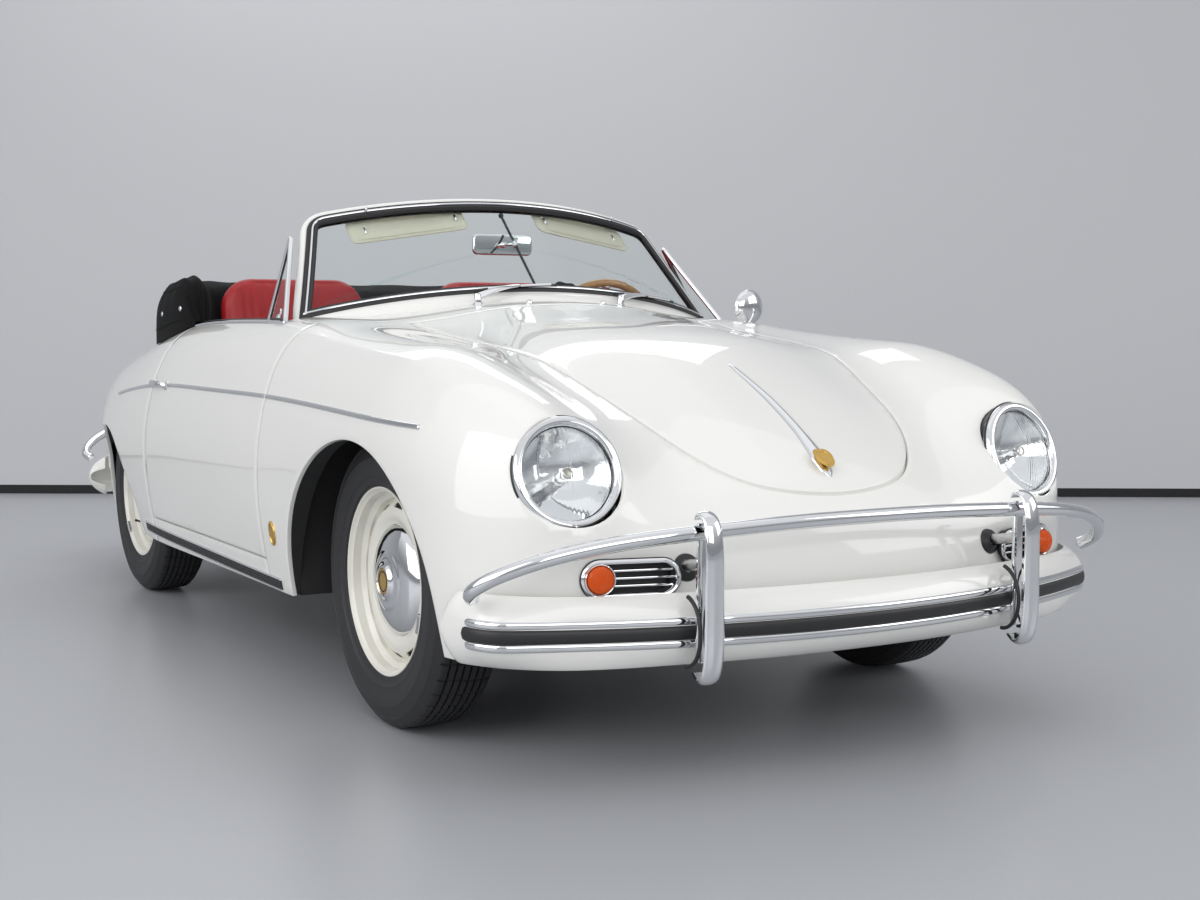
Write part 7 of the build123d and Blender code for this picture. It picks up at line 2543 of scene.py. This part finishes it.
def fit_hidden_sides():
    wells = joined(well_liner(FRONT_AXLE_Y, WELL_FRONT, ARCH_FRONT),
                   well_liner(REAR_AXLE_Y, WELL_REAR, ARCH_REAR))
    make("wheel_wells", pair(wells), UNDERSIDE, 50)
    make("door_posts", pair(joined(jamb(front_post, 1), jamb(rear_post, -1))), IVORY, 30)
    make("front_belly", belly(belly_rows(-1.9, -0.7, 31)), UNDERSIDE, 40)
    make("rear_belly", belly(belly_rows(0.492, 1.13, 17)), UNDERSIDE, 40)
    rows = []
    reach = math.sqrt(WELL_REAR[0] ** 2 - (HUB_Z - BODY_BOTTOM) ** 2)
    for y in np.linspace(1.13, 1.69, 24):
        outer = max(skin_width(y, BODY_BOTTOM + 0.012) - 0.013, 0.36)
        if abs(y - REAR_AXLE_Y) < reach + 0.002:
            outer = min(outer, WELL_REAR[1])
        rows.append([(x, y, BODY_BOTTOM + 0.003) for x in np.linspace(0.346, outer, 10)])
    make("engine_belly_sides", pair(sheet(np.array(rows), 0.004, np.array((0, 0, -1.0)))), UNDERSIDE, 40)
    make("tail_belly", belly(belly_rows(1.692, 1.86, 12)), UNDERSIDE, 40)


fit_hidden_sides()


def fit_floor():
    """Floor with pressed ribs, tunnel, sills inside, carpets and mats."""
    x_half = 0.664
    columns = np.linspace(-x_half, x_half, 40)
    rows = np.linspace(DOOR_FRONT_Y + 0.001, CABIN_END_Y, 110)
    grid = np.zeros((110, 40, 3))
    grid[..., 0], grid[..., 1] = np.meshgrid(columns, rows)
    grid[..., 2] = 0.2545
    ribs = (np.abs(np.abs(grid[..., 0]) - 0.36) < 0.2) & (np.cos(grid[..., 1] * 2 * math.pi / 0.12) > 0.3)
    grid[..., 2] -= 0.004 * ribs
    pan = sheet(grid, 0.006, np.array((0, 0, 1.0)))
    toe = box((-0.634, FIREWALL_Y + 0.001, 0.248), (0.634, DOOR_FRONT_Y + 0.002, 0.2545), 0.001, 1)
    tunnel_line = [(-0.098, 0.25), (-0.089, 0.3), (-0.082, 0.36), (-0.068, 0.39), (-0.045, 0.3985),
                   (0.045, 0.3985), (0.068, 0.39), (0.082, 0.36), (0.089, 0.3), (0.098, 0.25)]
    section = curve(tunnel_line, 40)
    along = np.linspace(FIREWALL_Y + 0.002, CABIN_END_Y, 40)
    tunnel = np.array([[(x, y, z) for x, z in section] for y in along])
    tunnel = sheet(tunnel, 0.004)
    make("floor_panel", joined(pan, toe), UNDERSIDE, 40, ["floor_pan"])
    make("tunnel", tunnel, CARPET, 50)
    mats = []
    for side in (1, -1):
        ring = rounded_outline([(side * 0.115, -0.69), (side * 0.61, -0.69), (side * 0.625, -0.19),
                                (side * 0.115, -0.19)][::side], 0.03, 6)
        mats.append(prism(ring, 0.2548, 0.26, 0.002, 2))
    make("floor_mats", joined(*mats), CARPET, 40)
    rear = [box((side * 0.105, 0.395, 0.2548), (side * 0.64, 0.486, 0.26), 0.002, 2) for side in (1, -1)]
    make("rear_carpets", joined(*rear), CARPET, 40)
    sill = [upright(CABIN_X, DOOR_FRONT_Y, CABIN_X, CABIN_END_Y, 0.236, 0.299)]
    steps = []
    for y in np.linspace(DOOR_FRONT_Y, DOOR_REAR_Y, 50):
        outer = skin_width(y, DOOR_BOTTOM_Z - 0.005) - UNDER_SKIN
        steps.append([(x, y, DOOR_BOTTOM_Z - 0.0035) for x in np.linspace(CABIN_X - 0.003, outer, 8)])
    sill.append(sheet(np.array(steps), 0.003, np.array((0, 0, 1.0))))
    make("inner_sills", pair(joined(*sill)), IVORY, 40)
    plates = []
    for y in np.linspace(-0.46, 0.22, 18):
        plates.append(box((0.676, y, DOOR_BOTTOM_Z - 0.0038), (0.716, y + 0.018, DOOR_BOTTOM_Z - 0.0018),
                          0.0008, 1))
    plates.append(box((0.668, -0.48, DOOR_BOTTOM_Z - 0.004), (0.724, 0.255, DOOR_BOTTOM_Z - 0.003), 0.0004,
                      1))
    make("sill_treads", pair(joined(*plates)), BRUSHED, 40)


fit_floor()


def level_wall(half_wide, y, y_end, height):
    """Level plate across the car."""
    return wall([(x, y, height) for x in (-half_wide, half_wide)]
                + [(x, y_end, height) for x in (half_wide, -half_wide)], SHEET)


def fit_cabin_walls():
    """Toe board, kick panels, walls behind the doors, and the slot behind the seats."""
    side_y = DOOR_REAR_Y + 0.001
    panels = [upright(-0.634, FIREWALL_Y, 0.634, FIREWALL_Y, 0.25, 0.779),
              level_wall(0.634, FIREWALL_Y, -0.385, 0.779)]
    quarter = []
    slot_walls = [level_wall(0.514, 0.49, 0.899, 0.58), upright(-0.514, 0.899, 0.514, 0.899, 0.58, 0.8)]
    for side in (1, -1):
        panels.append(upright(side * 0.6345, FIREWALL_Y, side * 0.6345, DOOR_FRONT_Y, 0.25, 0.779))
        quarter.append(upright(side * 0.6545, side_y, side * 0.6545, CABIN_END_Y, 0.25, 0.85))
        quarter.append(upright(side * 0.6545, CABIN_END_Y, side * 0.514, CABIN_END_Y, 0.25, 0.845))
        slot_walls.append(upright(side * 0.5145, 0.49, side * 0.5145, 0.899, 0.58, 0.8))
    quarter.append(upright(-0.515, CABIN_END_Y, 0.515, CABIN_END_Y, 0.25, 0.579))
    make("toe_board", joined(*panels), CARPET, 40)
    make("quarter_trim", joined(*quarter), RED_LEATHER, 40)
    make("bench_well", joined(*slot_walls), CARPET, 40)


fit_cabin_walls()


def fit_controls():
    """Gear lever, handbrake and pedals."""
    boot = lathe([(0.05, 0.0), (0.05, 0.004), (0.04, 0.01), (0.036, 0.02), (0.028, 0.026), (0.026, 0.036),
                  (0.018, 0.042), (0.016, 0.052), (0.008, 0.056)], 40, close=False)
    make("gear_boot", placed(boot, (0, -0.22, 0.3985), (1, 0, 0), (0, -0.15, 1)), RUBBER, 50)
    stick = curve([(0, -0.228, 0.44), (0, -0.238, 0.5), (0.004, -0.23, 0.57), (0.006, -0.215, 0.612)], 30)
    brake = curve([(0.11, -0.46, 0.52), (0.11, -0.4, 0.5), (0.11, -0.35, 0.486)], 12)
    pedals = [tube(stick, round_section(0.0055, 14), up=(0, 1, 0)), tube(brake, round_section(0.009, 14)),
              bar((0.11, -0.7, 0.56), (0.11, -0.455, 0.519), 0.007, 12)]
    for x, foot, top in ((0.3, -0.64, (-0.632, 0.42)), (0.395, -0.64, (-0.632, 0.42)),
                         (0.49, -0.668, (-0.64, 0.38))):
        pedals.append(tube(curve([(x, foot, 0.262), (x, -0.655, 0.33), (x, *top)], 14),
                           bar_section(0.006, -0.004, -0.006, 0.004), up=(0, 1, 0)))
    make("control_rods", joined(*pedals), CHROME, 45)
    pads = []
    for x in (0.3, 0.395):
        ring = rounded_outline(rectangle(-0.03, -0.024, 0.03, 0.024), 0.01, 6)
        pads.append(placed(prism(ring, 0, 0.008, 0.002, 2), (x, -0.627, 0.428), (1, 0, 0), (0, 1, -0.35)))
        for offset in (-0.015, -0.005, 0.005, 0.015):
            pads.append(placed(box((-0.026, offset - 0.002, 0.007), (0.026, offset + 0.002, 0.0098), 0.0006,
                                   1), (x, -0.627, 0.428), (1, 0, 0), (0, 1, -0.35)))
    ring = rounded_outline(rectangle(-0.024, -0.07, 0.024, 0.07), 0.01, 6)
    pads.append(placed(prism(ring, 0, 0.008, 0.002, 2), (0.49, -0.65, 0.34), (1, 0, 0), (0, 1, 0.35)))
    make("pedal_pads", joined(*pads), RUBBER, 45)
    ball = lathe([(0, -0.014), (0.008, -0.013), (0.016, -0.006), (0.0185, 0.003), (0.016, 0.012),
                  (0.008, 0.018), (0, 0.019)], 32, close=False)
    make("gear_knob", placed(ball, (0.006, -0.213, 0.622), (1, 0, 0), (0, 0.25, 1)), DIAL_WHITE, 60)


fit_controls()


def door_card():
    """Trim of the left door's inner face: leather card, pocket, armrest, winder and pull."""
    low, rear, front = DOOR_BOTTOM_Z + 0.014, DOOR_REAR_Y - 0.018, -0.3
    line = [(front, low), (rear, low), (rear, 0.838), (front, 0.822)]
    card = prism(rounded_outline(line, 0.03, 8), 0, 0.006, 0.003, 3)
    card = facing_inwards(card, 0.661)
    pocket_line = [(-0.25, 0.345), (0.22, 0.345), (0.2, 0.5), (-0.23, 0.5)]
    pocket = prism(rounded_outline(pocket_line, 0.04, 8), 0, 0.014, 0.006, 4)
    pocket = facing_inwards(pocket, 0.656)
    rest = tube(curve([(0.65, -0.15, 0.64), (0.63, -0.12, 0.642), (0.622, 0.0, 0.644), (0.622, 0.14, 0.646),
                       (0.632, 0.2, 0.648), (0.65, 0.225, 0.65)], 50), oval_section(0.02, 0.017))
    top = tube([(0.66, y, 0.845) for y in np.linspace(-0.3, rear, 40)], round_section(0.0068, 12))
    boss = lathe([(0, 0), (0.016, 0), (0.0165, 0.004), (0.01, 0.007), (0.007, 0.014), (0, 0.0145)], 28,
                 close=False)
    routes = [[(0.06, 0.57), (0.09, 0.585), (0.135, 0.6)], [(-0.23, 0.66), (-0.2, 0.668), (-0.165, 0.672)]]
    bright = [placed(boss, (0.655, *route[0]), (0, 1, 0), (-1, 0, 0)) for route in routes]
    for route in routes:
        lever = [(x, *place) for x, place in zip((0.643, 0.64, 0.639), route)]
        bright.append(tube(curve(lever, 14), round_section(0.0042, 12)))
    bright.append(placed(knob(0.0095, 0.018), (0.639, 0.133, 0.6), (0, 1, 0), (-1, 0, 0)))
    edge = tube([(0.6548, y, 0.33) for y in np.linspace(front + 0.03, rear - 0.02, 30)],
                half_round(0.005, 0.003), up=(-1, 0, 0))
    return joined(card, pocket), joined(rest, top), joined(*bright, edge)


card, pads, bright = door_card()
lined = on_doors(("door_card", card, RED_LEATHER, 50, None), ("door_armrest", pads, RED_LEATHER, 60, None),
                 ("door_fittings", bright, CHROME, 45, None))


def bay_walls(ring, low, below_skin, least, steps, middle_y):
    """Upright walls under a ring in the body, from a level up to just below the skin."""
    rows = []
    for share in np.linspace(0, 1, steps):
        tops = [max(on_top(x, y)[0][2] - below_skin, least) for x, y in ring]
        rows.append([(x, y, top * share + low * (1 - share)) for (x, y), top in zip(ring, tops)])
    grid = np.array(rows)
    closed = np.concatenate([grid, grid[:, :1]], axis=1)
    inwards = np.array((0, middle_y, 0)) - closed
    inwards[..., 2] = 0
    inwards /= np.linalg.norm(inwards, axis=2)[..., None]
    return sheet(closed, SHEET, inwards)


def fit_bays():
    """Luggage well and engine bay walls, and the luggage well's floor."""
    outline = even(HOOD_OUTLINE, 200)
    ring = inset(outline, 0.0125)
    if abs(area(ring)) > abs(area(outline)):
        ring = inset(outline[::-1], 0.0125)
    ring[:, 0] = np.clip(ring[:, 0], -0.405, 0.405)
    for point in ring:
        while on_top(point[0], point[1])[0][2] < 0.705:
            point[1] += 0.01
    floor = prism(ring, 0.659, 0.664, 0.0)
    well = joined(bay_walls(ring, 0.664, 0.02, 0.667, 8, -1.2), floor)
    make("luggage_well", well, CARPET, 40)
    bay = rounded_outline(rectangle(-0.344, 1.137, 0.344, 1.678), 0.06, 8)
    walls = bay_walls(even(bay, 160), BODY_BOTTOM + 0.004, 0.026, BODY_BOTTOM + 0.01, 10, 1.41)
    make("engine_bay", walls, STEEL, 40)


fit_bays()


def dress_solids():
    """Finishes of the solids that are kept as they are."""
    looks = {"front_axle": STEEL, "rear_axle": STEEL, "knuckle_left": STEEL, "knuckle_right": STEEL,
             "engine_block": ALLOY, "exhaust": IRON}
    for name, look in looks.items():
        solid = bpy.data.objects[name]
        for slot in solid.material_slots:
            slot.link = "OBJECT"
            slot.material = look


dress_solids()
